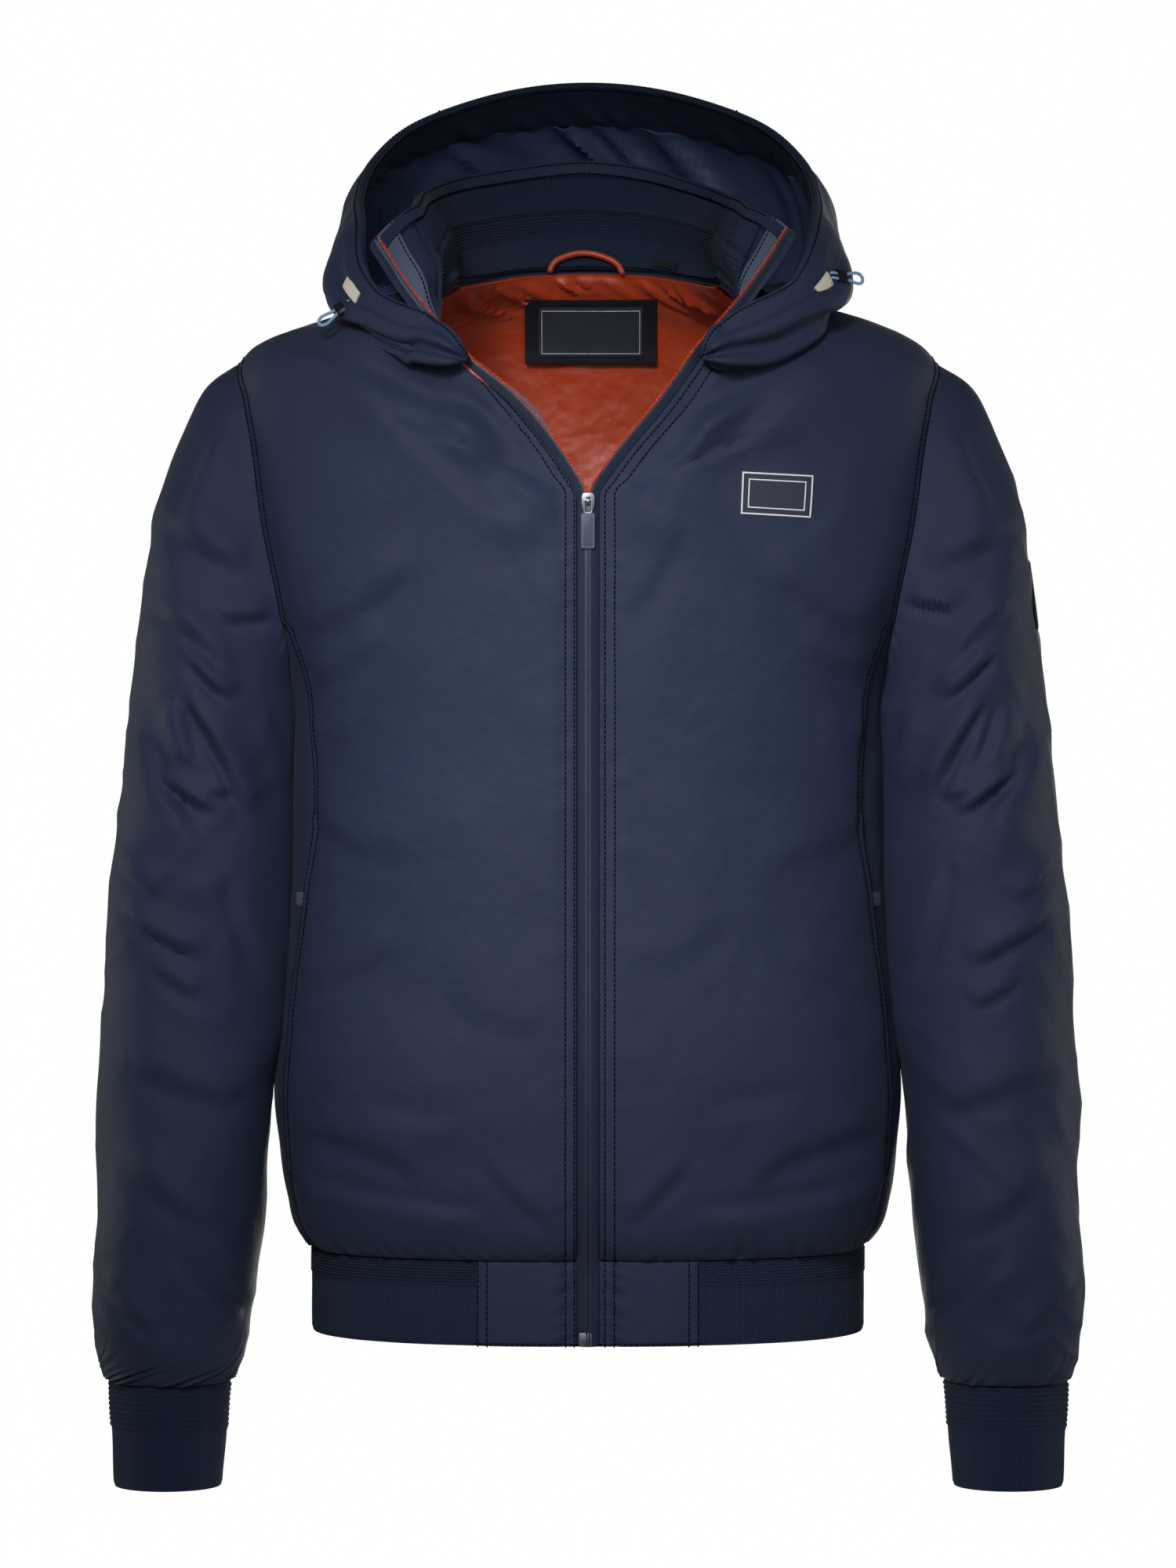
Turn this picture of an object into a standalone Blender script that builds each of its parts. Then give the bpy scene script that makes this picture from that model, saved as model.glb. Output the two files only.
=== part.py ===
"""Hooded padded blouson in its worn, hollow form: every sewn piece is its own closed wall.

Metres, +Z up.  The front faces -Y and the wearer's left is +X.  The origin is where the shoulders
carry the jacket: the middle of the neck opening, level with the shoulder line.
"""
import bmesh
import bpy
import numpy as np
from math import cos, pi, radians, sin

# ---- driving sizes -------------------------------------------------------------------------
SHELL = 0.0025            # padded shell cloth
KNIT = 0.0022             # rib knit
FACING = 0.0014           # facings and hood lining
LINING = 0.0012           # orange yoke
SEAM_GAP = 0.0003         # between neighbouring pieces
LAYER_GAP = 0.0003        # between cloths that lie on each other
SEAM_ORDER = np.array((0.31, 0.77, 1.0))   # direction that orders the ends of a seam face
WELD = 0.00005            # seam points closer than this are one place
ROUNDNESS = 2.5           # power of the superellipse of every torso section

HEM_TOP = -0.5815         # seam between the blouse and the hem band
HEM_BOTTOM = -0.6350
ARMHOLE_CENTRE_Z = -0.128
ARMHOLE_HALF_HEIGHT = 0.104
ARMHOLE_HALF_ANGLE = radians(26)
SIDE_JOIN = radians(119.8)   # place on the armhole where the front and side panels meet
TAPE_WIDTH = 0.0069
CENTRE_EDGE = 0.0073         # front panel edge beside the zip tape
COLLAR_BULGE = 0.004

# Torso sections: height, half width, depth of the front, depth of the back.
TORSO = np.array((
    (-0.6350, 0.1745, 0.1150, 0.1070),
    (-0.5820, 0.1765, 0.1170, 0.1090),
    (-0.5700, 0.1850, 0.1240, 0.1150),
    (-0.5500, 0.1905, 0.1290, 0.1190),
    (-0.5150, 0.1955, 0.1310, 0.1200),
    (-0.4800, 0.1985, 0.1320, 0.1210),
    (-0.4400, 0.1955, 0.1310, 0.1200),
    (-0.3800, 0.1895, 0.1290, 0.1190),
    (-0.3000, 0.1880, 0.1275, 0.1170),
    (-0.2350, 0.1890, 0.1270, 0.1160),
    (-0.1875, 0.2050, 0.1270, 0.1160),
    (-0.1250, 0.2220, 0.1245, 0.1160),
    (-0.0800, 0.2265, 0.1190, 0.1140),
    (-0.0500, 0.2265, 0.1150, 0.1120),
    (-0.0240, 0.2215, 0.1100, 0.1080),
    (-0.0150, 0.2125, 0.1055, 0.1060),
    (-0.0025, 0.1850, 0.0970, 0.1030),
    (0.0075, 0.1550, 0.0880, 0.0990),
    (0.0200, 0.1120, 0.0720, 0.0930),
    (0.0300, 0.0860, 0.0560, 0.0860),
    (0.0450, 0.0660, 0.0400, 0.0760),
))
# Seam between front and side panels: height, angle from the centre front in degrees.
SIDE_SEAM = np.array((
    (-0.5820, 72.0), (-0.5300, 72.0), (-0.4600, 69.0), (-0.4070, 69.0),
    (-0.3500, 66.0), (-0.3080, 62.5), (-0.2385, 63.5), (-0.1875, 64.6),
))
# Front edge above the slider, each side: height, distance from the centre.
V_EDGE = {
    1: np.array(((-0.1120, 0.0073), (-0.0888, 0.0241), (-0.0592, 0.0484), (-0.0240, 0.0732))),
    -1: np.array(((-0.1120, 0.0073), (-0.0794, 0.0290), (-0.0521, 0.0533), (-0.0340, 0.0765))),
}
# Neck seam: angle from the centre front in degrees, height.  Its front end is the V edge's top.
NECK = np.array((
    (24.0, -0.0040), (34.0, 0.0090), (50.0, 0.0220), (90.0, 0.0300),
    (120.0, 0.0370), (150.0, 0.0430), (180.0, 0.0450),
))
# Collar's top edge from the right front corner round the back to the left one.
COLLAR_TOP = np.array((
    (0.1285, -0.0870, 0.0500), (0.1290, -0.0450, 0.0660), (0.1120, 0.0080, 0.0800),
    (0.0780, 0.0600, 0.0990), (0.0400, 0.0900, 0.1140), (0.0000, 0.1000, 0.1195),
    (-0.0480, 0.0910, 0.1140), (-0.0880, 0.0620, 0.1030), (-0.1180, 0.0120, 0.0860),
    (-0.1330, -0.0430, 0.0680), (-0.1350, -0.0900, 0.0430),
))
# Sleeve: outer line and inner line, each from the armhole to the cuff seam, then depth and
# forward shift of the section there.
SLEEVE = np.array((
    # outer x, outer z, inner x, inner z, half depth, centre y
    (0.2215, -0.0240, 0.1890, -0.2320, 0.0680, 0.0000),
    (0.2425, -0.0400, 0.1905, -0.2400, 0.0700, -0.0005),
    (0.2555, -0.0650, 0.1910, -0.2480, 0.0720, -0.0010),
    (0.2660, -0.0950, 0.1915, -0.2560, 0.0740, -0.0020),
    (0.2765, -0.1400, 0.1920, -0.2680, 0.0750, -0.0030),
    (0.2860, -0.1950, 0.1925, -0.2900, 0.0750, -0.0040),
    (0.2915, -0.2500, 0.1930, -0.3150, 0.0745, -0.0060),
    (0.2955, -0.3000, 0.1935, -0.3450, 0.0730, -0.0080),
    (0.3000, -0.3600, 0.1950, -0.3900, 0.0710, -0.0110),
    (0.3045, -0.4300, 0.1990, -0.4450, 0.0690, -0.0150),
    (0.3085, -0.5000, 0.2030, -0.5050, 0.0660, -0.0190),
    (0.3105, -0.5700, 0.2080, -0.5720, 0.0620, -0.0230),
    (0.3100, -0.6200, 0.2135, -0.6210, 0.0570, -0.0260),
    (0.3085, -0.6450, 0.2180, -0.6450, 0.0520, -0.0280),
    (0.3050, -0.6585, 0.2230, -0.6585, 0.0460, -0.0290),
    (0.3025, -0.6655, 0.2250, -0.6655, 0.0400, -0.0295),
))
CUFF_TOP_Z, CUFF_BOTTOM_Z = -0.6660, -0.7320
CUFF_RIDGES = 9
CUFF_RIDGE_TOP_Z, CUFF_RIDGE_BOTTOM_Z = -0.6670, -0.6950
CUFF_RIDGE_HEIGHT = 0.0010
CUFF_X_TOP, CUFF_X_BOTTOM = 0.2638, 0.2650
CUFF_R_TOP, CUFF_R_BOTTOM = 0.0385, 0.0345
CUFF_Y = -0.0300

# Hood sections from the front end to the centre back: rim, upper belly, lower belly, underside.
HOOD_FRONT = {   # the three front sections differ, because the collar opens wider on one side
    1: ((0.0900, -0.1150, -0.0120, 0.0930, -0.1180, -0.0180,
         0.0930, -0.1190, -0.0270, 0.0905, -0.1170, -0.0340),
        (0.1190, -0.1020, 0.0130, 0.1290, -0.1050, 0.0030,
         0.1310, -0.1030, -0.0110, 0.1300, -0.0975, -0.0160),
        (0.1340, -0.0860, 0.0370, 0.1480, -0.0850, 0.0240,
         0.1520, -0.0830, 0.0060, 0.1480, -0.0730, 0.0030)),
    -1: ((0.1020, -0.1120, -0.0100, 0.1060, -0.1150, -0.0160,
          0.1060, -0.1160, -0.0240, 0.1040, -0.1140, -0.0290),
         (0.1230, -0.0960, 0.0080, 0.1310, -0.0990, 0.0010,
          0.1320, -0.0990, -0.0120, 0.1300, -0.0975, -0.0165),
         (0.1395, -0.0760, 0.0340, 0.1490, -0.0770, 0.0220,
          0.1530, -0.0770, 0.0050, 0.1490, -0.0700, 0.0030)),
}
HOOD_REST = (
    # rim x, y, z            upper x, y, z             lower x, y, z             under x, y, z
    (0.1430, -0.0420, 0.0640, 0.1580, -0.0430, 0.0430, 0.1610, -0.0440, 0.0180, 0.1460, -0.0450, 0.0110),
    (0.1475, 0.0200, 0.0885, 0.1600, 0.0240, 0.0560, 0.1640, 0.0260, 0.0230, 0.1480, 0.0250, 0.0150),
    (0.1400, 0.0660, 0.1180, 0.1560, 0.0880, 0.0850, 0.1580, 0.0960, 0.0320, 0.1380, 0.0800, 0.0120),
    (0.1120, 0.1030, 0.1480, 0.1270, 0.1400, 0.1160, 0.1270, 0.1560, 0.0450, 0.1080, 0.1280, 0.0120),
    (0.0540, 0.1240, 0.1710, 0.0630, 0.1680, 0.1380, 0.0640, 0.1860, 0.0530, 0.0560, 0.1480, 0.0120),
    (0.0000, 0.1300, 0.1790, 0.0000, 0.1760, 0.1450, 0.0000, 0.1950, 0.0560, 0.0000, 0.1520, 0.0140),
)
HOOD_REST_DROP, HOOD_REST_LIFT = 0.0100, 0.0045   # underside near the seam: below the neck, off the panel
HOOD_BASE_STEP = 0.0090      # how far below the neck seam the hood is sewn on
HOOD_LIFT = 0.0013           # clearance of its seam above the panels
HOOD_START = {1: 0.06, -1: 0.10}   # place on the neck seam where the hood is sewn on, each side
HOOD_COLUMNS = 14            # from the front end to the centre back
HOOD_SIDE_COLUMNS = 11       # of these the side piece takes
HOOD_ROWS = 1 - np.array((0, 0.065, 0.13, 0.22, 0.32, 0.42, 0.52, 0.62, 0.72, 0.81, 0.9, 1))[::-1]
HOOD_FACING_ROWS = 2
HOOD_LINING_SKIP = 3         # columns at each front end that stay unlined
HOOD_LINING_DEPTH = SHELL + 0.0006

BAND_HALF_WIDTH, BAND_FRONT, BAND_BACK = 0.1755, 0.1160, 0.1075
TAB_EDGE = 0.0690            # the hem tab ends and the rib band begins
FACING_TURN_ROWS = 4         # of the facings in their last span, where the panel turns most
FACING_SHORT = 0.08          # share of that span that they leave free at the seam
FACING_WIDTH = 0.0185        # of the strips inside the front edge
RIB_START = 0.56             # column of the collar where the knit begins, beside the facing
RIB_RIDGES = 9
RIB_RIDGE_HEIGHT = 0.0006

# Small parts: width, height, thickness.
CHEST_BADGE = (0.0447, 0.0279, 0.0012)
CHEST_BADGE_PLACE = (0.1152, -0.1126)
CHEST_BADGE_TILT = radians(-2.5)
NECK_LABEL = (0.0864, 0.0404, 0.0008)
NECK_LABEL_PLACE = (0.0018, 0.0065)
LABEL_BADGE = (0.0683, 0.0310, 0.0008)
LABEL_GAP = 0.0006
SIZE_TAB_COLUMNS, SIZE_TAB_FOOT, SIZE_TAB_TOP, SIZE_TAB_THICK = (8, 10), 0.03, 0.12, 0.0006
SLEEVE_PATCH_ROWS, SLEEVE_PATCH_COLUMNS, SLEEVE_PATCH_THICK = (5.0, 5.9), (-0.75, 0.75), 0.0012
HANGER_RADIUS = 0.0020
HANGER = ((-0.0250, 0.0668, 0.0445), (-0.0225, 0.0678, 0.0495), (-0.0140, 0.0694, 0.0545),
          (-0.0026, 0.0704, 0.0565), (0.0100, 0.0696, 0.0540), (0.0195, 0.0680, 0.0485),
          (0.0225, 0.0668, 0.0430))
SLIDER_Z = -0.1180
SLIDER = (0.0086, 0.0125, 0.0032)
BRIDGE_HEIGHT, BRIDGE_BAR, BRIDGE_WIDTH = 0.0030, 0.0008, 0.0024
PULL = (0.0087, 0.0215, 0.0013)
PULL_LINK = (0.0058, 0.0085)
PULL_SLOT_HALF = 0.0018
PULL_AXIS_LIFT = 0.0011      # axis of the pull above the slider's face
ZIP_BOX = (0.0082, 0.0083, 0.0022)
ZIP_BOX_X = -0.0017
CORD_RADIUS = 0.0010
# Hood grid row and column of each cord patch's middle and of the place where its cord leaves.
CORD_PATCH = {1: (8.2, 3.1), -1: (8.6, 24.9)}
CORD_PATCH_SPAN = (0.45, 0.45)     # rows and columns to each side
CORD_PATCH_THICK = 0.0015
PATCH_GAP = 0.0006           # under what lies on a curved panel
CORD_EXIT = {1: (8.2, 3.66), -1: (7.92, 25.1)}
CORD_AIM = {1: (0.97, -0.05, 0.20), -1: (-0.85, -0.10, -0.50)}
CORD_LEAN = radians(22)      # how far the cord stands off the hood
CORD_HEIGHT = 0.0015         # middle of the cord above the hood where it leaves
# Half of the cord's loop: distance along its axis, distance to the side.
CORD_LOOP = ((0.0000, 0.0018), (0.0040, 0.0018), (0.0080, 0.0018), (0.0110, 0.0019),
             (0.0140, 0.0026), (0.0170, 0.0035), (0.0200, 0.0037), (0.0222, 0.0026), (0.0232, 0.0000))
CORD_POINTS = 19
STOPPER_FOOT, STOPPER_LENGTH = 0.0042, 0.0062
STOPPER_OUTER, STOPPER_SLOT = (0.0094, 0.0052), (0.0062, 0.0026)

# Large soft folds.  Torso: angle in degrees, height, half widths in degrees and metres, slope in
# metres for each radian, rise.  Sleeve: turn in degrees from the outer line to the front, share of
# the length, half widths of both, slope for each radian, rise.
BODY_FOLDS = np.array((
    (52.0, -0.2450, 20.0, 0.022, -0.060, 0.0035),
    (50.0, -0.3100, 22.0, 0.020, -0.070, -0.0030),
    (40.0, -0.4600, 22.0, 0.030, 0.050, 0.0030),
    (30.0, -0.1000, 12.0, 0.024, -0.100, 0.0030),
    (128.0, -0.2450, 20.0, 0.022, 0.060, 0.0035),
    (132.0, -0.3150, 22.0, 0.020, 0.070, -0.0030),
    (140.0, -0.4700, 22.0, 0.030, -0.050, 0.0030),
    (165.0, -0.0800, 18.0, 0.030, 0.040, 0.0025),
))
SLEEVE_FOLDS = np.array((
    (55.0, 0.270, 50.0, 0.045, 0.060, 0.0045),
    (60.0, 0.390, 50.0, 0.040, 0.060, -0.0040),
    (50.0, 0.520, 55.0, 0.045, -0.060, 0.0045),
    (40.0, 0.680, 55.0, 0.045, -0.070, -0.0040),
    (60.0, 0.820, 60.0, 0.040, 0.050, 0.0045),
    (-50.0, 0.300, 50.0, 0.045, -0.060, 0.0045),
    (-55.0, 0.450, 50.0, 0.045, -0.050, -0.0040),
    (-50.0, 0.600, 55.0, 0.045, 0.060, 0.0045),
    (-45.0, 0.760, 55.0, 0.045, 0.060, -0.0040),
    (-60.0, 0.880, 60.0, 0.040, -0.050, 0.0040),
))

# Grid counts shared by pieces that meet.
LOW_ROWS = 10
UP_ROWS = 7
SIDE_COLUMNS = 4
BACK_ARM_ROWS = 9
NECK_COLUMNS = 6
SHOULDER_COLUMNS = 5
BACK_NECK_COLUMNS = 10

SLEEVE_ROWS = 18
CUFF_SIDES = 20
COLLAR_FOOT = 0.006          # share of the collar's height that its seam gap takes
RIB_ROWS = np.r_[0.05, 0.16, np.linspace(0.28, 0.56, 2 * RIB_RIDGES + 1), 0.70, 0.83]
RIDGE_FROM, RIDGE_TO = 0.281, 0.559
RIB_PLAIN_ROWS = [0, 1, 2, 5, 8, 11, 14, 17, 20, 21, 22]     # of RIB_ROWS, on the side towards the shell
FACING_ROW = 14              # front panel row where the facing's lower end lies
HEM_RIDGES = 4
HEM_COLUMNS = 34
COLLAR_ROWS = (COLLAR_FOOT, 0.25, 0.5, 0.75, 1.0)
RIB_CLEAR = 0.0009           # between the outer collar and the knit inside it
FACING_CLEAR = 0.0014        # between the shell and its facings
FACING_MARGIN = 0.0010       # how far the facings keep from the seams
HEM_RIDGE_HEIGHT = 0.0006
WELT_TOP, WELT_FOOT, WELT_ANGLE, WELT_THICK = -0.3080, -0.5330, radians(3.6), 0.0016
SIDE_TAB_Z = -0.3620
YOKE_ROW, YOKE_COLUMN = 12, 5     # grid row and column of the back where the yoke begins
YOKE_MARGIN = 0.0020              # how far its borders keep from the seams
LABEL_CLEAR = 0.0080              # depth of the labels under the back's outer surface
SIDES = ((1, "left"), (-1, "right"))

NAVY, NAVY_KNIT, NAVY_LINING = (0.018, 0.026, 0.055), (0.012, 0.016, 0.034), (0.016, 0.024, 0.052)
ORANGE, GREY_NAVY, BLACK = (0.45, 0.06, 0.02), (0.045, 0.055, 0.085), (0.01, 0.01, 0.012)
CREAM, PALE_BLUE = (0.75, 0.74, 0.68), (0.24, 0.45, 0.70)


# ---- curves and surfaces --------------------------------------------------------------------
def spline(knots, values, at):
    """Smooth curve through values at the rising knots, read at `at`."""
    knots = np.asarray(knots, float)
    values = np.asarray(values, float)
    at = np.clip(np.asarray(at, float), knots[0], knots[-1])
    slopes = np.gradient(values, knots, axis=0)
    i = np.clip(np.searchsorted(knots, at, side="right") - 1, 0, len(knots) - 2)
    step = knots[i + 1] - knots[i]
    t = (at - knots[i]) / step
    if values.ndim > 1:
        step, t = step[..., None], t[..., None]
    a = (2 * t + 1) * (1 - t) ** 2
    b = t * (1 - t) ** 2 * step
    c = t * t * (3 - 2 * t)
    d = t * t * (t - 1) * step
    return a * values[i] + b * slopes[i] + c * values[i + 1] + d * slopes[i + 1]


def smoothstep(x):
    x = np.clip(x, 0.0, 1.0)
    return x * x * (3 - 2 * x)


def through(points, at):
    """Curve through 3-D points spaced by their chord lengths; `at` runs from 0 to 1."""
    points = np.asarray(points, float)
    chord = np.r_[0, np.cumsum(np.linalg.norm(np.diff(points, axis=0), axis=1))]
    return spline(chord / chord[-1], points, at)


def fold_rise(folds, across, along):
    """Sum of soft ridges and troughs; each runs slantwise and fades at its ends."""
    rise = 0.0
    for middle, place, half_across, half_along, slope, height in folds:
        u = across - radians(middle)
        v = along - place - slope * u
        rise = rise + height * np.exp(-(u / radians(half_across)) ** 2 - (v / half_along) ** 2)
    return rise


def body(theta, z):
    """Point of the torso's outer surface; theta turns from the centre front to the wearer's left."""
    theta, z = np.broadcast_arrays(np.asarray(theta, float), np.asarray(z, float))
    half, front, back = np.moveaxis(spline(TORSO[:, 0], TORSO[:, 1:], z), -1, 0)
    power = 2 / ROUNDNESS
    s, c = np.sin(theta), np.cos(theta)
    turned = np.where(theta > pi, 2 * pi - theta, theta)
    rise = fold_rise(BODY_FOLDS, turned, z)
    x = half * np.sign(s) * np.abs(s) ** power + rise * s * np.abs(s)
    y = np.where(c > 0, -front, back) * np.abs(c) ** power - rise * c * np.abs(c)
    return np.stack((x, y, z), axis=-1)


def theta_at(x, z):
    """Angle of the front surface at distance x from the centre."""
    half = spline(TORSO[:, 0], TORSO[:, 1], z)
    return np.arcsin(np.clip(x / half, 0, 1) ** (ROUNDNESS / 2))


def armhole(psi):
    """Angle and height on the torso: psi is 0 at the shoulder, pi/2 in front, pi at the armpit."""
    power = 2 / ROUNDNESS
    s, c = np.sin(psi), np.cos(psi)
    theta = pi / 2 - ARMHOLE_HALF_ANGLE * np.sign(s) * np.abs(s) ** power
    z = ARMHOLE_CENTRE_Z + ARMHOLE_HALF_HEIGHT * np.sign(c) * np.abs(c) ** power
    return theta, z


def neck(side, t):
    """Angle and height of the neck seam: t is 0 at the V edge, 1 at the shoulder, 2 at the back."""
    edge_z, edge_x = V_EDGE[side][-1]
    start = theta_at(edge_x, edge_z)
    angles = np.r_[start, np.radians(NECK[:, 0])]
    heights = np.r_[edge_z, NECK[:, 1]]
    theta = np.where(t < 1, start + (pi / 2 - start) * t, pi / 2 * t)
    return theta, spline(angles, heights, theta)


def patch(left, right, bottom, top, u, v, top_reach=0.45):
    """Rows and columns of a four-sided panel inside its (angle, height) borders."""
    u, v = u[None, :, None], v[:, None, None]
    low = bottom[None] - (1 - u) * bottom[0] - u * bottom[-1]
    high = top[None] - (1 - u) * top[0] - u * top[-1]
    rise = smoothstep((v - (1 - top_reach)) / top_reach)
    return (1 - u) * left[:, None] + u * right[:, None] + (1 - v) * low + rise * high


def pairs(theta, z):
    theta, z = np.broadcast_arrays(theta, z)
    return np.stack((theta, z), axis=-1)


def low_heights(top):
    """Heights of the rows below the armhole, closer together over the blousing at the hem."""
    share = np.linspace(0, 1, LOW_ROWS + 1) ** 1.25
    return HEM_TOP + (top - HEM_TOP) * share


def front_domain(side):
    join_theta, join_z = armhole(SIDE_JOIN)
    low_z = low_heights(float(join_z))
    seam = np.radians(spline(SIDE_SEAM[:, 0], SIDE_SEAM[:, 1], low_z))
    seam[-1] = join_theta
    psi = np.linspace(SIDE_JOIN, 0, UP_ROWS + 1)[1:]
    right = np.vstack((pairs(seam, low_z), pairs(*armhole(psi))))
    v_edge = V_EDGE[side]
    reach = np.linspace(join_z, v_edge[-1, 0], UP_ROWS + 1)[1:]
    left_z = np.r_[low_z, reach]
    left_x = np.where(left_z < v_edge[0, 0], CENTRE_EDGE,
                      spline(v_edge[:, 0], v_edge[:, 1], left_z))
    left = pairs(theta_at(left_x, left_z), left_z)
    across_neck = np.linspace(0, 1, NECK_COLUMNS + 1)
    shoulder = shoulder_line()[1:]
    top = np.vstack((pairs(*neck(side, across_neck)), shoulder))
    u = np.linspace(0, 1, len(top))
    bottom = pairs(left[0, 0] + (right[0, 0] - left[0, 0]) * u, np.full(len(u), HEM_TOP))
    v = np.linspace(0, 1, len(left))
    return patch(left, right, bottom, top, u, v)


def shoulder_line():
    """Shoulder seam on the ridge, from the neck to the sleeve."""
    heights = np.linspace(NECK[3, 1], ARMHOLE_CENTRE_Z + ARMHOLE_HALF_HEIGHT, SHOULDER_COLUMNS + 1)
    return pairs(np.full(len(heights), pi / 2), heights)


def front_surface(side):
    domain = front_domain(side)
    points = body(domain[..., 0], domain[..., 1])
    points[..., 0] *= side
    return points


def side_surface(side):
    join_theta, join_z = armhole(SIDE_JOIN)
    left_z = low_heights(float(join_z))
    seam = np.radians(spline(SIDE_SEAM[:, 0], SIDE_SEAM[:, 1], left_z))
    seam[-1] = join_theta
    right_z = low_heights(float(armhole(pi)[1]))
    left, right = pairs(seam, left_z), pairs(np.full(len(right_z), pi / 2), right_z)
    top = pairs(*armhole(np.linspace(SIDE_JOIN, pi, SIDE_COLUMNS + 1)))
    u = np.linspace(0, 1, SIDE_COLUMNS + 1)
    bottom = pairs(left[0, 0] + (right[0, 0] - left[0, 0]) * u, np.full(len(u), HEM_TOP))
    v = np.linspace(0, 1, LOW_ROWS + 1)
    domain = patch(left, right, bottom, top, u, v, 0.3)
    points = body(domain[..., 0], domain[..., 1])
    points[..., 0] *= side
    return points


def back_surface():
    low_z = low_heights(float(armhole(pi)[1]))
    low = pairs(np.full(len(low_z), pi / 2), low_z)
    psi = np.linspace(pi, 2 * pi, BACK_ARM_ROWS + 1)[1:]
    right_edge = np.vstack((low, pairs(*armhole(psi))))
    half_top = np.vstack((shoulder_line()[::-1],
                          pairs(*neck(1, np.linspace(1, 2, BACK_NECK_COLUMNS // 2 + 1)))[1:]))
    mirrored = half_top[-2::-1].copy()
    mirrored[:, 0] = 2 * pi - mirrored[:, 0]
    top = np.vstack((half_top, mirrored))
    left_edge = right_edge.copy()
    left_edge[:, 0] = 2 * pi - left_edge[:, 0]
    u = np.linspace(0, 1, len(top))
    bottom = pairs(pi / 2 + pi * u, np.full(len(u), HEM_TOP))
    v = np.linspace(0, 1, len(right_edge))
    domain = patch(right_edge, left_edge, bottom, top, u, v)
    return body(domain[..., 0], domain[..., 1])


def sleeve_rings(psi, rows):
    """Sleeve for the wearer's left: rings from the armhole to the cuff seam."""
    knots = np.linspace(0, 1, len(SLEEVE))
    line = spline(knots, SLEEVE, np.linspace(0, 1, rows + 1))
    outer, inner = line[:, None, 0:2], line[:, None, 2:4]
    depth, shift = line[:, None, 4], line[:, None, 5]
    power = 0.9
    c = np.sign(np.cos(psi)) * np.abs(np.cos(psi)) ** power
    s = np.sign(np.sin(psi)) * np.abs(np.sin(psi)) ** power
    middle = (outer + inner) / 2
    reach = (outer - inner) / 2
    xz = middle + reach * c[None, :, None]
    y = shift - depth * s[None, :]
    turned = np.where(psi > pi, psi - 2 * pi, psi)
    rise = fold_rise(SLEEVE_FOLDS, turned[None, :], np.linspace(0, 1, rows + 1)[:, None])
    way = reach / np.linalg.norm(reach, axis=-1, keepdims=True)
    xz = xz + (rise * np.cos(psi))[..., None] * way
    y = y - rise * np.sin(psi)
    rings = np.stack((xz[..., 0], y, xz[..., 1]), axis=-1)
    hole = body(*armhole(psi))
    fade = (1 - smoothstep(np.linspace(0, rows, rows + 1) / (rows * 0.45)))[:, None, None]
    return rings + (hole - rings[0])[None] * fade


def armhole_places():
    front = np.linspace(0, SIDE_JOIN, UP_ROWS + 1)
    side = np.linspace(SIDE_JOIN, pi, SIDE_COLUMNS + 1)[1:]
    back = np.linspace(pi, 2 * pi, BACK_ARM_ROWS + 1)[1:-1]
    return np.r_[front, side, back]


def neck_loop():
    """Neck seam points from the right V edge round the back to the left V edge."""
    front = np.linspace(0, 1, NECK_COLUMNS + 1)
    back = np.linspace(1, 2, BACK_NECK_COLUMNS // 2 + 1)[1:]
    right = body(*neck(1, np.r_[front, back]))
    left = body(*neck(-1, np.r_[front, back]))[-2::-1]
    left[:, 0] *= -1
    return np.vstack((right, left))


def collar_surface(share):
    """Stand collar at shares of its height above the neck seam, a little rounded outwards."""
    base = neck_loop()
    chord = np.r_[0, np.cumsum(np.linalg.norm(np.diff(base, axis=0), axis=1))]
    top = through(COLLAR_TOP, chord / chord[-1])
    b = np.asarray(share, float)[:, None, None]
    outward = top - base
    outward[:, 2] = 0
    outward /= np.linalg.norm(outward, axis=1, keepdims=True)
    return base + (top - base) * b + outward * COLLAR_BULGE * np.sin(pi * b)


def normals(grid, closed=False):
    """Unit normals of a grid of points."""
    if closed:
        along = np.roll(grid, -1, axis=1) - np.roll(grid, 1, axis=1)
    else:
        along = np.gradient(grid, axis=1)
    up = np.gradient(grid, axis=0)
    n = np.cross(along, up)
    return n / np.linalg.norm(n, axis=-1, keepdims=True)


def grid_at(grid, row, column):
    """Points between a grid's rows and columns, on the two triangles of each of its faces."""
    row, column = np.broadcast_arrays(np.asarray(row, float), np.asarray(column, float))
    i = np.clip(np.floor(row).astype(int), 0, len(grid) - 2)
    j = np.clip(np.floor(column).astype(int), 0, grid.shape[1] - 2)
    a, b = (row - i)[..., None], (column - j)[..., None]
    across_first = grid[i, j] + b * (grid[i, j + 1] - grid[i, j]) + a * (grid[i + 1, j + 1] - grid[i, j + 1])
    up_first = grid[i, j] + a * (grid[i + 1, j] - grid[i, j]) + b * (grid[i + 1, j + 1] - grid[i + 1, j])
    return np.where(a < b, across_first, up_first)


def lifted(theta, z, lift):
    """Point at a lift above the torso's surface."""
    at = body(theta, z)
    out = np.cross(body(theta + 0.01, z) - at, at - body(theta, z - 0.001))
    out /= np.linalg.norm(out, axis=1, keepdims=True)
    return at + out * lift


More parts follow.
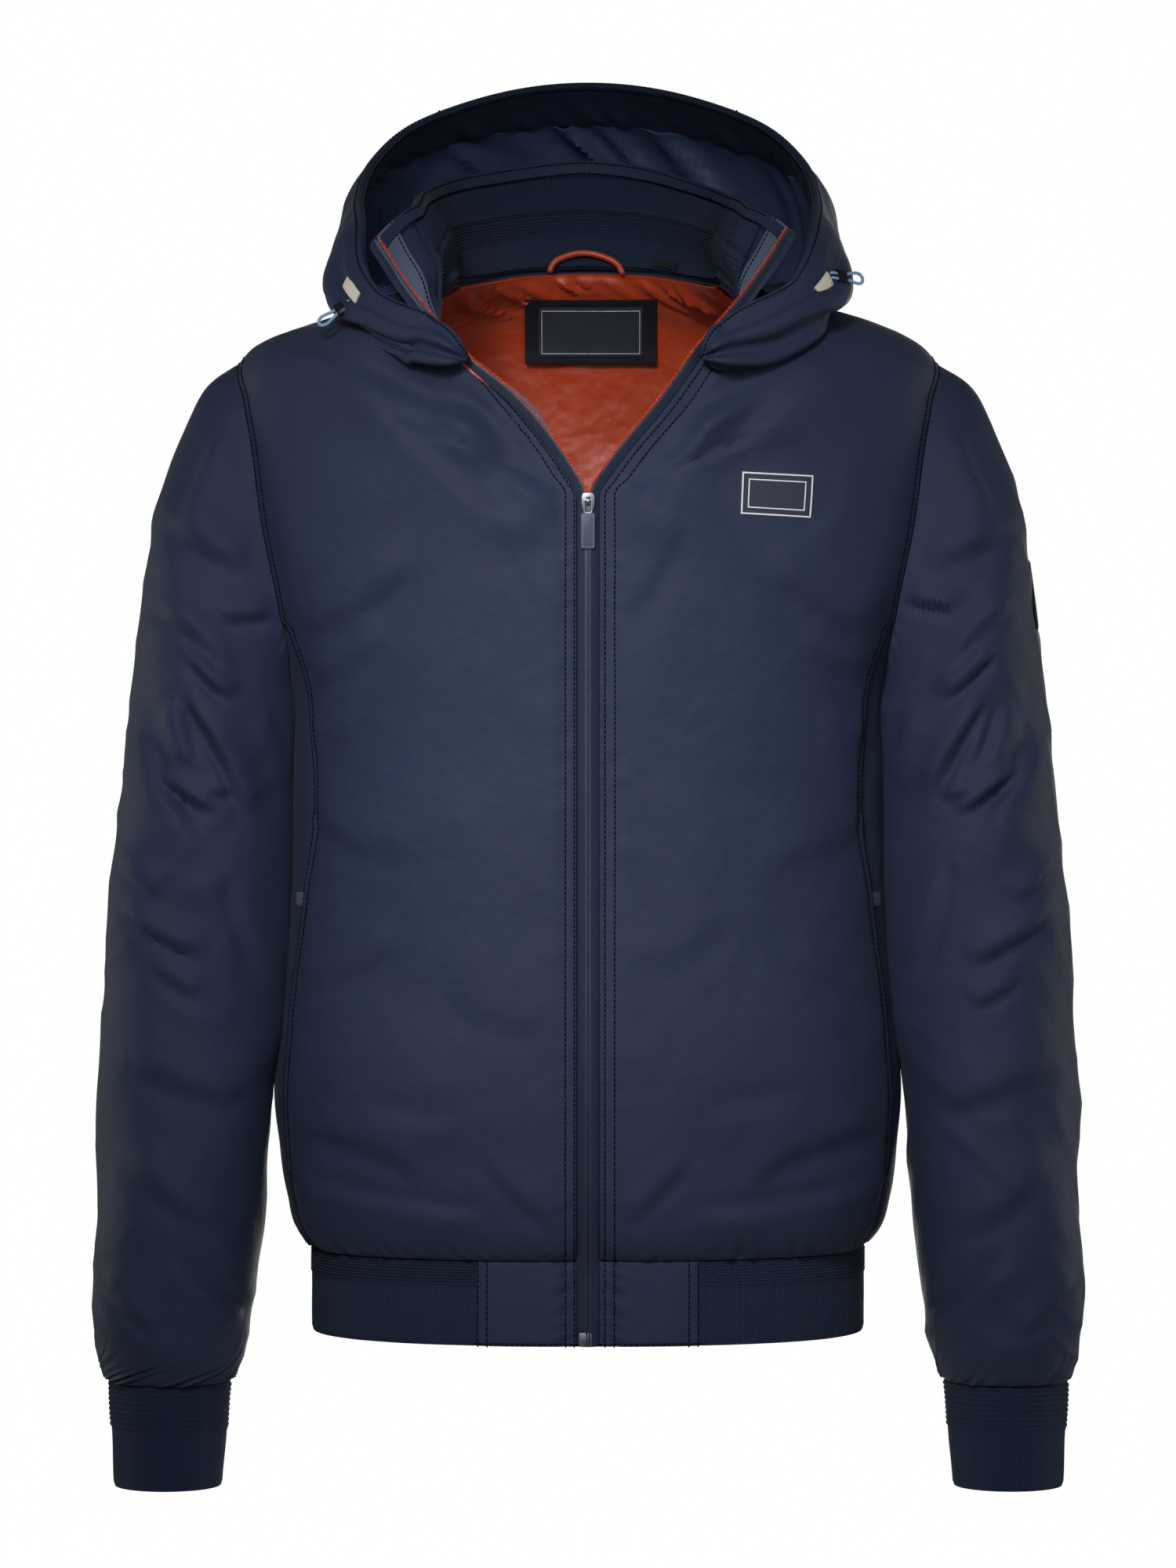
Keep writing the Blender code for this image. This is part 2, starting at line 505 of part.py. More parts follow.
def hood_points(side, place, v):
    """Hood of one side.  place runs from its front end (0) to the centre back (1) and v from the
    seam on the neck (0) round the outside to the rim (1)."""
    table = np.array(HOOD_FRONT[side] + HOOD_REST)
    sections = spline(np.linspace(0, 1, len(table)), table, place).reshape(len(place), 4, 3)
    start = HOOD_START[side]
    theta, z = neck(side, start + (2 - start) * place)
    seat = lifted(theta, z - HOOD_BASE_STEP, HOOD_LIFT)
    rest = lifted(theta, z - HOOD_BASE_STEP - HOOD_REST_DROP, HOOD_REST_LIFT)
    lines = np.concatenate((sections, rest[:, None], seat[:, None]), axis=1)
    points = np.stack([through(line[::-1], v) for line in lines], axis=1)
    points[..., 0] *= side
    return points


def hood_surface():
    """Whole hood, from the right front end round the back to the left one."""
    place = np.linspace(0, 1, HOOD_COLUMNS + 1)
    right = hood_points(1, place, HOOD_ROWS)
    left = hood_points(-1, place, HOOD_ROWS)[:, -2::-1]
    return np.concatenate((right, left), axis=1)


def band_ring(theta, z):
    """Point on the outside of the hem band and its tabs."""
    theta, z = np.broadcast_arrays(np.asarray(theta, float), np.asarray(z, float))
    power = 2 / ROUNDNESS
    s, c = np.sin(theta), np.cos(theta)
    x = BAND_HALF_WIDTH * np.sign(s) * np.abs(s) ** power
    y = np.where(c > 0, -BAND_FRONT, BAND_BACK) * np.abs(c) ** power
    return np.stack((x, y, z), axis=-1)


def band_angle(x):
    return np.arcsin((x / BAND_HALF_WIDTH) ** (ROUNDNESS / 2))


# ---- solids ---------------------------------------------------------------------------------
def material(name, colour, roughness=0.7, metallic=0.0):
    mat = bpy.data.materials.get(name) or bpy.data.materials.new(name)
    mat.use_nodes = True
    shader = mat.node_tree.nodes["Principled BSDF"]
    shader.inputs["Base Color"].default_value = (*colour, 1)
    shader.inputs["Roughness"].default_value = roughness
    shader.inputs["Metallic"].default_value = metallic
    return mat


def add_object(name, vertices, faces, mat):
    mesh = bpy.data.meshes.new(name)
    mesh.from_pydata([tuple(map(float, v)) for v in vertices], [], faces)
    mesh.update()
    mesh.materials.append(mat)
    obj = bpy.data.objects.new(name, mesh)
    bpy.context.scene.collection.objects.link(obj)
    return obj


def halves(a, b, c, d):
    """The two triangles of a face, so that every tool splits it alike."""
    return [(a, b, c), (a, c, d)]


def add_solid(name, outer, inner, mat, closed=False):
    """Closed solid between two grids of the same shape; the outer one is on the normals' side."""
    rows, columns = outer.shape[:2]
    count = rows * columns
    spans = columns if closed else columns - 1
    faces = []

    def at(r, c, layer):
        return layer * count + r * columns + c % columns

    for r in range(rows - 1):
        for c in range(spans):
            faces += halves(at(r, c, 0), at(r, c + 1, 0), at(r + 1, c + 1, 0), at(r + 1, c, 0))
            faces += halves(at(r, c, 1), at(r + 1, c, 1), at(r + 1, c + 1, 1), at(r, c + 1, 1))
    flat = outer.reshape(-1, 3) @ SEAM_ORDER

    def seam_face(p, q, outwards):
        """Two triangles of a border, split the same way on both panels of a seam."""
        (r1, c1), (r2, c2) = p, q
        a, b = at(r1, c1, 0), at(r2, c2, 0)
        a_in, b_in = a + count, b + count
        if flat[a] > flat[b]:
            split = ((a, b, b_in), (a, b_in, a_in))
        else:
            split = ((a, b, a_in), (b, b_in, a_in))
        faces.extend(split if outwards else [f[::-1] for f in split])

    last_row, last_column = rows - 1, columns - 1
    for c in range(spans):
        seam_face((0, c), (0, c + 1), False)
        seam_face((last_row, c), (last_row, c + 1), True)
    if not closed:
        for r in range(rows - 1):
            seam_face((r, 0), (r + 1, 0), True)
            seam_face((r, last_column), (r + 1, last_column), False)
    vertices = np.vstack((outer.reshape(-1, 3), inner.reshape(-1, 3)))
    return add_object(name, vertices, faces, mat)


def towards_middle(grid, closed=False):
    """For each point of a grid's border, the unit direction to the points behind it; else zero."""
    way = np.zeros_like(grid)
    share = np.zeros(grid.shape[:2])
    borders = [(0, 1, 0), (-1, -2, 0)]
    borders += [] if closed else [(0, 1, 1), (-1, -2, 1)]
    for edge, beside, axis in borders:
        step = np.take(grid, beside, axis) - np.take(grid, edge, axis)
        step /= np.linalg.norm(step, axis=-1, keepdims=True)
        place = (edge,) if axis == 0 else (slice(None), edge)
        way[place] += step
        share[place] += 1
    length = np.linalg.norm(way, axis=-1, keepdims=True)
    return way / np.where(length > 0, length, 1), np.where(share > 1, 0.5, 1.0)[..., None]


def drawn_in(grid, n, closed=False, amount=SEAM_GAP * 0.6):
    """The grid with its borders drawn back from the seam faces, which run along the normals n."""
    way, _ = towards_middle(grid, closed)
    border = np.any(way != 0, axis=-1, keepdims=True)
    way = way - normals(grid, closed)
    way = way - n * np.sum(way * n, axis=-1, keepdims=True)
    way /= np.linalg.norm(way, axis=-1, keepdims=True) + 1e-12
    return grid + np.where(border, way * amount, 0)


def shared_normals(grids):
    """Directions of the seam faces, the same for all the panels that meet at a place.

    Where two panels fold together, as at the armpit, their normals cancel, and the seam
    faces the way that both panels run.
    """
    found, total = {}, {}
    for name, (grid, closed) in grids.items():
        way, share = towards_middle(grid, closed)
        found[name] = (normals(grid, closed) + way) * share

    def places(grid):
        return map(tuple, np.round(grid.reshape(-1, 3) / WELD + 0.137).astype(int))

    for name, (grid, _) in grids.items():
        for key, n in zip(places(grid), found[name].reshape(-1, 3)):
            total.setdefault(key, []).append(n)
    for name, (grid, closed) in grids.items():
        n = np.array([sum(total[key]) for key in places(grid)]).reshape(grid.shape)
        alone = np.array([len(total[key]) == 1 for key in places(grid)]).reshape(grid.shape[:2])
        n = np.where(alone[..., None], normals(grid, closed), n)
        found[name] = n / np.linalg.norm(n, axis=-1, keepdims=True)
    return found


def layer(name, grid, mat, start, thickness, closed=False, n=None, inset=True):
    """Wall whose outer side lies `start` inside the grid's surface."""
    n = normals(grid, closed) if n is None else n
    base = drawn_in(grid, n, closed) if inset else grid
    return add_solid(name, base - n * start, base - n * (start + thickness), mat, closed)


def mirrored(grid, side):
    """The grid itself, or its mirror image with the same outside."""
    if side > 0:
        return grid
    grid = grid[:, ::-1].copy()
    grid[..., 0] *= -1
    return grid


def shell_pieces():
    """Panels of torso and sleeves: one sewn surface with shared seam faces."""
    psi = armhole_places()
    grids = {"back": (back_surface(), False)}
    for side, word in SIDES:
        turn = slice(None) if side > 0 else slice(None, None, -1)
        grids[f"front_{word}"] = (front_surface(side)[:, turn], False)
        grids[f"side_{word}"] = (side_surface(side)[:, turn], False)
        grids[f"sleeve_{word}"] = (mirrored(sleeve_rings(psi, SLEEVE_ROWS), side), True)
    directions = shared_normals(grids)
    shell = material("shell_cloth", NAVY)
    for name, (grid, closed) in grids.items():
        n = directions[name]
        base = drawn_in(grid, n, closed)
        add_solid(name, base, base - n * SHELL, shell, closed)


def collar_pieces():
    """Outer collar, knit inner collar with its ridges, and the front facings."""
    shell = material("shell_cloth", NAVY)
    outer = collar_surface(COLLAR_ROWS)
    layer("collar_outer", outer, shell, 0, SHELL)
    row = np.interp(RIB_ROWS, COLLAR_ROWS, range(len(COLLAR_ROWS)))[:, None]
    last = outer.shape[1] - 1
    column = np.r_[RIB_START, np.arange(1, last), last - RIB_START][None, :]
    n = grid_at(normals(outer), row, column)
    n /= np.linalg.norm(n, axis=-1, keepdims=True)
    base = drawn_in(grid_at(outer, row, column), n) - n * (SHELL + RIB_CLEAR)
    ridge_zone = (RIB_ROWS > RIDGE_FROM) & (RIB_ROWS < RIDGE_TO)
    raised = np.where(ridge_zone & (np.arange(len(RIB_ROWS)) % 2 == 1), RIB_RIDGE_HEIGHT, 0)
    knit = material("knit_collar", NAVY_KNIT, 0.9)
    ridged = base - n * (KNIT + raised[:, None, None])
    ridged_solid("collar_rib", ridged[:, ::-1], base[RIB_PLAIN_ROWS][:, ::-1], knit, False)
    for side, word in SIDES:
        facing_pieces(side, word)


def facing_pieces(side, word):
    """Strips inside the front edge: one up the V of the panel, one up the collar."""
    cloth = material("facing_cloth", GREY_NAVY)
    turn = slice(None) if side > 0 else slice(None, None, -1)
    panel, stand = front_surface(side)[:, turn], collar_surface(COLLAR_ROWS)
    for name, grid, first in ((f"front_facing_{word}", panel, FACING_ROW),
                              (f"collar_facing_{word}", stand, 0)):
        last = len(grid) - 1
        turn_rows = np.linspace(last - 1, last - FACING_SHORT, FACING_TURN_ROWS + 1)
        rows = np.r_[first:last - 1, turn_rows][:, None]
        edge, beside = (0, 1) if side > 0 else (-1, -2)
        spacing = np.linalg.norm(grid[:, edge] - grid[:, beside], axis=-1)
        spacing = np.interp(rows[:, 0], range(len(grid)), spacing)
        reach = np.array((FACING_MARGIN, FACING_WIDTH / 2, FACING_WIDTH))[None, :] / spacing[:, None]
        columns = reach if side > 0 else (grid.shape[1] - 1 - reach)[:, ::-1]
        n = grid_at(normals(grid), rows, columns)
        base = grid_at(grid, rows, columns)
        base = base + towards_middle(base)[0] * FACING_MARGIN
        layer(name, base, cloth, SHELL + FACING_CLEAR, FACING, n=n, inset=False)


def ridged_solid(name, ridged, plain, mat, closed):
    """Closed solid with many rows on the normals' side and few on its plain other side."""
    rows, columns = ridged.shape[:2]
    spans = columns if closed else columns - 1
    first, last = rows * columns, (rows + len(plain) - 1) * columns
    faces = []
    for c in range(spans):
        d = (c + 1) % columns
        for low in range(0, first - columns, columns):
            faces += halves(low + c, low + d, low + columns + d, low + columns + c)
        for low in range(first, last, columns):
            faces += halves(low + d, low + c, low + columns + c, low + columns + d)
        faces.append((c, first + c, first + d, d))
        faces.append((first - columns + c, first - columns + d, last + d, last + c))
    if not closed:
        near = [*range(0, first, columns), *range(last, first - 1, -columns)]
        far = [place + columns - 1 for place in near]
        faces += [tuple(near), tuple(far[::-1])]
    vertices = np.vstack((ridged.reshape(-1, 3), plain.reshape(-1, 3)))
    return add_object(name, vertices, faces, mat)


def cuff_pieces():
    """Knit cuffs: raised ridges round the upper half, over a plain inside."""
    knit = material("knit_cuff", NAVY_KNIT, 0.9)
    ridges = np.linspace(CUFF_RIDGE_TOP_Z, CUFF_RIDGE_BOTTOM_Z, 2 * CUFF_RIDGES + 1)
    heights = np.r_[CUFF_TOP_Z - SEAM_GAP, ridges, CUFF_BOTTOM_Z][::-1]
    raised = np.zeros(len(heights))
    raised[2:-1:2] = CUFF_RIDGE_HEIGHT
    share = (heights - CUFF_TOP_Z) / (CUFF_BOTTOM_Z - CUFF_TOP_Z)
    centre_x = CUFF_X_TOP + (CUFF_X_BOTTOM - CUFF_X_TOP) * share
    radius = CUFF_R_TOP + (CUFF_R_BOTTOM - CUFF_R_TOP) * share
    turn = np.linspace(0, 2 * pi, CUFF_SIDES, endpoint=False)

    def ring(extra, rows):
        r = (radius + extra)[rows, None]
        z = np.broadcast_to(heights[rows, None], (len(r), CUFF_SIDES))
        return np.stack((centre_x[rows, None] + r * np.cos(turn), CUFF_Y + r * np.sin(turn), z), axis=-1)

    for side, word in SIDES:
        outer = mirrored(ring(raised, slice(None)), side)
        inner = mirrored(ring(-KNIT, slice(0, None, len(heights) - 1)), side)
        ridged_solid(f"cuff_{word}", outer, inner, knit, True)


def hem_pieces():
    """Knit band from tab to tab round the back, and a shell cloth tab each side of the zip."""
    knit = material("knit_hem", NAVY_KNIT, 0.9)
    shell = material("shell_cloth", NAVY)
    top = HEM_TOP - SEAM_GAP
    start = float(band_angle(TAB_EDGE))
    ridges = np.linspace(top - 0.002, top - 0.017, 2 * HEM_RIDGES + 1)
    heights = np.r_[top, ridges, HEM_BOTTOM][::-1]
    raised = np.zeros(len(heights))
    raised[2:-1:2] = HEM_RIDGE_HEIGHT
    theta = np.linspace(start, 2 * pi - start, HEM_COLUMNS + 1)
    grid = band_ring(theta[None, :], heights[:, None])
    n = normals(grid)
    base = drawn_in(grid, n)
    inner = (base - n * KNIT)[::len(heights) - 1]
    ridged_solid("hem_rib", base + n * raised[:, None, None], inner, knit, False)
    first = float(band_angle(CENTRE_EDGE))
    for side, word in SIDES:
        tab = band_ring(np.linspace(first, start, 6)[None, :], np.linspace(HEM_BOTTOM, top, 4)[:, None])
        layer(f"hem_tab_{word}", mirrored(tab, side), shell, 0, SHELL)


def zip_edge(side):
    """Front edge of panel, tab and collar, from the hem to the collar corner, and its neighbours."""
    first, beside = band_angle(CENTRE_EDGE), band_angle(CENTRE_EDGE + 0.01)
    low = np.array((HEM_BOTTOM, (HEM_BOTTOM + HEM_TOP) / 2, HEM_TOP - 0.004))
    grid = front_surface(side)
    stand = collar_surface(np.linspace(0, 1, 6))[1:]
    stand_edge, stand_next = (stand[:, 0], stand[:, 1]) if side > 0 else (stand[:, -1], stand[:, -2])
    flip = np.array((side, 1, 1))
    edge = np.vstack((band_ring(first, low) * flip, grid[:, 0], stand_edge))
    near = np.vstack((band_ring(beside, low) * flip, grid[:, 1], stand_next))
    return edge, near


def zip_tape(side):
    """Tape grid: first column beside the panels' edge, second one at the teeth."""
    edge, near = zip_edge(side)
    along = np.gradient(edge, axis=0)
    along /= np.linalg.norm(along, axis=1, keepdims=True)
    away = edge - near
    away -= along * np.sum(along * away, axis=1, keepdims=True)
    away /= np.linalg.norm(away, axis=1, keepdims=True)
    return np.stack((edge + away * (TAPE_WIDTH + SEAM_GAP), edge + away * SEAM_GAP), axis=1)


def zip_pieces():
    """Tapes along the whole front edge, slider with its bridge, pull tab and retaining box."""
    tape_cloth = material("zip_tape", GREY_NAVY, 0.45)
    metal = material("zip_slider", BLACK, 0.35, 0.6)
    for side, word in SIDES:
        grid = zip_tape(side)
        layer(f"zip_tape_{word}", grid if side > 0 else grid[:, ::-1], tape_cloth, 0.0006, 0.0013,
              inset=False)
    width, height, depth = SLIDER
    tops = body(0.0, SLIDER_Z + np.array((-0.5, 0.5)) * height)[:, 1]
    back = float(np.min(tops)) + 0.0003
    face = back - depth
    outline = [(-0.32, -0.5), (0.32, -0.5), (0.5, -0.1), (0.5, 0.3), (0.3, 0.5), (-0.3, 0.5),
               (-0.5, 0.3), (-0.5, -0.1)]
    shield = [(x * width, SLIDER_Z + z * height) for x, z in outline]
    slider = extruded("zip_slider", shield, face, back, metal)
    axis_y = face - PULL_AXIS_LIFT
    low, high = -0.0040, 0.0024
    opening = 0.0013
    arch = [(low, -0.0004), (low, BRIDGE_HEIGHT), (high, BRIDGE_HEIGHT), (high, -0.0004),
            (opening, -0.0004), (opening, BRIDGE_HEIGHT - BRIDGE_BAR),
            (-opening, BRIDGE_HEIGHT - BRIDGE_BAR), (-opening, -0.0004)]
    pull_z = SLIDER_Z + 0.0015
    bridge = extruded_x("bridge_guide", [(face - d, pull_z + z) for z, d in arch],
                        -BRIDGE_WIDTH / 2, BRIDGE_WIDTH / 2, metal)
    bridge.hide_render = True
    bridge.display_type = "WIRE"
    union = slider.modifiers.new("bridge", "BOOLEAN")
    union.operation, union.solver, union.object = "UNION", "EXACT", bridge
    pull_piece(axis_y, pull_z)
    box_width, box_height, box_depth = ZIP_BOX
    box_back = -BAND_FRONT + 0.0006 - SEAM_GAP
    x0, x1 = ZIP_BOX_X - box_width / 2, ZIP_BOX_X + box_width / 2
    z0, z1 = HEM_BOTTOM + 0.0003, HEM_BOTTOM + 0.0003 + box_height
    cut = 0.0012
    corners = [(x0 + cut, z0), (x1 - cut, z0), (x1, z0 + cut), (x1, z1 - cut), (x1 - cut, z1),
               (x0 + cut, z1), (x0, z1 - cut), (x0, z0 + cut)]
    extruded("zip_box", corners, box_back - box_depth, box_back, metal)


def pull_piece(axis_y, axis_z):
    """Pull tab with its link.  The object's origin lies on the axis that it swings round."""
    rubber = material("pull_tab", (0.02, 0.028, 0.05), 0.5)
    width, length, thick = PULL
    link_width, link_length = PULL_LINK
    top = thick / 2
    foot = -link_length - length
    corner = 0.0012
    outer = [(-link_width / 2, top), (link_width / 2, top), (link_width / 2, -link_length),
             (width / 2, -link_length - 0.0015), (width / 2, foot + corner), (width / 2 - corner, foot),
             (-width / 2 + corner, foot), (-width / 2, foot + corner),
             (-width / 2, -link_length - 0.0015), (-link_width / 2, -link_length)]
    slot_top, slot_foot = -thick / 2, -link_length + 0.0012
    h = PULL_SLOT_HALF
    mid = (slot_top + slot_foot) / 2
    inner = [(-h, slot_top), (h, slot_top), (h, mid), (h, (mid + slot_foot) / 2), (h, slot_foot + 0.0003),
             (h - 0.0005, slot_foot), (-h + 0.0005, slot_foot), (-h, slot_foot + 0.0003),
             (-h, (mid + slot_foot) / 2), (-h, mid)]
    vertices, faces = ring_plate(outer, inner, thick / 2, -thick / 2)
    vertices = [(x, y, z) for x, z, y in vertices]
    obj = add_object("pull_tab", vertices, faces, rubber)
    face_outwards(obj.data)
    obj.location = (0, axis_y, axis_z)


def extruded(name, outline, front_y, back_y, mat):
    """Prism of an (x, z) outline, anticlockwise seen from the front, between two depths."""
    return prism(name, [(x, front_y, z) for x, z in outline], [(x, back_y, z) for x, z in outline], mat)


def extruded_x(name, outline, x0, x1, mat):
    """Prism of a (y, z) outline between two places across."""
    return prism(name, [(x0, y, z) for y, z in outline], [(x1, y, z) for y, z in outline], mat)


def prism(name, near, far, mat):
    count = len(near)
    faces = [tuple(range(count)), tuple(range(2 * count - 1, count - 1, -1))]
    faces += [((i + 1) % count, i, count + i, count + (i + 1) % count) for i in range(count)]
    obj = add_object(name, near + far, faces, mat)
    face_outwards(obj.data)
    return obj


def face_outwards(mesh):
    bm = bmesh.new()
    bm.from_mesh(mesh)
    bmesh.ops.recalc_face_normals(bm, faces=bm.faces)
    bm.to_mesh(mesh)
    bm.free()


def on_front(x, z):
    """Point of the front surface at a distance from the centre and a height."""
    return body(theta_at(x, z), z)


def rectangle(place, size, tilt=0.0, columns=4, rows=3):
    """Grid of (x, z) positions of a tilted rectangle."""
    u = (np.linspace(-0.5, 0.5, columns + 1) * size[0])[None, :]
    v = (np.linspace(-0.5, 0.5, rows + 1) * size[1])[:, None]
    x = place[0] + u * cos(tilt) - v * sin(tilt)
    z = place[1] + u * sin(tilt) + v * cos(tilt)
    return x, z


def on_top(name, grid, mat, thickness, gap=LAYER_GAP):
    """Plate that lies on the outside of the grid's surface."""
    return layer(name, grid, mat, -(gap + thickness), thickness, inset=False)


def front_trim():
    """Pocket welts, side tabs and the chest badge, each lying on its panel."""
    shell = material("shell_cloth", NAVY)
    glossy = material("side_tab", BLACK, 0.25)
    for side, word in SIDES:
        z = np.linspace(WELT_FOOT, WELT_TOP, 12)[:, None]
        seam = np.radians(spline(SIDE_SEAM[:, 0], SIDE_SEAM[:, 1], z))
        turn = np.linspace(-WELT_ANGLE, 0, 3)[None, :]
        welt = body(seam + turn, np.broadcast_to(z, (12, 3)))
        on_top(f"pocket_welt_{word}", mirrored(welt, side), shell, WELT_THICK, PATCH_GAP)
        z = np.linspace(SIDE_TAB_Z - 0.0043, SIDE_TAB_Z + 0.0043, 3)[:, None]
        seam = np.radians(spline(SIDE_SEAM[:, 0], SIDE_SEAM[:, 1], z))
        tab = body(seam + np.linspace(0.02, 0.10, 3)[None, :], np.broadcast_to(z, (3, 3)))
        on_top(f"side_tab_{word}", mirrored(tab, side), glossy, 0.0010)
    x, z = rectangle(CHEST_BADGE_PLACE, CHEST_BADGE, CHEST_BADGE_TILT)
    badge = material("chest_badge", (0.02, 0.025, 0.045), 0.5)
    on_top("chest_badge", on_front(x, z), badge, CHEST_BADGE[2], 0.0004)


def sleeve_patch():
    """Patch on the outer side of the wearer's left sleeve, parallel to the sleeve's own facets."""
    psi = armhole_places()
    rings = sleeve_rings(psi, SLEEVE_ROWS)
    n = normals(rings, True)
    middle = 2
    rings, n = (np.roll(grid, middle, axis=1)[:, :2 * middle + 1] for grid in (rings, n))
    rows = np.linspace(*SLEEVE_PATCH_ROWS, 4)[:, None]
    columns = middle + np.r_[SLEEVE_PATCH_COLUMNS[0], 0, SLEEVE_PATCH_COLUMNS[1]][None, :]
    grid, way = grid_at(rings, rows, columns), grid_at(n, rows, columns)
    badge = material("chest_badge", (0.02, 0.025, 0.045), 0.5)
    layer("sleeve_patch", grid, badge, -(SLEEVE_PATCH_THICK + PATCH_GAP), SLEEVE_PATCH_THICK, n=way,
          inset=False)


def rope(name, points, radius, mat):
    """Round cord through the points, with closed ends."""
    curve = bpy.data.curves.new(name, "CURVE")
    curve.dimensions = "3D"
    line = curve.splines.new("POLY")
    line.points.add(len(points) - 1)
    for point, place in zip(line.points, points):
        point.co = (*map(float, place), 1)
    curve.bevel_depth = radius
    curve.bevel_resolution = 2
    curve.use_fill_caps = True
    curve.materials.append(mat)
    obj = bpy.data.objects.new(name, curve)
    bpy.context.scene.collection.objects.link(obj)


def ring_plate(outer, inner, near, far):
    """Vertices and faces of a plate with a hole, between two offsets along its third axis."""
    count = len(outer)
    vertices = [(x, z, level) for level in (near, far) for loop in (outer, inner) for x, z in loop]
    faces = []
    for i in range(count):
        j = (i + 1) % count
        near_out, near_in, far_out, far_in = (k * count for k in range(4))
        faces.append((near_out + j, near_out + i, near_in + i, near_in + j))
        faces.append((far_out + i, far_out + j, far_in + j, far_in + i))
        faces.append((near_out + i, near_out + j, far_out + j, far_out + i))
        faces.append((near_in + j, near_in + i, far_in + i, far_in + j))
    return vertices, faces


def unit(v):
    return v / np.linalg.norm(v)


def cord_pieces():
    """Patch on each hood lobe, the drawcord's loop that comes out of it, and its stopper."""
    cream = material("cord_patch", CREAM, 0.6)
    cord = material("cord", PALE_BLUE, 0.8)
    plastic = material("cord_stopper", BLACK, 0.4)
    whole = hood_surface()
    n = normals(whole)
    span_rows, span_columns = CORD_PATCH_SPAN
    for side, word in SIDES:
        row, column = CORD_PATCH[side]
        rows = np.linspace(row - span_rows, row + span_rows, 3)[:, None]
        columns = np.linspace(column - span_columns, column + span_columns, 4)[None, :]
        layer(f"cord_patch_{word}", grid_at(whole, rows, columns), cream,
              -(CORD_PATCH_THICK + PATCH_GAP), CORD_PATCH_THICK, n=grid_at(n, rows, columns), inset=False)
        place, up = grid_at(whole, *CORD_EXIT[side]), unit(grid_at(n, *CORD_EXIT[side]))
        aim = np.array(CORD_AIM[side])
        along = unit(aim - up * np.dot(aim, up))
        across = np.cross(up, along)
        axis = along * cos(CORD_LEAN) + up * sin(CORD_LEAN)
        rise = np.cross(axis, across)
        start = place + up * CORD_HEIGHT
        half = np.array(CORD_LOOP)
        loop = np.vstack((half, half[-2::-1] * (1, -1)))
        line = through(start + loop[:, :1] * axis + loop[:, 1:] * across, np.linspace(0, 1, CORD_POINTS))
        rope(f"drawcord_{word}", line, CORD_RADIUS, cord)
        outer, slot = box_outline(STOPPER_OUTER, 0.0014), box_outline(STOPPER_SLOT, 0.0003)
        vertices, faces = ring_plate(outer, slot, STOPPER_FOOT, STOPPER_FOOT + STOPPER_LENGTH)
        vertices = [start + x * across + z * rise + d * axis for x, z, d in vertices]
        face_outwards(add_object(f"cord_stopper_{word}", vertices, faces, plastic).data)


def box_outline(size, corner):
    """Rectangle with cut corners, anticlockwise."""
    x, z = size[0] / 2, size[1] / 2
    return [(x, -z + corner), (x, z - corner), (x - corner, z), (-x + corner, z),
            (-x, z - corner), (-x, -z + corner), (-x + corner, -z), (x - corner, -z)]


def lining_grid(x, z, depth):
    """Inner side of the back at a distance from the centre and a height, moved in by a depth."""
    half, _, back = np.moveaxis(spline(TORSO[:, 0], TORSO[:, 1:], z), -1, 0)
    y = (back - depth) * (1 - np.abs(x / half) ** ROUNDNESS) ** (1 / ROUNDNESS)
    return np.stack((x, y, z), axis=-1)


def lining_pieces():
    """Orange yoke gathered on the neck seam, hanger loop, neck label and size tab."""
    silk = material("lining_orange", ORANGE, 0.35)
    back = back_surface()
    rows = slice(YOKE_ROW, None)
    columns = slice(YOKE_COLUMN, -YOKE_COLUMN)
    grid, n = back[rows, columns], normals(back)[rows, columns]
    base = drawn_in(grid, n, amount=YOKE_MARGIN) - n * (SHELL + RIB_CLEAR)
    add_solid("lining_yoke", base, base - n * LINING, silk)
    dark = material("neck_label", BLACK, 0.8)
    woven = material("label_badge", (0.03, 0.035, 0.045), 0.7)
    for name, size, mat, start in (("neck_label", NECK_LABEL, dark, 0.0),
                                   ("label_badge", LABEL_BADGE, woven, NECK_LABEL[2] + LABEL_GAP)):
        x, z = rectangle(NECK_LABEL_PLACE, size, 0.0, 8, 4)
        layer(name, lining_grid(x, z, LABEL_CLEAR)[:, ::-1], mat, start, size[2], inset=False)
    rope("hanger_loop", through(HANGER, np.linspace(0, 1, 11)), HANGER_RADIUS, silk)
    stand = collar_surface(np.linspace(SIZE_TAB_FOOT, SIZE_TAB_TOP, 3))
    columns = slice(SIZE_TAB_COLUMNS[0], SIZE_TAB_COLUMNS[1])
    whole, n = (grid[:, columns] for grid in (stand, normals(stand)))
    layer("size_tab", whole, dark, SHELL + RIB_CLEAR + KNIT + 0.0007, SIZE_TAB_THICK, n=n, inset=False)


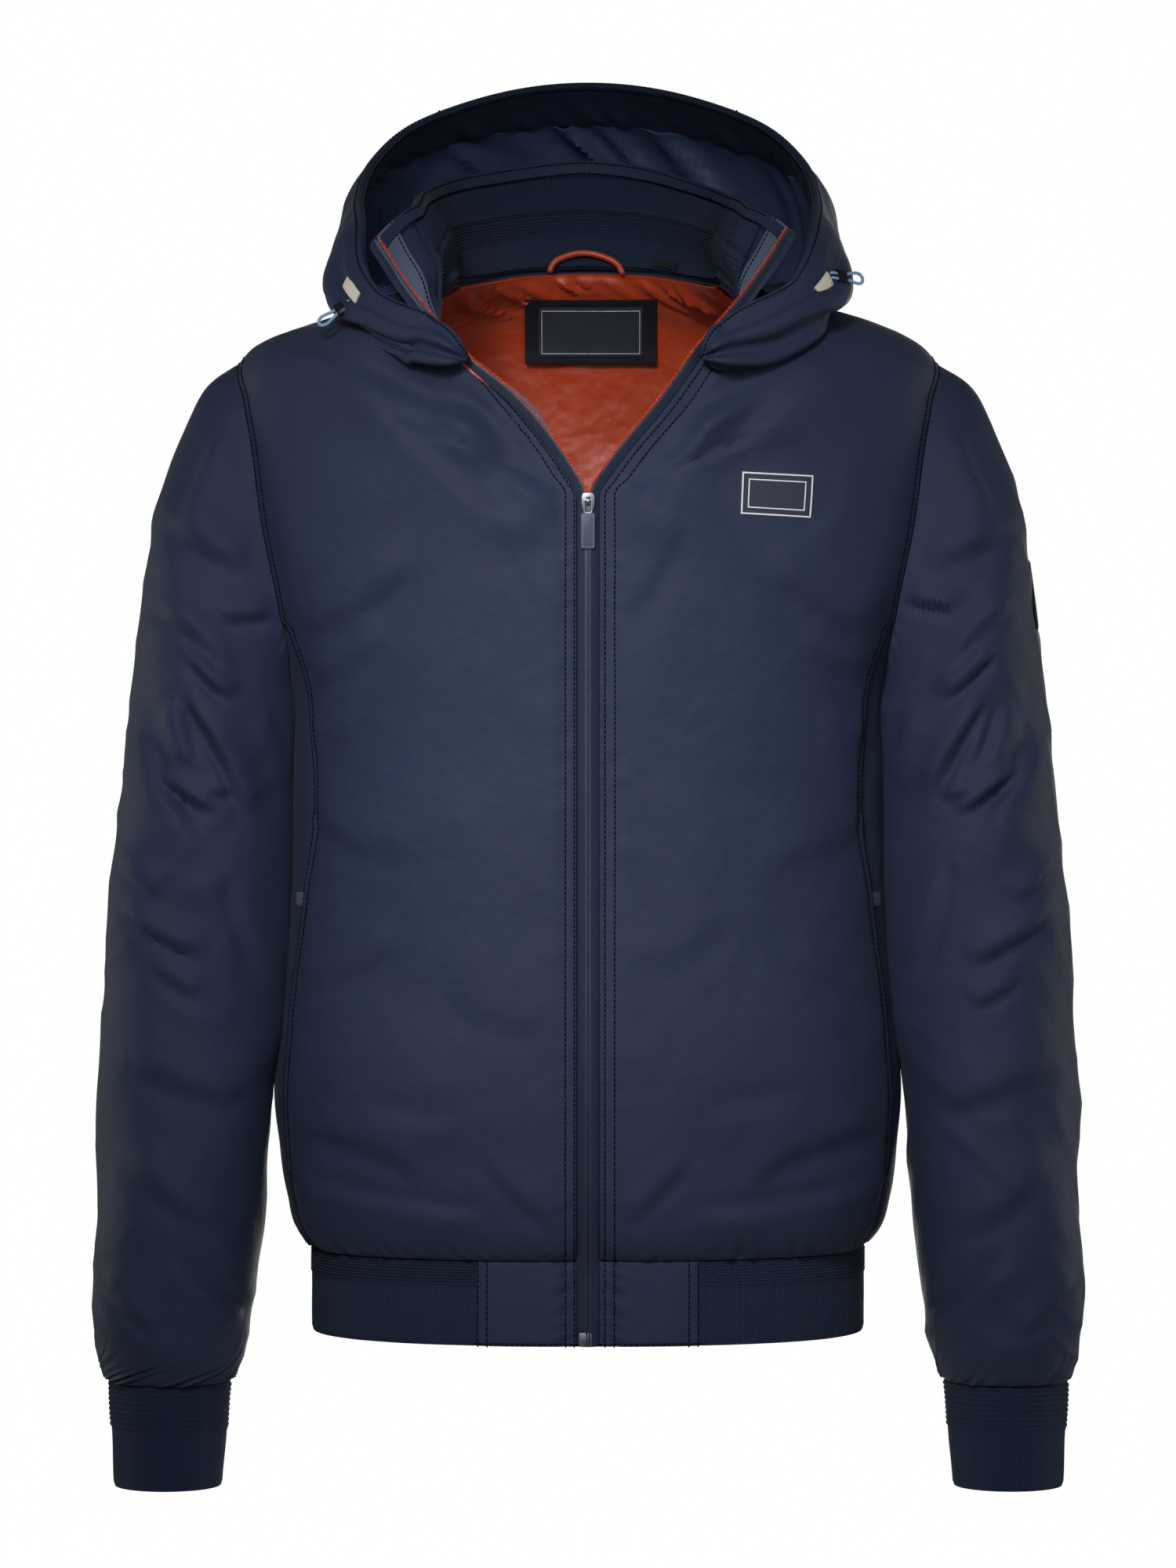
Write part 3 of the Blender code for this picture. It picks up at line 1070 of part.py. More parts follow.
def hood_pieces():
    """Hood sides and centre strip, facing band inside the rim, and the lining in three pieces."""
    shell = material("shell_cloth", NAVY)
    lining = material("hood_lining", NAVY_LINING, 0.3)
    whole = hood_surface()
    last = whole.shape[1] - 1
    cut = HOOD_SIDE_COLUMNS
    parts = {"left": (0, cut), "centre": (cut, last - cut), "right": (last - cut, last)}
    facing_row = len(HOOD_ROWS) - 1 - HOOD_FACING_ROWS

    n = normals(whole)
    for word, (first, end) in parts.items():
        columns = slice(first, end + 1)
        layer(f"hood_{word}", whole[:, columns], shell, 0, SHELL, n=n[:, columns])
        columns = slice(max(first, HOOD_LINING_SKIP), min(end, last - HOOD_LINING_SKIP) + 1)
        rows = slice(0, facing_row + 1)
        layer(f"hood_lining_{word}", whole[rows, columns], lining, HOOD_LINING_DEPTH, FACING,
              n=n[rows, columns])
    rows, columns = slice(facing_row, None), slice(1, -1)
    layer("hood_facing", whole[rows, columns], shell, HOOD_LINING_DEPTH, FACING, n=n[rows, columns])


def clear_scene():
    for obj in list(bpy.data.objects):
        bpy.data.objects.remove(obj, do_unlink=True)


def main():
    clear_scene()
    shell_pieces()
    collar_pieces()
    cuff_pieces()
    hem_pieces()
    zip_pieces()
    front_trim()
    sleeve_patch()
    lining_pieces()
    hood_pieces()
    cord_pieces()


main()
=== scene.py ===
"""Hooded padded jacket in its worn, hollow form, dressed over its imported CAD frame.

Every sewn piece of the frame gets a fine wall of cloth with its seams, creases and finish.
Metres, +Z up; the front faces -Y and the wearer's left is +X.
"""
from math import cos, pi, radians, sin

import bmesh
import bpy
import numpy as np
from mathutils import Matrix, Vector


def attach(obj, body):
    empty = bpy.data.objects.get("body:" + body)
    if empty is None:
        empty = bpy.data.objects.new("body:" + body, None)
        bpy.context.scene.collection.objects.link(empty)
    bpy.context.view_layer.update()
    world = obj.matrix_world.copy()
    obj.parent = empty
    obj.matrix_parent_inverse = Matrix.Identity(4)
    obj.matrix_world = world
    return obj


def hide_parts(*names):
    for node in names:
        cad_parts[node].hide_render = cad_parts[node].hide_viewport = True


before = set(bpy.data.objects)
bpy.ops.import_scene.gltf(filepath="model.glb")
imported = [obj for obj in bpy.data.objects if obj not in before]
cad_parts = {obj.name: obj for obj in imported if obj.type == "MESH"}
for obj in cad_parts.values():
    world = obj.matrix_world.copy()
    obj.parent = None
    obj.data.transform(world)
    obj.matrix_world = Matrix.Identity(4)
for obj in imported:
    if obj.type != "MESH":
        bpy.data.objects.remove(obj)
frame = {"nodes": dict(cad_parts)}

bl_info = {
    "name": "Hooded padded jacket",
    "version": (1, 0, 0),
    "blender": (4, 5, 0),
    "location": "3D View > Sidebar > Jacket",
    "description": "Dresses the frame of a hooded padded jacket in cloth, knit, zip and cords",
    "category": "Object",
}

# ---- photograph and camera -------------------------------------------------------------------
PHOTO_WIDTH, PHOTO_HEIGHT = 1500, 2000
PIXEL = 0.0005               # metres for each pixel in the plane of the shoulders
CAMERA_DISTANCE, EYE_Z = 3.0, -0.29
LENS, SENSOR = 108.0, 36.0   # millimetres

# ---- sizes shared with the frame -------------------------------------------------------------
SHELL = 0.0025            # padded shell cloth
KNIT = 0.0022             # rib knit
FACING = 0.0014           # facings and hood lining
LINING = 0.0012           # orange yoke
SEAM_GAP = 0.0003         # between neighbouring pieces
ROUNDNESS = 2.5           # power of the superellipse of every torso section

HEM_TOP = -0.5815         # seam between the blouse and the hem band
HEM_BOTTOM = -0.635
ARMHOLE_CENTRE_Z = -0.128
ARMHOLE_HALF_HEIGHT = 0.104
ARMHOLE_HALF_ANGLE = radians(26)
SIDE_JOIN = radians(119.8)   # place on the armhole where the front and side panels meet
TAPE_WIDTH = 0.0069
CENTRE_EDGE = 0.0073         # front panel edge beside the zip tape
COLLAR_BULGE = 0.004

# Torso sections in millimetres: height, half width, depth of the front, depth of the back.
TORSO = np.array((
    (-635, 174.5, 115, 107),
    (-582, 176.5, 117, 109),
    (-570, 185, 124, 115),
    (-550, 190.5, 129, 119),
    (-515, 195.5, 131, 120),
    (-480, 198.5, 132, 121),
    (-440, 195.5, 131, 120),
    (-380, 189.5, 129, 119),
    (-300, 188, 127.5, 117),
    (-235, 189, 127, 116),
    (-187.5, 205, 127, 116),
    (-125, 222, 124.5, 116),
    (-80, 226.5, 119, 114),
    (-50, 226.5, 115, 112),
    (-24, 221.5, 110, 108),
    (-15, 212.5, 105.5, 106),
    (-2.5, 185, 97, 103),
    (7.5, 155, 88, 99),
    (20, 112, 72, 93),
    (30, 86, 56, 86),
    (45, 66, 40, 76),
)) / 1000
# Seam between front and side panels: height, angle from the centre front in degrees.
SIDE_SEAM = np.array((
    (-0.582, 72.0), (-0.53, 72.0), (-0.46, 69.0), (-0.407, 69.0),
    (-0.35, 66.0), (-0.308, 62.5), (-0.2385, 63.5), (-0.1875, 64.6),
))
# Front edge above the slider, each side: height, distance from the centre.
V_EDGE = {
    1: np.array(((-0.112, 0.0073), (-0.0888, 0.0241), (-0.0592, 0.0484), (-0.024, 0.0732))),
    -1: np.array(((-0.112, 0.0073), (-0.0794, 0.029), (-0.0521, 0.0533), (-0.034, 0.0765))),
}
# Neck seam: angle from the centre front in degrees, height.  Its front end is the V edge's top.
NECK = np.array((
    (24.0, -0.004), (34.0, 0.009), (50.0, 0.022), (90.0, 0.03),
    (120.0, 0.037), (150.0, 0.043), (180.0, 0.045),
))
# Collar's top edge from the right front corner round the back to the left one, in millimetres.
COLLAR_TOP = np.array((
    (128.5, -87, 50), (129, -45, 66), (112, 8, 80),
    (78, 60, 99), (40, 90, 114), (0, 100, 119.5),
    (-48, 91, 114), (-88, 62, 103), (-118, 12, 86),
    (-133, -43, 68), (-135, -90, 43),
)) / 1000
# Sleeve in millimetres: outer line and inner line, each from the armhole to the cuff seam, then
# depth and forward shift of the section there.
SLEEVE = np.array((
    # outer x, outer z, inner x, inner z, half depth, centre y
    (221.5, -24, 189, -232, 68, 0),
    (242.5, -40, 190.5, -240, 70, -0.5),
    (255.5, -65, 191, -248, 72, -1),
    (266, -95, 191.5, -256, 74, -2),
    (276.5, -140, 192, -268, 75, -3),
    (286, -195, 192.5, -290, 75, -4),
    (291.5, -250, 193, -315, 74.5, -6),
    (295.5, -300, 193.5, -345, 73, -8),
    (300, -360, 195, -390, 71, -11),
    (304.5, -430, 199, -445, 69, -15),
    (308.5, -500, 203, -505, 66, -19),
    (310.5, -570, 208, -572, 62, -23),
    (310, -620, 213.5, -621, 57, -26),
    (308.5, -645, 218, -645, 52, -28),
    (305, -658.5, 223, -658.5, 46, -29),
    (302.5, -665.5, 225, -665.5, 40, -29.5),
)) / 1000
CUFF_TOP_Z, CUFF_BOTTOM_Z = -0.666, -0.732
CUFF_RIDGES = 9
CUFF_RIDGE_TOP_Z, CUFF_RIDGE_BOTTOM_Z = -0.667, -0.695
CUFF_RIDGE_HEIGHT = 0.001
CUFF_X_TOP, CUFF_X_BOTTOM = 0.2638, 0.265
CUFF_R_TOP, CUFF_R_BOTTOM = 0.0385, 0.0345
CUFF_Y = -0.03

# Hood sections in millimetres, from the front end to the centre back: rim, upper belly, lower
# belly, underside.
# The three front sections differ, because the collar opens wider on one side.
HOOD_FRONT = {
    1: ((90, -115, -12, 93, -118, -18,
         93, -119, -27, 90.5, -117, -34),
        (119, -102, 13, 129, -105, 3,
         131, -103, -11, 130, -97.5, -16),
        (134, -86, 37, 148, -85, 24,
         152, -83, 6, 148, -73, 3)),
    -1: ((102, -112, -10, 106, -115, -16,
          106, -116, -24, 104, -114, -29),
         (123, -96, 8, 131, -99, 1,
          132, -99, -12, 130, -97.5, -16.5),
         (139.5, -76, 34, 149, -77, 22,
          153, -77, 5, 149, -70, 3)),
}
HOOD_REST = (
    # rim x, y, z            upper x, y, z             lower x, y, z             under x, y, z
    (143, -42, 64, 158, -43, 43, 161, -44, 18, 146, -45, 11),
    (147.5, 20, 88.5, 160, 24, 56, 164, 26, 23, 148, 25, 15),
    (140, 66, 118, 156, 88, 85, 158, 96, 32, 138, 80, 12),
    (112, 103, 148, 127, 140, 116, 127, 156, 45, 108, 128, 12),
    (54, 124, 171, 63, 168, 138, 64, 186, 53, 56, 148, 12),
    (0, 130, 179, 0, 176, 145, 0, 195, 56, 0, 152, 14),
)
HOOD_REST_DROP = 0.01      # underside near the seam: how far below the neck
HOOD_REST_LIFT = 0.0045      # and how far off the panel
HOOD_BASE_STEP = 0.009      # how far below the neck seam the hood is sewn on
HOOD_LIFT = 0.0013           # clearance of its seam above the panels
HOOD_START = {1: 0.06, -1: 0.1}   # place on the neck seam where the hood is sewn on, each side
HOOD_COLUMNS = 14            # from the front end to the centre back
HOOD_SIDE_COLUMNS = 11       # of these the side piece takes
HOOD_ROWS = 1 - np.array((0, 0.065, 0.13, 0.22, 0.32, 0.42, 0.52, 0.62, 0.72, 0.81, 0.9, 1))[::-1]
HOOD_FACING_ROWS = 2
HOOD_LINING_SKIP = 3         # columns at each front end that stay unlined
HOOD_LINING_DEPTH = SHELL + 0.0006

BAND_HALF_WIDTH, BAND_FRONT, BAND_BACK = 0.1755, 0.116, 0.1075
TAB_EDGE = 0.069            # the hem tab ends and the rib band begins
FACING_WIDTH = 0.0185        # of the strips inside the front edge
RIB_START = 0.56             # column of the collar where the knit begins, beside the facing
RIB_RIDGES = 9
RIB_RIDGE_HEIGHT = 0.0006

# Small parts: width, height, thickness.
CHEST_BADGE = (0.0447, 0.0279, 0.0012)
CHEST_BADGE_PLACE = (0.1152, -0.1126)
CHEST_BADGE_TILT = radians(-2.5)
NECK_LABEL = (0.0864, 0.0404, 0.0008)
NECK_LABEL_PLACE = (0.0018, 0.0065)
LABEL_BADGE = (0.0683, 0.031, 0.0008)
LABEL_GAP = 0.0006
SIZE_TAB_COLUMNS, SIZE_TAB_FOOT, SIZE_TAB_TOP, SIZE_TAB_THICK = (8, 10), 0.03, 0.12, 0.0006
SLEEVE_PATCH_ROWS, SLEEVE_PATCH_COLUMNS, SLEEVE_PATCH_THICK = (5.0, 5.9), (-0.75, 0.75), 0.0012
HANGER_RADIUS = 0.002
HANGER = ((-0.025, 0.0668, 0.0445), (-0.0225, 0.0678, 0.0495), (-0.014, 0.0694, 0.0545),
          (-0.0026, 0.0704, 0.0565), (0.01, 0.0696, 0.054), (0.0195, 0.068, 0.0485),
          (0.0225, 0.0668, 0.043))
SLIDER_Z = -0.118
SLIDER = (0.0086, 0.0125, 0.0032)
BRIDGE_HEIGHT, BRIDGE_BAR, BRIDGE_WIDTH = 0.003, 0.0008, 0.0024
PULL = (0.0087, 0.0215, 0.0013)
PULL_LINK = (0.0058, 0.0085)
PULL_SLOT_HALF = 0.0018
PULL_AXIS_LIFT = 0.0011      # axis of the pull above the slider's face
ZIP_BOX = (0.0082, 0.0083, 0.0022)
ZIP_BOX_X = -0.0017
CORD_RADIUS = 0.001
# Hood grid row and column of each cord patch's middle and of the place where its cord leaves.
CORD_PATCH = {1: (8.2, 3.1), -1: (8.6, 24.9)}
CORD_PATCH_SPAN = (0.45, 0.45)     # rows and columns to each side
CORD_PATCH_THICK = 0.0015
PATCH_GAP = 0.0006           # under what lies on a curved panel
CORD_EXIT = {1: (8.2, 3.66), -1: (7.92, 25.1)}
CORD_AIM = {1: (0.97, -0.05, 0.2), -1: (-0.85, -0.1, -0.5)}
CORD_LEAN = radians(22)      # how far the cord stands off the hood
CORD_HEIGHT = 0.0015         # middle of the cord above the hood where it leaves
# Half of the cord's loop in millimetres: distance along its axis, distance to the side.
CORD_LOOP = ((0, 1.8), (4, 1.8), (8, 1.8), (11, 1.9),
             (14, 2.6), (17, 3.5), (20, 3.7), (22.2, 2.6), (23.2, 0))
CORD_POINTS = 19
STOPPER_FOOT, STOPPER_LENGTH = 0.0042, 0.0062
STOPPER_OUTER, STOPPER_SLOT = (0.0094, 0.0052), (0.0062, 0.0026)

# Large soft folds.  Torso: angle in degrees, height, half widths in degrees and metres, slope in
# metres for each radian, rise.  Sleeve: turn in degrees from the outer line to the front, share of
# the length, half widths of both, slope for each radian, rise.
BODY_FOLDS = np.array((
    (52.0, -0.245, 20.0, 0.022, -0.06, 0.0035),
    (50.0, -0.31, 22.0, 0.02, -0.07, -0.003),
    (40.0, -0.46, 22.0, 0.03, 0.05, 0.003),
    (30.0, -0.1, 12.0, 0.024, -0.1, 0.003),
    (128.0, -0.245, 20.0, 0.022, 0.06, 0.0035),
    (132.0, -0.315, 22.0, 0.02, 0.07, -0.003),
    (140.0, -0.47, 22.0, 0.03, -0.05, 0.003),
    (165.0, -0.08, 18.0, 0.03, 0.04, 0.0025),
))
SLEEVE_FOLDS = np.array((
    (55.0, 0.27, 50.0, 0.045, 0.06, 0.0045),
    (60.0, 0.39, 50.0, 0.04, 0.06, -0.004),
    (50.0, 0.52, 55.0, 0.045, -0.06, 0.0045),
    (40.0, 0.68, 55.0, 0.045, -0.07, -0.004),
    (60.0, 0.82, 60.0, 0.04, 0.05, 0.0045),
    (-50.0, 0.3, 50.0, 0.045, -0.06, 0.0045),
    (-55.0, 0.45, 50.0, 0.045, -0.05, -0.004),
    (-50.0, 0.6, 55.0, 0.045, 0.06, 0.0045),
    (-45.0, 0.76, 55.0, 0.045, 0.06, -0.004),
    (-60.0, 0.88, 60.0, 0.04, -0.05, 0.004),
))

# Grid counts shared by pieces that meet: those of the frame, each taken finer.
FINE = 8
LOW_ROWS = 10 * FINE
UP_ROWS = 7 * FINE
SIDE_COLUMNS = 4 * FINE
BACK_ARM_ROWS = 9 * FINE
NECK_COLUMNS = 6 * FINE
SHOULDER_COLUMNS = 5 * FINE
BACK_NECK_COLUMNS = 10 * FINE
SLEEVE_ROWS = 18 * FINE
COLLAR_FOOT = 0.006          # share of the collar's height that its seam gap takes
FACING_ROW = 14              # front panel row where the facing's lower end lies
RIB_CLEAR = 0.0009           # between the outer collar and the knit inside it
FACING_CLEAR = 0.0014        # between the shell and its facings
FACING_MARGIN = 0.001       # how far the facings keep from the seams
WELT_TOP, WELT_FOOT, WELT_ANGLE, WELT_THICK = -0.308, -0.533, radians(3.6), 0.0016
SIDE_TAB_Z = -0.362
YOKE_ROW, YOKE_COLUMN = 12, 5     # grid row and column of the back where the yoke begins
LABEL_CLEAR = 0.008              # depth of the labels under the back's outer surface
SIDES = ((1, "left"), (-1, "right"))


# ---- curves and surfaces of the frame --------------------------------------------------------
def spline(knots, values, at):
    """Smooth curve through values at the rising knots, read at `at`."""
    knots = np.asarray(knots, float)
    values = np.asarray(values, float)
    at = np.clip(np.asarray(at, float), knots[0], knots[-1])
    slopes = np.gradient(values, knots, axis=0)
    i = np.clip(np.searchsorted(knots, at, side="right") - 1, 0, len(knots) - 2)
    step = knots[i + 1] - knots[i]
    t = (at - knots[i]) / step
    if values.ndim > 1:
        step, t = step[..., None], t[..., None]
    a = (2 * t + 1) * (1 - t) ** 2
    b = t * (1 - t) ** 2 * step
    c = t * t * (3 - 2 * t)
    d = t * t * (t - 1) * step
    return a * values[i] + b * slopes[i] + c * values[i + 1] + d * slopes[i + 1]


def smoothstep(x):
    x = np.clip(x, 0.0, 1.0)
    return x * x * (3 - 2 * x)


def unit(v):
    return v / np.linalg.norm(v, axis=-1, keepdims=True)


def distances(points):
    """Distance of each point of a line from its first one, along the line."""
    return np.r_[0, np.cumsum(np.linalg.norm(np.diff(points, axis=0), axis=1))]


def powered(x, power=2 / ROUNDNESS):
    """Power of the size of x, with its sign."""
    return np.sign(x) * np.abs(x) ** power


def bell(distance, width, middle=0.0):
    """1 at the middle, fading out to both sides over about the width."""
    return np.exp(-((distance - middle) / width) ** 2)


def wave(along, pitch, start=0.0):
    """Sine of a distance, with that pitch."""
    return np.sin(along * 2 * pi / pitch + start)


def through(points, at):
    """Curve through 3-D points spaced by their chord lengths; `at` runs from 0 to 1."""
    points = np.asarray(points, float)
    chord = distances(points)
    return spline(chord / chord[-1], points, at)


def fold_rise(folds, across, along):
    """Sum of soft ridges and troughs; each runs slantwise and fades at its ends."""
    rise = 0.0
    for middle, place, half_across, half_along, slope, height in folds:
        u = across - radians(middle)
        v = along - place - slope * u
        rise = rise + height * np.exp(-(u / radians(half_across)) ** 2 - (v / half_along) ** 2)
    return rise


def oval(theta, half, front, back):
    """Place on a torso section, whose front and back differ in depth."""
    depth = np.where(np.cos(theta) > 0, -front, back)
    return half * powered(np.sin(theta)), depth * np.abs(np.cos(theta)) ** (2 / ROUNDNESS)


def body(theta, z):
    """Point of the torso's outer surface; theta turns from the centre front to the wearer's left."""
    theta, z = np.broadcast_arrays(np.asarray(theta, float), np.asarray(z, float))
    x, y = oval(theta, *np.moveaxis(spline(TORSO[:, 0], TORSO[:, 1:], z), -1, 0))
    rise = fold_rise(BODY_FOLDS, np.where(theta > pi, 2 * pi - theta, theta), z)
    s, c = np.sin(theta), np.cos(theta)
    return np.stack((x + rise * s * np.abs(s), y - rise * c * np.abs(c), z), axis=-1)


def theta_at(x, z):
    """Angle of the front surface at distance x from the centre."""
    half = spline(TORSO[:, 0], TORSO[:, 1], z)
    return np.arcsin(np.clip(x / half, 0, 1) ** (ROUNDNESS / 2))


def armhole(psi):
    """Angle and height on the torso: psi is 0 at the shoulder, pi/2 in front, pi at the armpit."""
    theta = pi / 2 - ARMHOLE_HALF_ANGLE * powered(np.sin(psi))
    return theta, ARMHOLE_CENTRE_Z + ARMHOLE_HALF_HEIGHT * powered(np.cos(psi))


def neck(side, t):
    """Angle and height of the neck seam: t is 0 at the V edge, 1 at the shoulder, 2 at the back."""
    edge_z, edge_x = V_EDGE[side][-1]
    start = theta_at(edge_x, edge_z)
    angles = np.r_[start, np.radians(NECK[:, 0])]
    heights = np.r_[edge_z, NECK[:, 1]]
    theta = np.where(t < 1, start + (pi / 2 - start) * t, pi / 2 * t)
    return theta, spline(angles, heights, theta)


def pairs(theta, z):
    theta, z = np.broadcast_arrays(theta, z)
    return np.stack((theta, z), axis=-1)


def patch(left, right, top, side=1, top_reach=0.45):
    """Rows and columns of a panel between its (angle, height) borders and the seam of the hem."""
    u = np.linspace(0, 1, len(top))
    bottom = pairs(left[0, 0] + (right[0, 0] - left[0, 0]) * u, np.full(len(u), HEM_TOP))
    u, v = u[None, :, None], np.linspace(0, 1, len(left))[:, None, None]
    low = bottom[None] - (1 - u) * bottom[0] - u * bottom[-1]
    high = top[None] - (1 - u) * top[0] - u * top[-1]
    rise = smoothstep((v - (1 - top_reach)) / top_reach)
    domain = (1 - u) * left[:, None] + u * right[:, None] + (1 - v) * low + rise * high
    return body(domain[..., 0], domain[..., 1]) * (side, 1, 1)


def low_heights(top):
    """Heights of the rows below the armhole, closer together over the blousing at the hem."""
    share = np.linspace(0, 1, LOW_ROWS + 1) ** 1.25
    return HEM_TOP + (top - HEM_TOP) * share


def side_seam():
    """Seam between the front and side panels, from the hem to the armhole."""
    join_theta, join_z = armhole(SIDE_JOIN)
    low_z = low_heights(float(join_z))
    seam = np.radians(spline(SIDE_SEAM[:, 0], SIDE_SEAM[:, 1], low_z))
    seam[-1] = join_theta
    return pairs(seam, low_z)


def shoulder_line():
    """Shoulder seam on the ridge, from the neck to the sleeve."""
    heights = np.linspace(NECK[3, 1], ARMHOLE_CENTRE_Z + ARMHOLE_HALF_HEIGHT, SHOULDER_COLUMNS + 1)
    return pairs(np.full(len(heights), pi / 2), heights)


def front_surface(side):
    seam = side_seam()
    right = np.vstack((seam, pairs(*armhole(np.linspace(SIDE_JOIN, 0, UP_ROWS + 1)[1:]))))
    v_edge = V_EDGE[side]
    left_z = np.r_[seam[:, 1], np.linspace(seam[-1, 1], v_edge[-1, 0], UP_ROWS + 1)[1:]]
    left_x = np.where(left_z < v_edge[0, 0], CENTRE_EDGE,
                      spline(v_edge[:, 0], v_edge[:, 1], left_z))
    left = pairs(theta_at(left_x, left_z), left_z)
    across_neck = np.linspace(0, 1, NECK_COLUMNS + 1)
    top = np.vstack((pairs(*neck(side, across_neck)), shoulder_line()[1:]))
    return patch(left, right, top, side)


def side_surface(side):
    right_z = low_heights(float(armhole(pi)[1]))
    right = pairs(np.full(len(right_z), pi / 2), right_z)
    top = pairs(*armhole(np.linspace(SIDE_JOIN, pi, SIDE_COLUMNS + 1)))
    return patch(side_seam(), right, top, side, 0.3)


def back_surface():
    low_z = low_heights(float(armhole(pi)[1]))
    low = pairs(np.full(len(low_z), pi / 2), low_z)
    psi = np.linspace(pi, 2 * pi, BACK_ARM_ROWS + 1)[1:]
    right_edge = np.vstack((low, pairs(*armhole(psi))))
    half_top = np.vstack((shoulder_line()[::-1],
                          pairs(*neck(1, np.linspace(1, 2, BACK_NECK_COLUMNS // 2 + 1)))[1:]))
    other_half = half_top[-2::-1].copy()
    left_edge = right_edge.copy()
    for border in (other_half, left_edge):
        border[:, 0] = 2 * pi - border[:, 0]
    return patch(right_edge, left_edge, np.vstack((half_top, other_half)))


def sleeve_rings(psi, rows):
    """Sleeve for the wearer's left: rings from the armhole to the cuff seam."""
    knots = np.linspace(0, 1, len(SLEEVE))
    line = spline(knots, SLEEVE, np.linspace(0, 1, rows + 1))
    outer, inner = line[:, None, 0:2], line[:, None, 2:4]
    depth, shift = line[:, None, 4], line[:, None, 5]
    c, s = powered(np.cos(psi), 0.9), powered(np.sin(psi), 0.9)
    middle = (outer + inner) / 2
    reach = (outer - inner) / 2
    xz = middle + reach * c[None, :, None]
    y = shift - depth * s[None, :]
    turned = np.where(psi > pi, psi - 2 * pi, psi)
    rise = fold_rise(SLEEVE_FOLDS, turned[None, :], np.linspace(0, 1, rows + 1)[:, None])
    xz = xz + (rise * np.cos(psi))[..., None] * unit(reach)
    y = y - rise * np.sin(psi)
    rings = np.stack((xz[..., 0], y, xz[..., 1]), axis=-1)
    hole = body(*armhole(psi))
    fade = (1 - smoothstep(np.linspace(0, rows, rows + 1) / (rows * 0.45)))[:, None, None]
    return rings + (hole - rings[0])[None] * fade


def armhole_places():
    front = np.linspace(0, SIDE_JOIN, UP_ROWS + 1)
    side = np.linspace(SIDE_JOIN, pi, SIDE_COLUMNS + 1)[1:]
    back = np.linspace(pi, 2 * pi, BACK_ARM_ROWS + 1)[1:-1]
    return np.r_[front, side, back]


def neck_loop():
    """Neck seam points from the right V edge round the back to the left V edge."""
    front = np.linspace(0, 1, NECK_COLUMNS + 1)
    back = np.linspace(1, 2, BACK_NECK_COLUMNS // 2 + 1)[1:]
    right = body(*neck(1, np.r_[front, back]))
    left = body(*neck(-1, np.r_[front, back]))[-2::-1]
    left[:, 0] *= -1
    return np.vstack((right, left))


def collar_surface(share):
    """Stand collar at shares of its height above the neck seam, a little rounded outwards."""
    base = neck_loop()
    chord = distances(base)
    top = through(COLLAR_TOP, chord / chord[-1])
    b = np.asarray(share, float)[:, None, None]
    outward = unit((top - base) * (1, 1, 0))
    return base + (top - base) * b + outward * COLLAR_BULGE * np.sin(pi * b)


def normals(grid, closed=False):
    """Unit normals of a grid of points."""
    if closed:
        along = np.roll(grid, -1, axis=1) - np.roll(grid, 1, axis=1)
    else:
        along = np.gradient(grid, axis=1)
    up = np.gradient(grid, axis=0)
    return unit(np.cross(along, up))


def lifted(theta, z, lift):
    """Point at a lift above the torso's surface."""
    at = body(theta, z)
    return at + unit(np.cross(body(theta + 0.01, z) - at, at - body(theta, z - 0.001))) * lift


def hood_points(side, place, v):
    """Hood of one side.  place runs from its front end (0) to the centre back (1) and v from the
    seam on the neck (0) round the outside to the rim (1)."""
    table = np.array(HOOD_FRONT[side] + HOOD_REST) / 1000
    sections = spline(np.linspace(0, 1, len(table)), table, place).reshape(len(place), 4, 3)
    start = HOOD_START[side]
    theta, z = neck(side, start + (2 - start) * place)
    seat = lifted(theta, z - HOOD_BASE_STEP, HOOD_LIFT)
    rest = lifted(theta, z - HOOD_BASE_STEP - HOOD_REST_DROP, HOOD_REST_LIFT)
    lines = np.concatenate((sections, rest[:, None], seat[:, None]), axis=1)
    points = np.stack([through(line[::-1], v) for line in lines], axis=1)
    points[..., 0] *= side
    return points


def band_ring(theta, z):
    """Point on the outside of the hem band and its tabs."""
    theta, z = np.broadcast_arrays(np.asarray(theta, float), np.asarray(z, float))
    return np.stack((*oval(theta, BAND_HALF_WIDTH, BAND_FRONT, BAND_BACK), z), axis=-1)


def band_angle(x):
    return np.arcsin((x / BAND_HALF_WIDTH) ** (ROUNDNESS / 2))


def mirrored(grid, side):
    """The grid itself, or its mirror image with the same outside."""
    if side > 0:
        return grid
    grid = grid[:, ::-1].copy()
    grid[..., 0] *= -1
    return grid


def smoothed(values, reach=2):
    """Values along a line, each averaged with its neighbours; both ends stay."""
    padded = np.pad(values, ((reach, reach), (0, 0)), mode="reflect", reflect_type="odd")
    return sum(padded[k:k + len(values)] for k in range(2 * reach + 1)) / (2 * reach + 1)


def front_edge(side):
    """Front edge from the hem to the collar corner, and the directions out of and off the cloth."""
    low = np.linspace(HEM_BOTTOM, HEM_TOP - 0.001, 14)
    panel = front_surface(side)[:, 0]
    stand = collar_surface(np.linspace(0.02, 1, 40))
    stand = stand[:, 0] if side > 0 else stand[:, -1]
    line = np.vstack((band_ring(band_angle(CENTRE_EDGE), low) * (side, 1, 1), panel, stand))
    steps = distances(line)
    at = np.linspace(0, steps[-1], 460)
    line = smoothed(np.stack([np.interp(at, steps, line[:, k]) for k in range(3)], axis=-1), 4)
    along = unit(np.gradient(line, axis=0))
    ahead = np.array((0.45 * side, -1.0, 0.0))          # roughly out of the cloth on panel and collar
    away = smoothed(np.cross(ahead, along) * side, 12)
    away -= along * np.sum(away * along, axis=1, keepdims=True)
    away = unit(away)
    return line, np.cross(along, away) * side, away


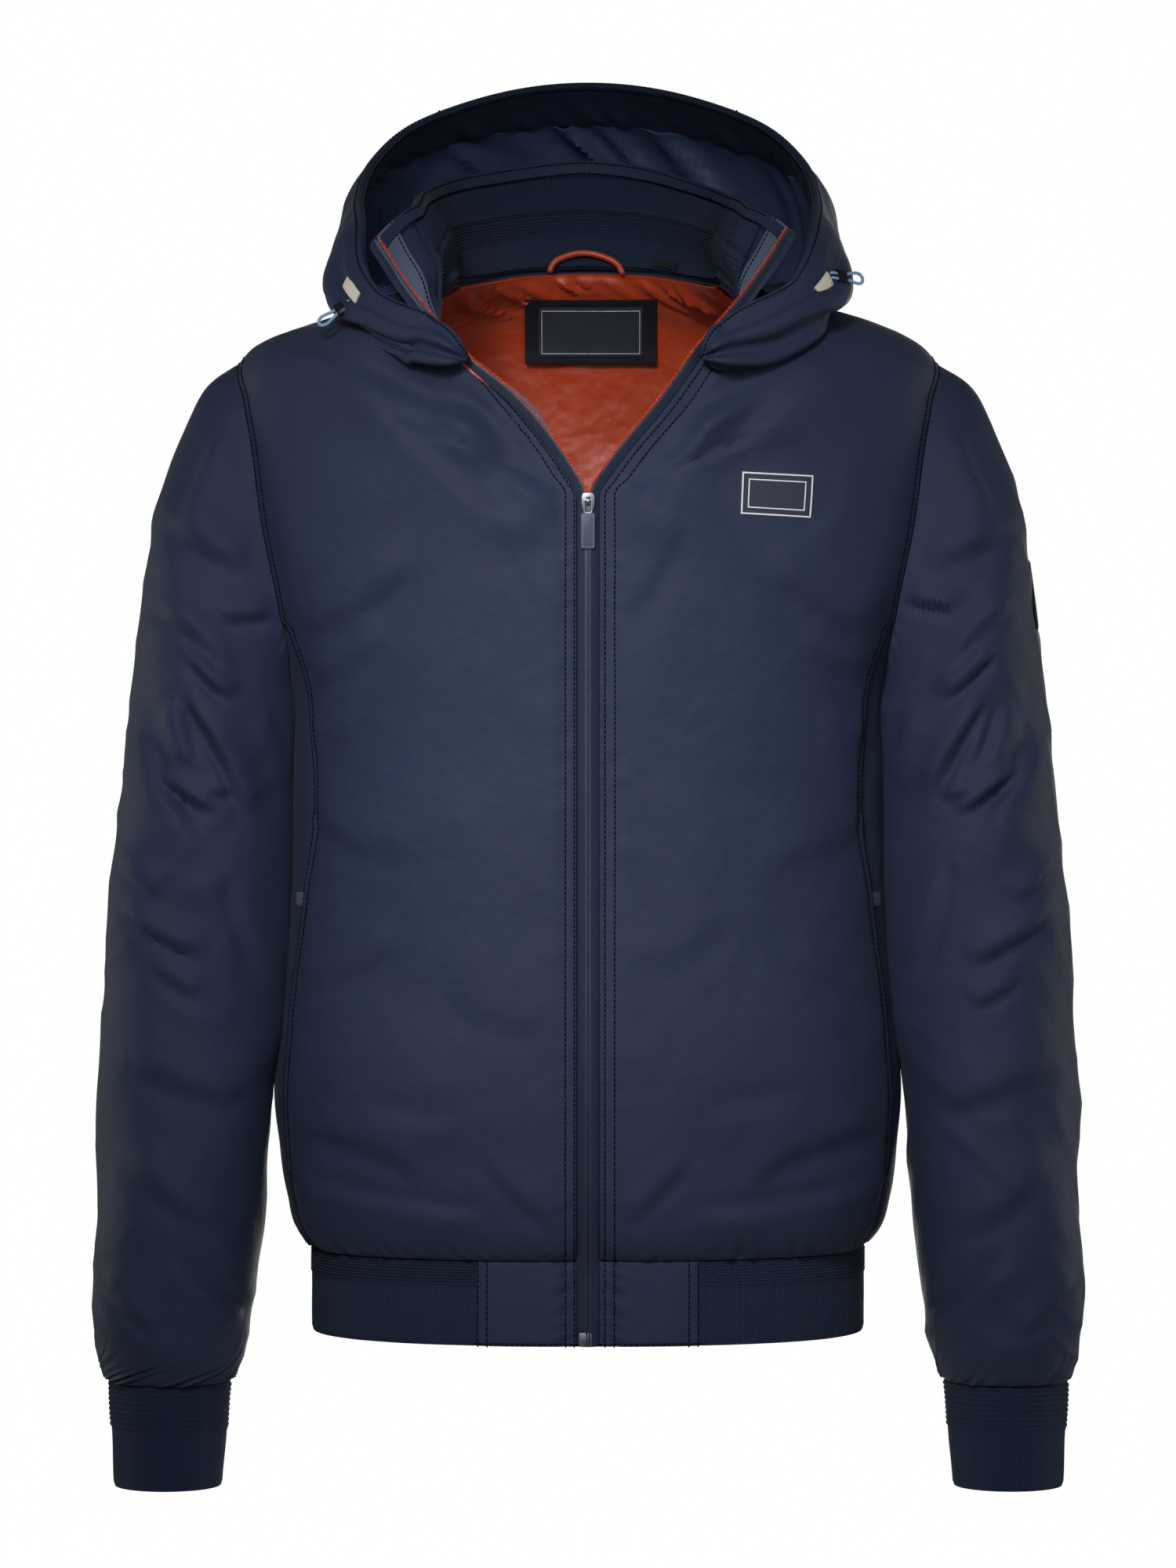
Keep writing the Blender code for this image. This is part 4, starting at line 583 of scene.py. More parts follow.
def zip_tape(side):
    """Tape grid: first column at the teeth, last one under the panels' edge."""
    line, _, away = front_edge(side)
    reach = np.linspace(TAPE_WIDTH + SEAM_GAP, -0.0007, 9)
    return line[:, None] + away[:, None] * reach[None, :, None]


def on_front(x, z):
    """Point of the front surface at a distance from the centre and a height."""
    return body(theta_at(x, z), z)


def rectangle(place, size, tilt=0.0, columns=4, rows=3):
    """Grid of (x, z) positions of a tilted rectangle."""
    u = (np.linspace(-0.5, 0.5, columns + 1) * size[0])[None, :]
    v = (np.linspace(-0.5, 0.5, rows + 1) * size[1])[:, None]
    x = place[0] + u * cos(tilt) - v * sin(tilt)
    z = place[1] + u * sin(tilt) + v * cos(tilt)
    return x, z


def lining_grid(x, z, depth):
    """Inner side of the back at a distance from the centre and a height, moved in by a depth."""
    half, _, back = np.moveaxis(spline(TORSO[:, 0], TORSO[:, 1:], z), -1, 0)
    y = (back - depth) * (1 - np.abs(x / half) ** ROUNDNESS) ** (1 / ROUNDNESS)
    return np.stack((x, y, z), axis=-1)


def ring_plate(outer, inner, near, far):
    """Vertices and faces of a plate with a hole, between two offsets along its third axis."""
    count = len(outer)
    vertices = [(x, z, level) for level in (near, far) for loop in (outer, inner) for x, z in loop]
    faces = []
    for i in range(count):
        j = (i + 1) % count
        near_out, near_in, far_out, far_in = (k * count for k in range(4))
        faces.append((near_out + j, near_out + i, near_in + i, near_in + j))
        faces.append((far_out + i, far_out + j, far_in + j, far_in + i))
        faces.append((near_out + i, near_out + j, far_out + j, far_out + i))
        faces.append((near_in + j, near_in + i, far_in + i, far_in + j))
    return vertices, faces


def box_outline(size, corner):
    """Rectangle with cut corners, anticlockwise."""
    x, z = size[0] / 2, size[1] / 2
    return [(x, -z + corner), (x, z - corner), (x - corner, z), (-x + corner, z),
            (-x, z - corner), (-x, -z + corner), (-x + corner, -z), (x - corner, -z)]


# ---- settings that a user would change -------------------------------------------------------
def linear(code):
    """sRGB hex colour as linear red, green and blue."""
    parts = [int(code[i:i + 2], 16) / 255 for i in (1, 3, 5)]
    return tuple(c / 12.92 if c <= 0.04045 else ((c + 0.055) / 1.055) ** 2.4 for c in parts)


def colour(name, description, code):
    return bpy.props.FloatVectorProperty(name=name, description=description, subtype="COLOR", size=3,
                                         min=0, max=1, default=linear(code))


def length(name, description, default):
    return bpy.props.FloatProperty(name=name, description=description, default=default, min=0,
                                   unit="LENGTH", precision=5)


class JacketSizes(bpy.types.PropertyGroup):
    seam_depth: length("Seam depth", "How far the cloth dips where two panels are sewn", 0.0012)
    seam_reach: length("Seam reach", "Distance from a seam over which the padding rises", 0.005)
    puff: length("Padding rise", "How far the padded cloth stands up beyond a seam", 0.001)
    crease: bpy.props.FloatProperty(name="Creases", description="Strength of the creases by hand",
                                    default=1.0, min=0, max=2, subtype="FACTOR")
    ripple: length("Ripple", "Height of the slight unevenness all over the cloth", 0.0016)
    gather: length("Gathers", "Height of the gathers above cuffs and hem", 0.0024)
    stitch_pitch: length("Stitch pitch", "From one stitch to the next", 0.0032)
    stitch_length: length("Stitch length", "Thread that shows of one stitch", 0.0023)
    thread: length("Thread", "Thickness of the sewing thread", 0.0008)
    tooth_pitch: length("Tooth pitch", "From one zip tooth to the next", 0.0015)
    tooth_width: length("Tooth width", "Zip tooth across the tape", 0.0022)
    rib_pitch: length("Rib pitch", "From one fine knit rib to the next", 0.0016)


class JacketColours(bpy.types.PropertyGroup):
    shell: colour("Shell", "Padded shell cloth", "#262f45")
    knit: colour("Knit", "Rib knit of cuffs, hem and collar", "#202b42")
    # A navy of its own, lightened as painted light for the shaded inside of the hood.
    lining: colour("Lining", "Satin lining of the body", "#b8401d")
    hood: colour("Hood lining", "Taffeta inside the hood", "#3a4866")
    facing: colour("Facing", "Cloth strip inside the front edge", "#4b566c")
    tape: colour("Zip tape", "Coated zip tape", "#20283a")
    teeth: colour("Zip teeth", "Coil of the zip", "#d4481f")
    metal: colour("Zip metal", "Slider and box", "#6d717a")
    tab: colour("Pull tab", "Rubber of the pull tab", "#343d50")
    rim: colour("Tab rim", "Raised rim of the pull tab", "#5c6474")
    gloss: colour("Side tabs", "Glossy tabs on the side seams", "#5c6474")
    label: colour("Label", "Woven labels in the neck", "#15161f")
    badge: colour("Badge", "Woven badges", "#2b3040")
    thread: colour("Thread", "Sewing thread", "#0c0f16")
    frame: colour("Frame thread", "Thin frames woven into the badges", "#d5d8dc")
    cord: colour("Cord", "Braided drawcord", "#7fa8cf")
    patch: colour("Patch", "Patch round the cord's hole", "#cfc9b8")
    stopper: colour("Stopper", "Moulded cord stopper", "#0d0e12")
    floor: colour("Floor", "Studio floor", "#f2f2f0")


def sizes():
    return bpy.context.scene.jacket_sizes


def colours():
    return bpy.context.scene.jacket_colours


# ---- materials -------------------------------------------------------------------------------
def add_node(tree, kind, links=None, **settings):
    """Adds a node, sets its own settings, and gives its sockets values or links.

    A node that is given as a value is linked by its first output.
    """
    node = tree.nodes.new(kind)
    for key, value in settings.items():
        setattr(node, key, value)
    for socket, value in (links or {}).items():
        if isinstance(value, bpy.types.Node):
            value = value.outputs[0]
        if isinstance(value, bpy.types.NodeSocket):
            tree.links.new(value, node.inputs[socket])
        else:
            node.inputs[socket].default_value = value
    return node


def waves(tree, cloth, axis, pitch):
    """Value from 0 to 1 that rises and falls once each pitch, across (0) or along (1) the cloth."""
    split = add_node(tree, "ShaderNodeSeparateXYZ", {0: cloth})
    turn = add_node(tree, "ShaderNodeMath", {0: split.outputs[axis], 1: 2 * pi / pitch},
                    operation="MULTIPLY")
    rise = add_node(tree, "ShaderNodeMath", {0: turn}, operation="SINE")
    return add_node(tree, "ShaderNodeMath", {0: rise, 1: 0.5, 2: 0.5}, operation="MULTIPLY_ADD")


def joined(tree, first, share, second):
    """Two patterns in one, the first with that share."""
    rest = add_node(tree, "ShaderNodeMath", {0: second, 1: 1 - share}, operation="MULTIPLY")
    return add_node(tree, "ShaderNodeMath", {0: first, 1: share, 2: rest}, operation="MULTIPLY_ADD")


def new_material(name, roughness, sockets):
    """Material, its tree, the piece's own map in metres along the cloth, and its place in the object."""
    mat = bpy.data.materials.new(name)
    mat.use_nodes = True
    tree = mat.node_tree
    for socket, value in {"Roughness": roughness, **sockets}.items():
        tree.nodes["Principled BSDF"].inputs[socket].default_value = value
    cloth = add_node(tree, "ShaderNodeUVMap", uv_map="cloth")
    return mat, tree, cloth, add_node(tree, "ShaderNodeTexCoord").outputs["Object"]


def surfaced(mat, base, spread, pattern, layers):
    """Gives a material a colour that wanders about its base with a pattern, and bumps in layers.

    Each layer is a height from 0 to 1, its real height in metres and its strength.
    """
    tree = mat.node_tree
    shader = tree.nodes["Principled BSDF"]
    low = tuple(c * (1 - spread) for c in base)
    high = tuple(min(1, c * (1 + spread)) for c in base)
    shade = add_node(tree, "ShaderNodeMix", {0: pattern, 6: (*low, 1), 7: (*high, 1)}, data_type="RGBA")
    tree.links.new(shade.outputs[2], shader.inputs["Base Color"])
    normal = {}
    for height, distance, strength in layers:
        links = {"Height": height, "Distance": distance, "Strength": strength, **normal}
        normal = {"Normal": add_node(tree, "ShaderNodeBump", links)}
    for bump in normal.values():
        tree.links.new(bump.outputs[0], shader.inputs["Normal"])
    return mat


# Woven finishes: material, roughness, distance of the threads, height of the soft crumple, spread of
# the shade, other sockets.  Real threads are 0.2 to 0.3 mm apart; they are drawn coarser to show.
WOVEN = {
    # Padded polyester twill: matt, with a faint grey sheen where it turns away.
    "shell": ("polyester_twill_shell", 0.66, 0.0011, 0.0035, 0.16,
              {"Sheen Weight": 0.03, "Sheen Roughness": 0.4, "Specular IOR Level": 0.16}),
    # Cotton twill strip: lighter, dull, with a clear weave.
    "facing": ("cotton_twill_facing", 0.75, 0.0012, 0.0015, 0.16,
               {"Sheen Weight": 0.1, "Specular IOR Level": 0.3}),
    # Orange satin: smooth, with a soft gloss along its folds.
    "lining": ("satin_lining", 0.36, 0.0009, 0.006, 0.1, {"Sheen Weight": 0.1, "Specular IOR Level": 0.55}),
    # Navy taffeta: crisp and half glossy.  Its navy is lightened as painted light for the shaded inside of
    # the hood.
    "hood": ("taffeta_hood_lining", 0.4, 0.001, 0.005, 0.12, {"Specular IOR Level": 0.5}),
    # Zip tape coated with polyurethane: smooth, half matt, the weave faint under it.
    "tape": ("coated_zip_tape", 0.42, 0.0014, 0.0008, 0.08, {"Specular IOR Level": 0.3}),
    # Woven damask: tight threads, dull.
    "label": ("damask_label", 0.7, 0.001, 0.0006, 0.1, {"Specular IOR Level": 0.3}),
    "badge": ("damask_badge", 0.7, 0.001, 0.0006, 0.1, {"Specular IOR Level": 0.3}),
}
# Moulded, spun and painted finishes: material, roughness, height of the grain, grains to a metre,
# spread of the shade, other sockets.
PLAIN = {
    # Satin zinc of the slider, a little worn.
    "metal": ("satin_zinc", 0.36, 0.00005, 1600, 0.06, {"Metallic": 0.8}),
    # Polyester coil: coloured through, half glossy.
    "teeth": ("polyester_coil", 0.38, 0.00002, 1600, 0.06, {}),
    # Soft PVC: dull, with a fine grain; its rim is lighter.
    "tab": ("soft_pvc_tab", 0.55, 0.00012, 900, 0.06, {}),
    "rim": ("soft_pvc_rim", 0.5, 0.0001, 1600, 0.06, {}),
    # Black acetal, moulded: smooth, with small highlights.
    "stopper": ("black_acetal", 0.32, 0.00004, 1600, 0.06, {}),
    # Cream synthetic leather with a pebbled grain.
    "patch": ("cream_synthetic_leather", 0.6, 0.00018, 700, 0.1, {}),
    # Spun polyester thread: dull.
    "thread": ("polyester_thread", 0.85, 0.00005, 1600, 0.06, {"Specular IOR Level": 0.05}),
    # Pale thread of the frames on badges and labels.
    "frame": ("pale_woven_thread", 0.7, 0.0001, 1200, 0.12, {}),
    # TPU of the side tabs: glossy.
    "gloss": ("glossy_tpu", 0.18, 0.00003, 1600, 0.06, {}),
    # Seamless studio paper: dull, without grain.
    "floor": ("studio_paper", 0.9, 0.0, 3, 0.01, {"Specular IOR Level": 0.2}),
}
BRAID_PITCH = 0.0016         # of the cord's strands round it and along it


def woven_material(base, name, roughness, thread, crumpled, spread, sockets):
    """Woven cloth: crossed threads, a soft crumple and a slight change of shade."""
    mat, tree, cloth, place = new_material(name, roughness, sockets)
    threads = {axis: waves(tree, cloth, axis, thread) for axis in (0, 1)}
    weave = add_node(tree, "ShaderNodeMath", threads, operation="MULTIPLY")
    soft = add_node(tree, "ShaderNodeTexNoise",
                    {"Vector": place, "Scale": 22, "Detail": 3, "Roughness": 0.55})
    fine = add_node(tree, "ShaderNodeTexNoise", {"Vector": place, "Scale": 260})
    return surfaced(mat, base, spread, joined(tree, soft, 0.55, fine),
                    ((soft, crumpled, 0.8), (fine, 0.00025, 0.3), (weave, 0.00012, 0.35)))


def plain_material(base, name, roughness, grain, grit, spread, sockets):
    """Smooth surface with a fine grain."""
    mat, tree, _, place = new_material(name, roughness, sockets)
    fine = add_node(tree, "ShaderNodeTexNoise", {"Vector": place, "Scale": grit})
    return surfaced(mat, base, spread, fine, ((fine, grain, 0.35),) if grain else ())


def knit_material(base):
    """Rib knit of polyester yarn: fine raised ribs, the lines between them darkened as painted shade.

    Real ribs are about 1.2 mm apart; they are drawn a little coarser.
    """
    mat, tree, cloth, place = new_material(
        "rib_knit", 0.9, {"Sheen Weight": 0.03, "Sheen Roughness": 0.6, "Specular IOR Level": 0.1})
    rib = waves(tree, cloth, 0, sizes().rib_pitch)
    loops = waves(tree, cloth, 1, sizes().rib_pitch * 0.75)
    fuzz = add_node(tree, "ShaderNodeTexNoise", {"Vector": place, "Scale": 420})
    # The colour follows the ribs' height: painted shade darkens the grooves between the ribs.
    return surfaced(mat, base, 0.45, joined(tree, rib, 0.75, fuzz),
                    ((rib, 0.0006, 0.8), (loops, 0.00015, 0.5), (fuzz, 0.0002, 0.4)))


def cord_material(base):
    """Braided polyester cord: strands that cross as they wind round it."""
    mat, tree, cloth, place = new_material("braided_polyester_cord", 0.72, {"Sheen Weight": 0.2})
    split = add_node(tree, "ShaderNodeSeparateXYZ", {0: cloth})
    strands = []
    for way in ("ADD", "SUBTRACT"):
        slant = add_node(tree, "ShaderNodeMath", {0: split.outputs[1], 1: split.outputs[0]}, operation=way)
        turn = add_node(tree, "ShaderNodeMath", {0: slant, 1: 2 * pi / BRAID_PITCH}, operation="MULTIPLY")
        strands.append(add_node(tree, "ShaderNodeMath", {0: turn}, operation="SINE"))
    crossed = add_node(tree, "ShaderNodeMath", dict(enumerate(strands)), operation="MULTIPLY")
    braid = add_node(tree, "ShaderNodeMath", {0: crossed, 1: 0.5, 2: 0.5}, operation="MULTIPLY_ADD")
    fuzz = add_node(tree, "ShaderNodeTexNoise", {"Vector": place, "Scale": 900})
    return surfaced(mat, base, 0.25, braid, ((braid, 0.0003, 0.7), (fuzz, 0.0001, 0.4)))


_finishes = {}


def finish(name):
    """The material of that finish, made once, in the colour of the same name."""
    if name not in _finishes:
        base = getattr(colours(), name)
        if name in WOVEN:
            _finishes[name] = woven_material(base, *WOVEN[name])
        elif name in PLAIN:
            _finishes[name] = plain_material(base, *PLAIN[name])
        else:
            _finishes[name] = {"knit": knit_material, "cord": cord_material}[name](base)
    return _finishes[name]


# ---- cloth in code ---------------------------------------------------------------------------
SHARP_CLOTH = radians(60)    # turns of cloth sharper than this are an edge
INNER_FOLLOWS = 0.6          # share of a fold's rise that the inner side takes
GOLDEN_TURN = 2.399963       # radians between the directions of one wave and the next


def running(grid, axis):
    """Distance along the cloth from the first row or column."""
    steps = np.linalg.norm(np.diff(grid, axis=axis), axis=-1)
    total = np.cumsum(steps, axis=axis)
    start = np.zeros_like(np.take(total, [0], axis=axis))
    return np.concatenate((start, total), axis=axis)


def resampled(grid, rows, columns):
    """The grid read at fractions of its rows and columns."""
    for axis, at in ((0, rows), (1, columns)):
        first = np.clip(np.floor(at).astype(int), 0, grid.shape[axis] - 2)
        share = (at - first).reshape([-1 if k == axis else 1 for k in range(grid.ndim)])
        grid = np.take(grid, first, axis) * (1 - share) + np.take(grid, first + 1, axis) * share
    return grid


def with_borders(count):
    """Places along a grid with extra ones close to both ends, for the seams."""
    if count <= 6:
        return np.arange(count, dtype=float)
    close = np.array((0, 0.18, 0.42, 0.7))
    return np.r_[close, np.arange(1, count - 1), (count - 1 - close)[::-1]]


def seamed(grid, closed=False):
    rows = with_borders(len(grid))
    columns = np.arange(grid.shape[1], dtype=float) if closed else with_borders(grid.shape[1])
    return resampled(grid, rows, columns)


def looped(grid):
    """A closed grid with its first column repeated at the end."""
    return np.concatenate((grid, grid[:, :1]), axis=1)


def wall_mesh(name, outer, inner, outside, inside, closed=False, skip=1):
    """Closed wall between two grids, with a map in metres along the cloth.

    outside and inside are its materials; the rims take the outside one.  The inner side keeps
    only each skip-th row.
    """
    rows, columns = outer.shape[:2]
    kept = np.unique(np.r_[np.arange(0, rows, skip), rows - 1])
    inner = inner[kept]
    full = looped(outer) if closed else outer
    across = running(full, 1)
    across = across * (np.mean(across[:, -1]) / np.maximum(across[:, -1:], 1e-9)) if closed else across
    up = running(full, 0)
    spans, base = (columns if closed else columns - 1), rows * columns

    def sheet(count, row_of, start, flip):
        r, c = np.meshgrid(np.arange(count - 1), np.arange(spans), indexing="ij")
        d = (c + 1) % columns
        here, above = r * columns, (r + 1) * columns
        quads = np.stack((here + c, here + d, above + d, above + c), -1)
        at_row = row_of[np.stack((r, r, r + 1, r + 1), -1)]
        at_column = np.stack((c, c + 1, c + 1, c), -1)
        step = slice(None, None, -1) if flip else slice(None)
        return [grid[..., step].reshape(-1, 4).tolist() for grid in (quads + start, at_row, at_column)]

    front = sheet(rows, np.arange(rows), 0, False)
    back = sheet(len(kept), kept, base, True)
    faces, at_rows, at_columns = (one + other for one, other in zip(front, back))
    ends = [(0, 0, True), (rows - 1, len(kept) - 1, False)]
    for row, inner_row, flip in ends:
        for k in range(spans):
            d = (k + 1) % columns
            loop = [row * columns + k, row * columns + d, base + inner_row * columns + d,
                    base + inner_row * columns + k]
            step = -1 if flip else 1
            faces.append(loop[::step])
            at_rows.append([row] * 4)
            at_columns.append([k, k + 1, k + 1, k][::step])
    for column, step in () if closed else ((0, 1), (columns - 1, -1)):
        for j in range(len(kept) - 1):
            span = list(range(kept[j], kept[j + 1] + 1))
            loop = [k * columns + column for k in span] + [base + (j + 1) * columns + column,
                                                           base + j * columns + column]
            faces.append(loop[::step])
            at_rows.append((span + [kept[j + 1], kept[j]])[::step])
            at_columns.append([column] * len(loop))
    mesh = bpy.data.meshes.new(name)
    mesh.from_pydata(np.vstack((outer.reshape(-1, 3), inner.reshape(-1, 3))).tolist(), [], faces)
    row_at, column_at = (np.array([k for face in at for k in face]) for at in (at_rows, at_columns))
    uv = np.stack((across[row_at, column_at], up[row_at, column_at]), -1)
    layer = mesh.uv_layers.new(name="cloth")
    layer.data.foreach_set("uv", uv.astype(np.float32).ravel())
    mesh.materials.append(outside)
    mesh.materials.append(inside)
    index = np.zeros(len(faces), int)
    index[len(front[0]):len(front[0]) + len(back[0])] = 1
    mesh.polygons.foreach_set("material_index", index)
    mesh.polygons.foreach_set("use_smooth", np.ones(len(faces), bool))
    mesh.update()
    mesh.set_sharp_from_angle(angle=SHARP_CLOTH)
    return mesh


def link_object(name, data):
    obj = bpy.data.objects.new(name, data)
    bpy.context.scene.collection.objects.link(obj)
    return obj


def dressed(obj, node, body="jacket"):
    """Puts a finished piece on its body, and in the place of a node of the frame if one is named."""
    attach(obj, body)
    if node:
        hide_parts(node)


def walled(name, node, outer, inner, outside, inside=None, closed=False, skip=1):
    """Wall of cloth between two grids, in the place of a node.
    """
    obj = link_object(name, wall_mesh(name, outer, inner, outside, inside or outside, closed, skip))
    dressed(obj, node)


def lowest(values, reach):
    """Least of the values within so many rows of each."""
    padded = np.pad(values, ((reach, reach), (0, 0), (0, 0)), mode="edge")
    return np.min([padded[k:k + len(values)] for k in range(2 * reach + 1)], axis=0)


def cloth_piece(name, node, slot, grid, rise, thickness, outside, inside=None, closed=False,
                held="hung", follow=1.0, n=None, skip=2):
    """Wall of cloth on a grid, raised by its creases; returns its outer side and directions."""
    n = normals(grid, closed) if n is None else n
    rise = np.broadcast_to(rise, grid.shape[:2])[..., None]
    outer = grid + n * rise
    sunk = lowest(np.minimum(rise, 0) + follow * np.maximum(rise, 0) * INNER_FOLLOWS, skip)
    walled(name, node, outer, grid + n * (sunk - thickness), outside, inside, closed, skip)
    return outer, n


def shell_piece(name, node, grid, rise, **more):
    """Padded panel of the shell with the orange lining on its inner side."""
    return cloth_piece(name, node, "shell_cloth", grid, rise, SHELL, finish("shell"), finish("lining"),
                       **more)


def photo_place(points):
    """Where the photograph shows a point, in its pixels."""
    scale = CAMERA_DISTANCE / (CAMERA_DISTANCE + points[..., 1]) / PIXEL
    x = PHOTO_WIDTH / 2 + points[..., 0] * scale
    return x, PHOTO_HEIGHT / 2 - (points[..., 2] - EYE_Z) * scale


def crease_rise(x, y, table):
    """Height of creases given as lines in the photograph's pixels.

    Each has a crest, steeper on its trough's side, and fades out at both ends.
    """
    rise = np.zeros_like(x)
    for x0, y0, x1, y1, half, height, bend, trough in table:
        reach = np.hypot(x1 - x0, y1 - y0)
        way_x, way_y = (x1 - x0) / reach, (y1 - y0) / reach
        along = ((x - x0) * way_x + (y - y0) * way_y) / reach
        aside = -(x - x0) * way_y + (y - y0) * way_x - bend * 4 * along * (1 - along)
        fade = smoothstep(along / 0.3) * smoothstep((1 - along) / 0.3)
        across = aside * trough / half
        crest = bell(across, np.where(across < 0, 1.5, 0.6))
        valley = bell(across, 0.55, 1.15)
        rise = rise + height / 1000 * fade * (crest - 0.6 * valley)
    return rise


def ripples(points, seed):
    """Slight unevenness from a few long waves in fixed directions."""
    total = np.zeros(points.shape[:-1])
    for k in range(6):
        turn = GOLDEN_TURN * (k + 1) + seed
        way = np.array((cos(turn), sin(1.7 * turn), sin(turn)))
        long = 0.03 + 0.016 * k
        total += sin(k + seed) * 0.4 * wave(points @ way, long, turn * 3)
        total += 0.5 * wave(points @ way[::-1], long * 1.9, turn)
    return total / 4


def crumple(points, seed):
    """Small sharp folds that cross, from about -1 to 1."""
    total = np.zeros(points.shape[:-1])
    for k in range(5):
        turn = GOLDEN_TURN * (k + 1) + seed
        way = np.array((cos(turn), 0.5 * sin(1.7 * turn), sin(turn)))
        long = 0.03 + 0.012 * k
        across = points @ way[::-1]
        phase = points @ way * pi / long + 1.2 * wave(across, 2.3 * long, turn)
        share = 0.5 + 0.5 * wave(across, 3.1 * long, 2 * turn)
        total += (1 - 2 * np.abs(np.sin(phase)) ** 0.75) * share ** 1.5
    return total / 2.2


def seam_rise(distance, share=1.0):
    """Dip at a sewn border and the padding's rise behind it."""
    s = sizes()
    return -share * s.seam_depth * np.exp(-(distance / (s.seam_reach * 0.35)) ** 1.4) \
        + s.puff * (1 - np.exp(-(distance / (2.4 * s.seam_reach)) ** 1.5))


def gathers(along, distance, reach, seed=0.0):
    """Small folds that run into a seam, from 0 to 1, fading with the distance from it."""
    folds = wave(along, 0.013, 1.3 * wave(along, 0.061, seed) + seed)
    folds += 0.6 * wave(along, 0.0083, 2.0 * wave(along, 0.034) + 2 * seed)
    uneven = 0.6 + 0.4 * wave(along, 0.047, 3 * seed)
    return folds / 1.6 * uneven * np.exp(-(distance / reach) ** 1.3) * smoothstep(distance / 0.002)


def skew(line, neighbour):
    """Sine of the angle between a border line and the steps that leave it."""
    along, step = np.gradient(line, axis=0), neighbour - line
    area = np.linalg.norm(np.cross(along, step), axis=-1)
    return np.clip(area / np.linalg.norm(along, axis=-1) / np.linalg.norm(step, axis=-1), 0.25, 1)


def borders(grid, closed=False):
    """Distances square to its left, right, lower and upper border."""
    across, up = running(grid, 1), running(grid, 0)
    if closed:
        return across, across[:, -1:] - across, up, up[-1:] - up
    left, right = skew(grid[:, 0], grid[:, 1])[:, None], skew(grid[:, -1], grid[:, -2])[:, None]
    low, high = skew(grid[0], grid[1])[None, :], skew(grid[-1], grid[-2])[None, :]
    return across * left, (across[:, -1:] - across) * right, up * low, (up[-1:] - up) * high


# ---- rows of stitches and teeth --------------------------------------------------------------
def row_tree(name, shape):
    """Node tree that sets one small shape after the other along the lines of a mesh.

    The shape's long side follows the line, and its upper side the lines' "out" attribute.
    """
    tree = bpy.data.node_groups.new(name, "GeometryNodeTree")
    face = tree.interface
    face.new_socket("Lines", in_out="INPUT", socket_type="NodeSocketGeometry")
    for label in ("Pitch", "Length", "Width", "Height"):
        face.new_socket(label, in_out="INPUT", socket_type="NodeSocketFloat")
    face.new_socket("Material", in_out="INPUT", socket_type="NodeSocketMaterial")
    face.new_socket("Pieces", in_out="OUTPUT", socket_type="NodeSocketGeometry")
    given = add_node(tree, "NodeGroupInput").outputs
    curve = add_node(tree, "GeometryNodeMeshToCurve", {"Mesh": given["Lines"]})
    spaced = add_node(tree, "GeometryNodeResampleCurve", {"Curve": curve, "Length": given["Pitch"]},
                      mode="LENGTH")
    tangent = add_node(tree, "GeometryNodeInputTangent")
    out = add_node(tree, "GeometryNodeInputNamedAttribute", {"Name": "out"}, data_type="FLOAT_VECTOR")
    forward = add_node(tree, "FunctionNodeAlignRotationToVector", {"Vector": tangent}, axis="X")
    turned = add_node(tree, "FunctionNodeAlignRotationToVector",
                      {"Rotation": forward, "Vector": out.outputs["Attribute"]},
                      axis="Z", pivot_axis="X")
    if shape == "thread":
        solid = add_node(tree, "GeometryNodeMeshCube", {"Size": (1.0, 1.0, 1.0)})
    else:
        solid = add_node(tree, "GeometryNodeMeshUVSphere", {"Radius": 0.5, "Segments": 8, "Rings": 5})
    size = add_node(tree, "ShaderNodeCombineXYZ",
                    {0: given["Length"], 1: given["Width"], 2: given["Height"]})
    placed = add_node(tree, "GeometryNodeInstanceOnPoints",
                      {"Points": spaced, "Instance": solid,
                       "Rotation": turned, "Scale": size})
    real = add_node(tree, "GeometryNodeRealizeInstances", {0: placed})
    smooth = add_node(tree, "GeometryNodeSetShadeSmooth", {0: real})
    finished = add_node(tree, "GeometryNodeSetMaterial", {"Geometry": smooth,
                                                          "Material": given["Material"]})
    add_node(tree, "NodeGroupOutput", {0: finished})
    return tree


def laid_rows(name, lines, shape, inputs):
    """Plain mesh of the small shapes along lines, each of points and outward directions."""
    mesh = bpy.data.meshes.new(name + "_lines")
    points = np.vstack([p for p, _ in lines])
    edges, start = [], 0
    for p, _ in lines:
        edges += [(start + k, start + k + 1) for k in range(len(p) - 1)]
        start += len(p)
    mesh.from_pydata(points.tolist(), edges, [])
    out = mesh.attributes.new("out", "FLOAT_VECTOR", "POINT")
    out.data.foreach_set("vector", np.vstack([n for _, n in lines]).astype(np.float32).ravel())
    guide = link_object(name + "_guide", mesh)
    modifier = guide.modifiers.new("rows", "NODES")
    tree = bpy.data.node_groups.get(f"row_of_{shape}") or row_tree(f"row_of_{shape}", shape)
    modifier.node_group = tree
    for item in tree.interface.items_tree:
        if item.in_out == "INPUT" and item.name in inputs:
            modifier[item.identifier] = inputs[item.name]
    graph = bpy.context.evaluated_depsgraph_get()
    result = bpy.data.meshes.new_from_object(guide.evaluated_get(graph))
    bpy.data.objects.remove(guide)
    bpy.data.meshes.remove(mesh)
    result.name = name
    return link_object(name, result)


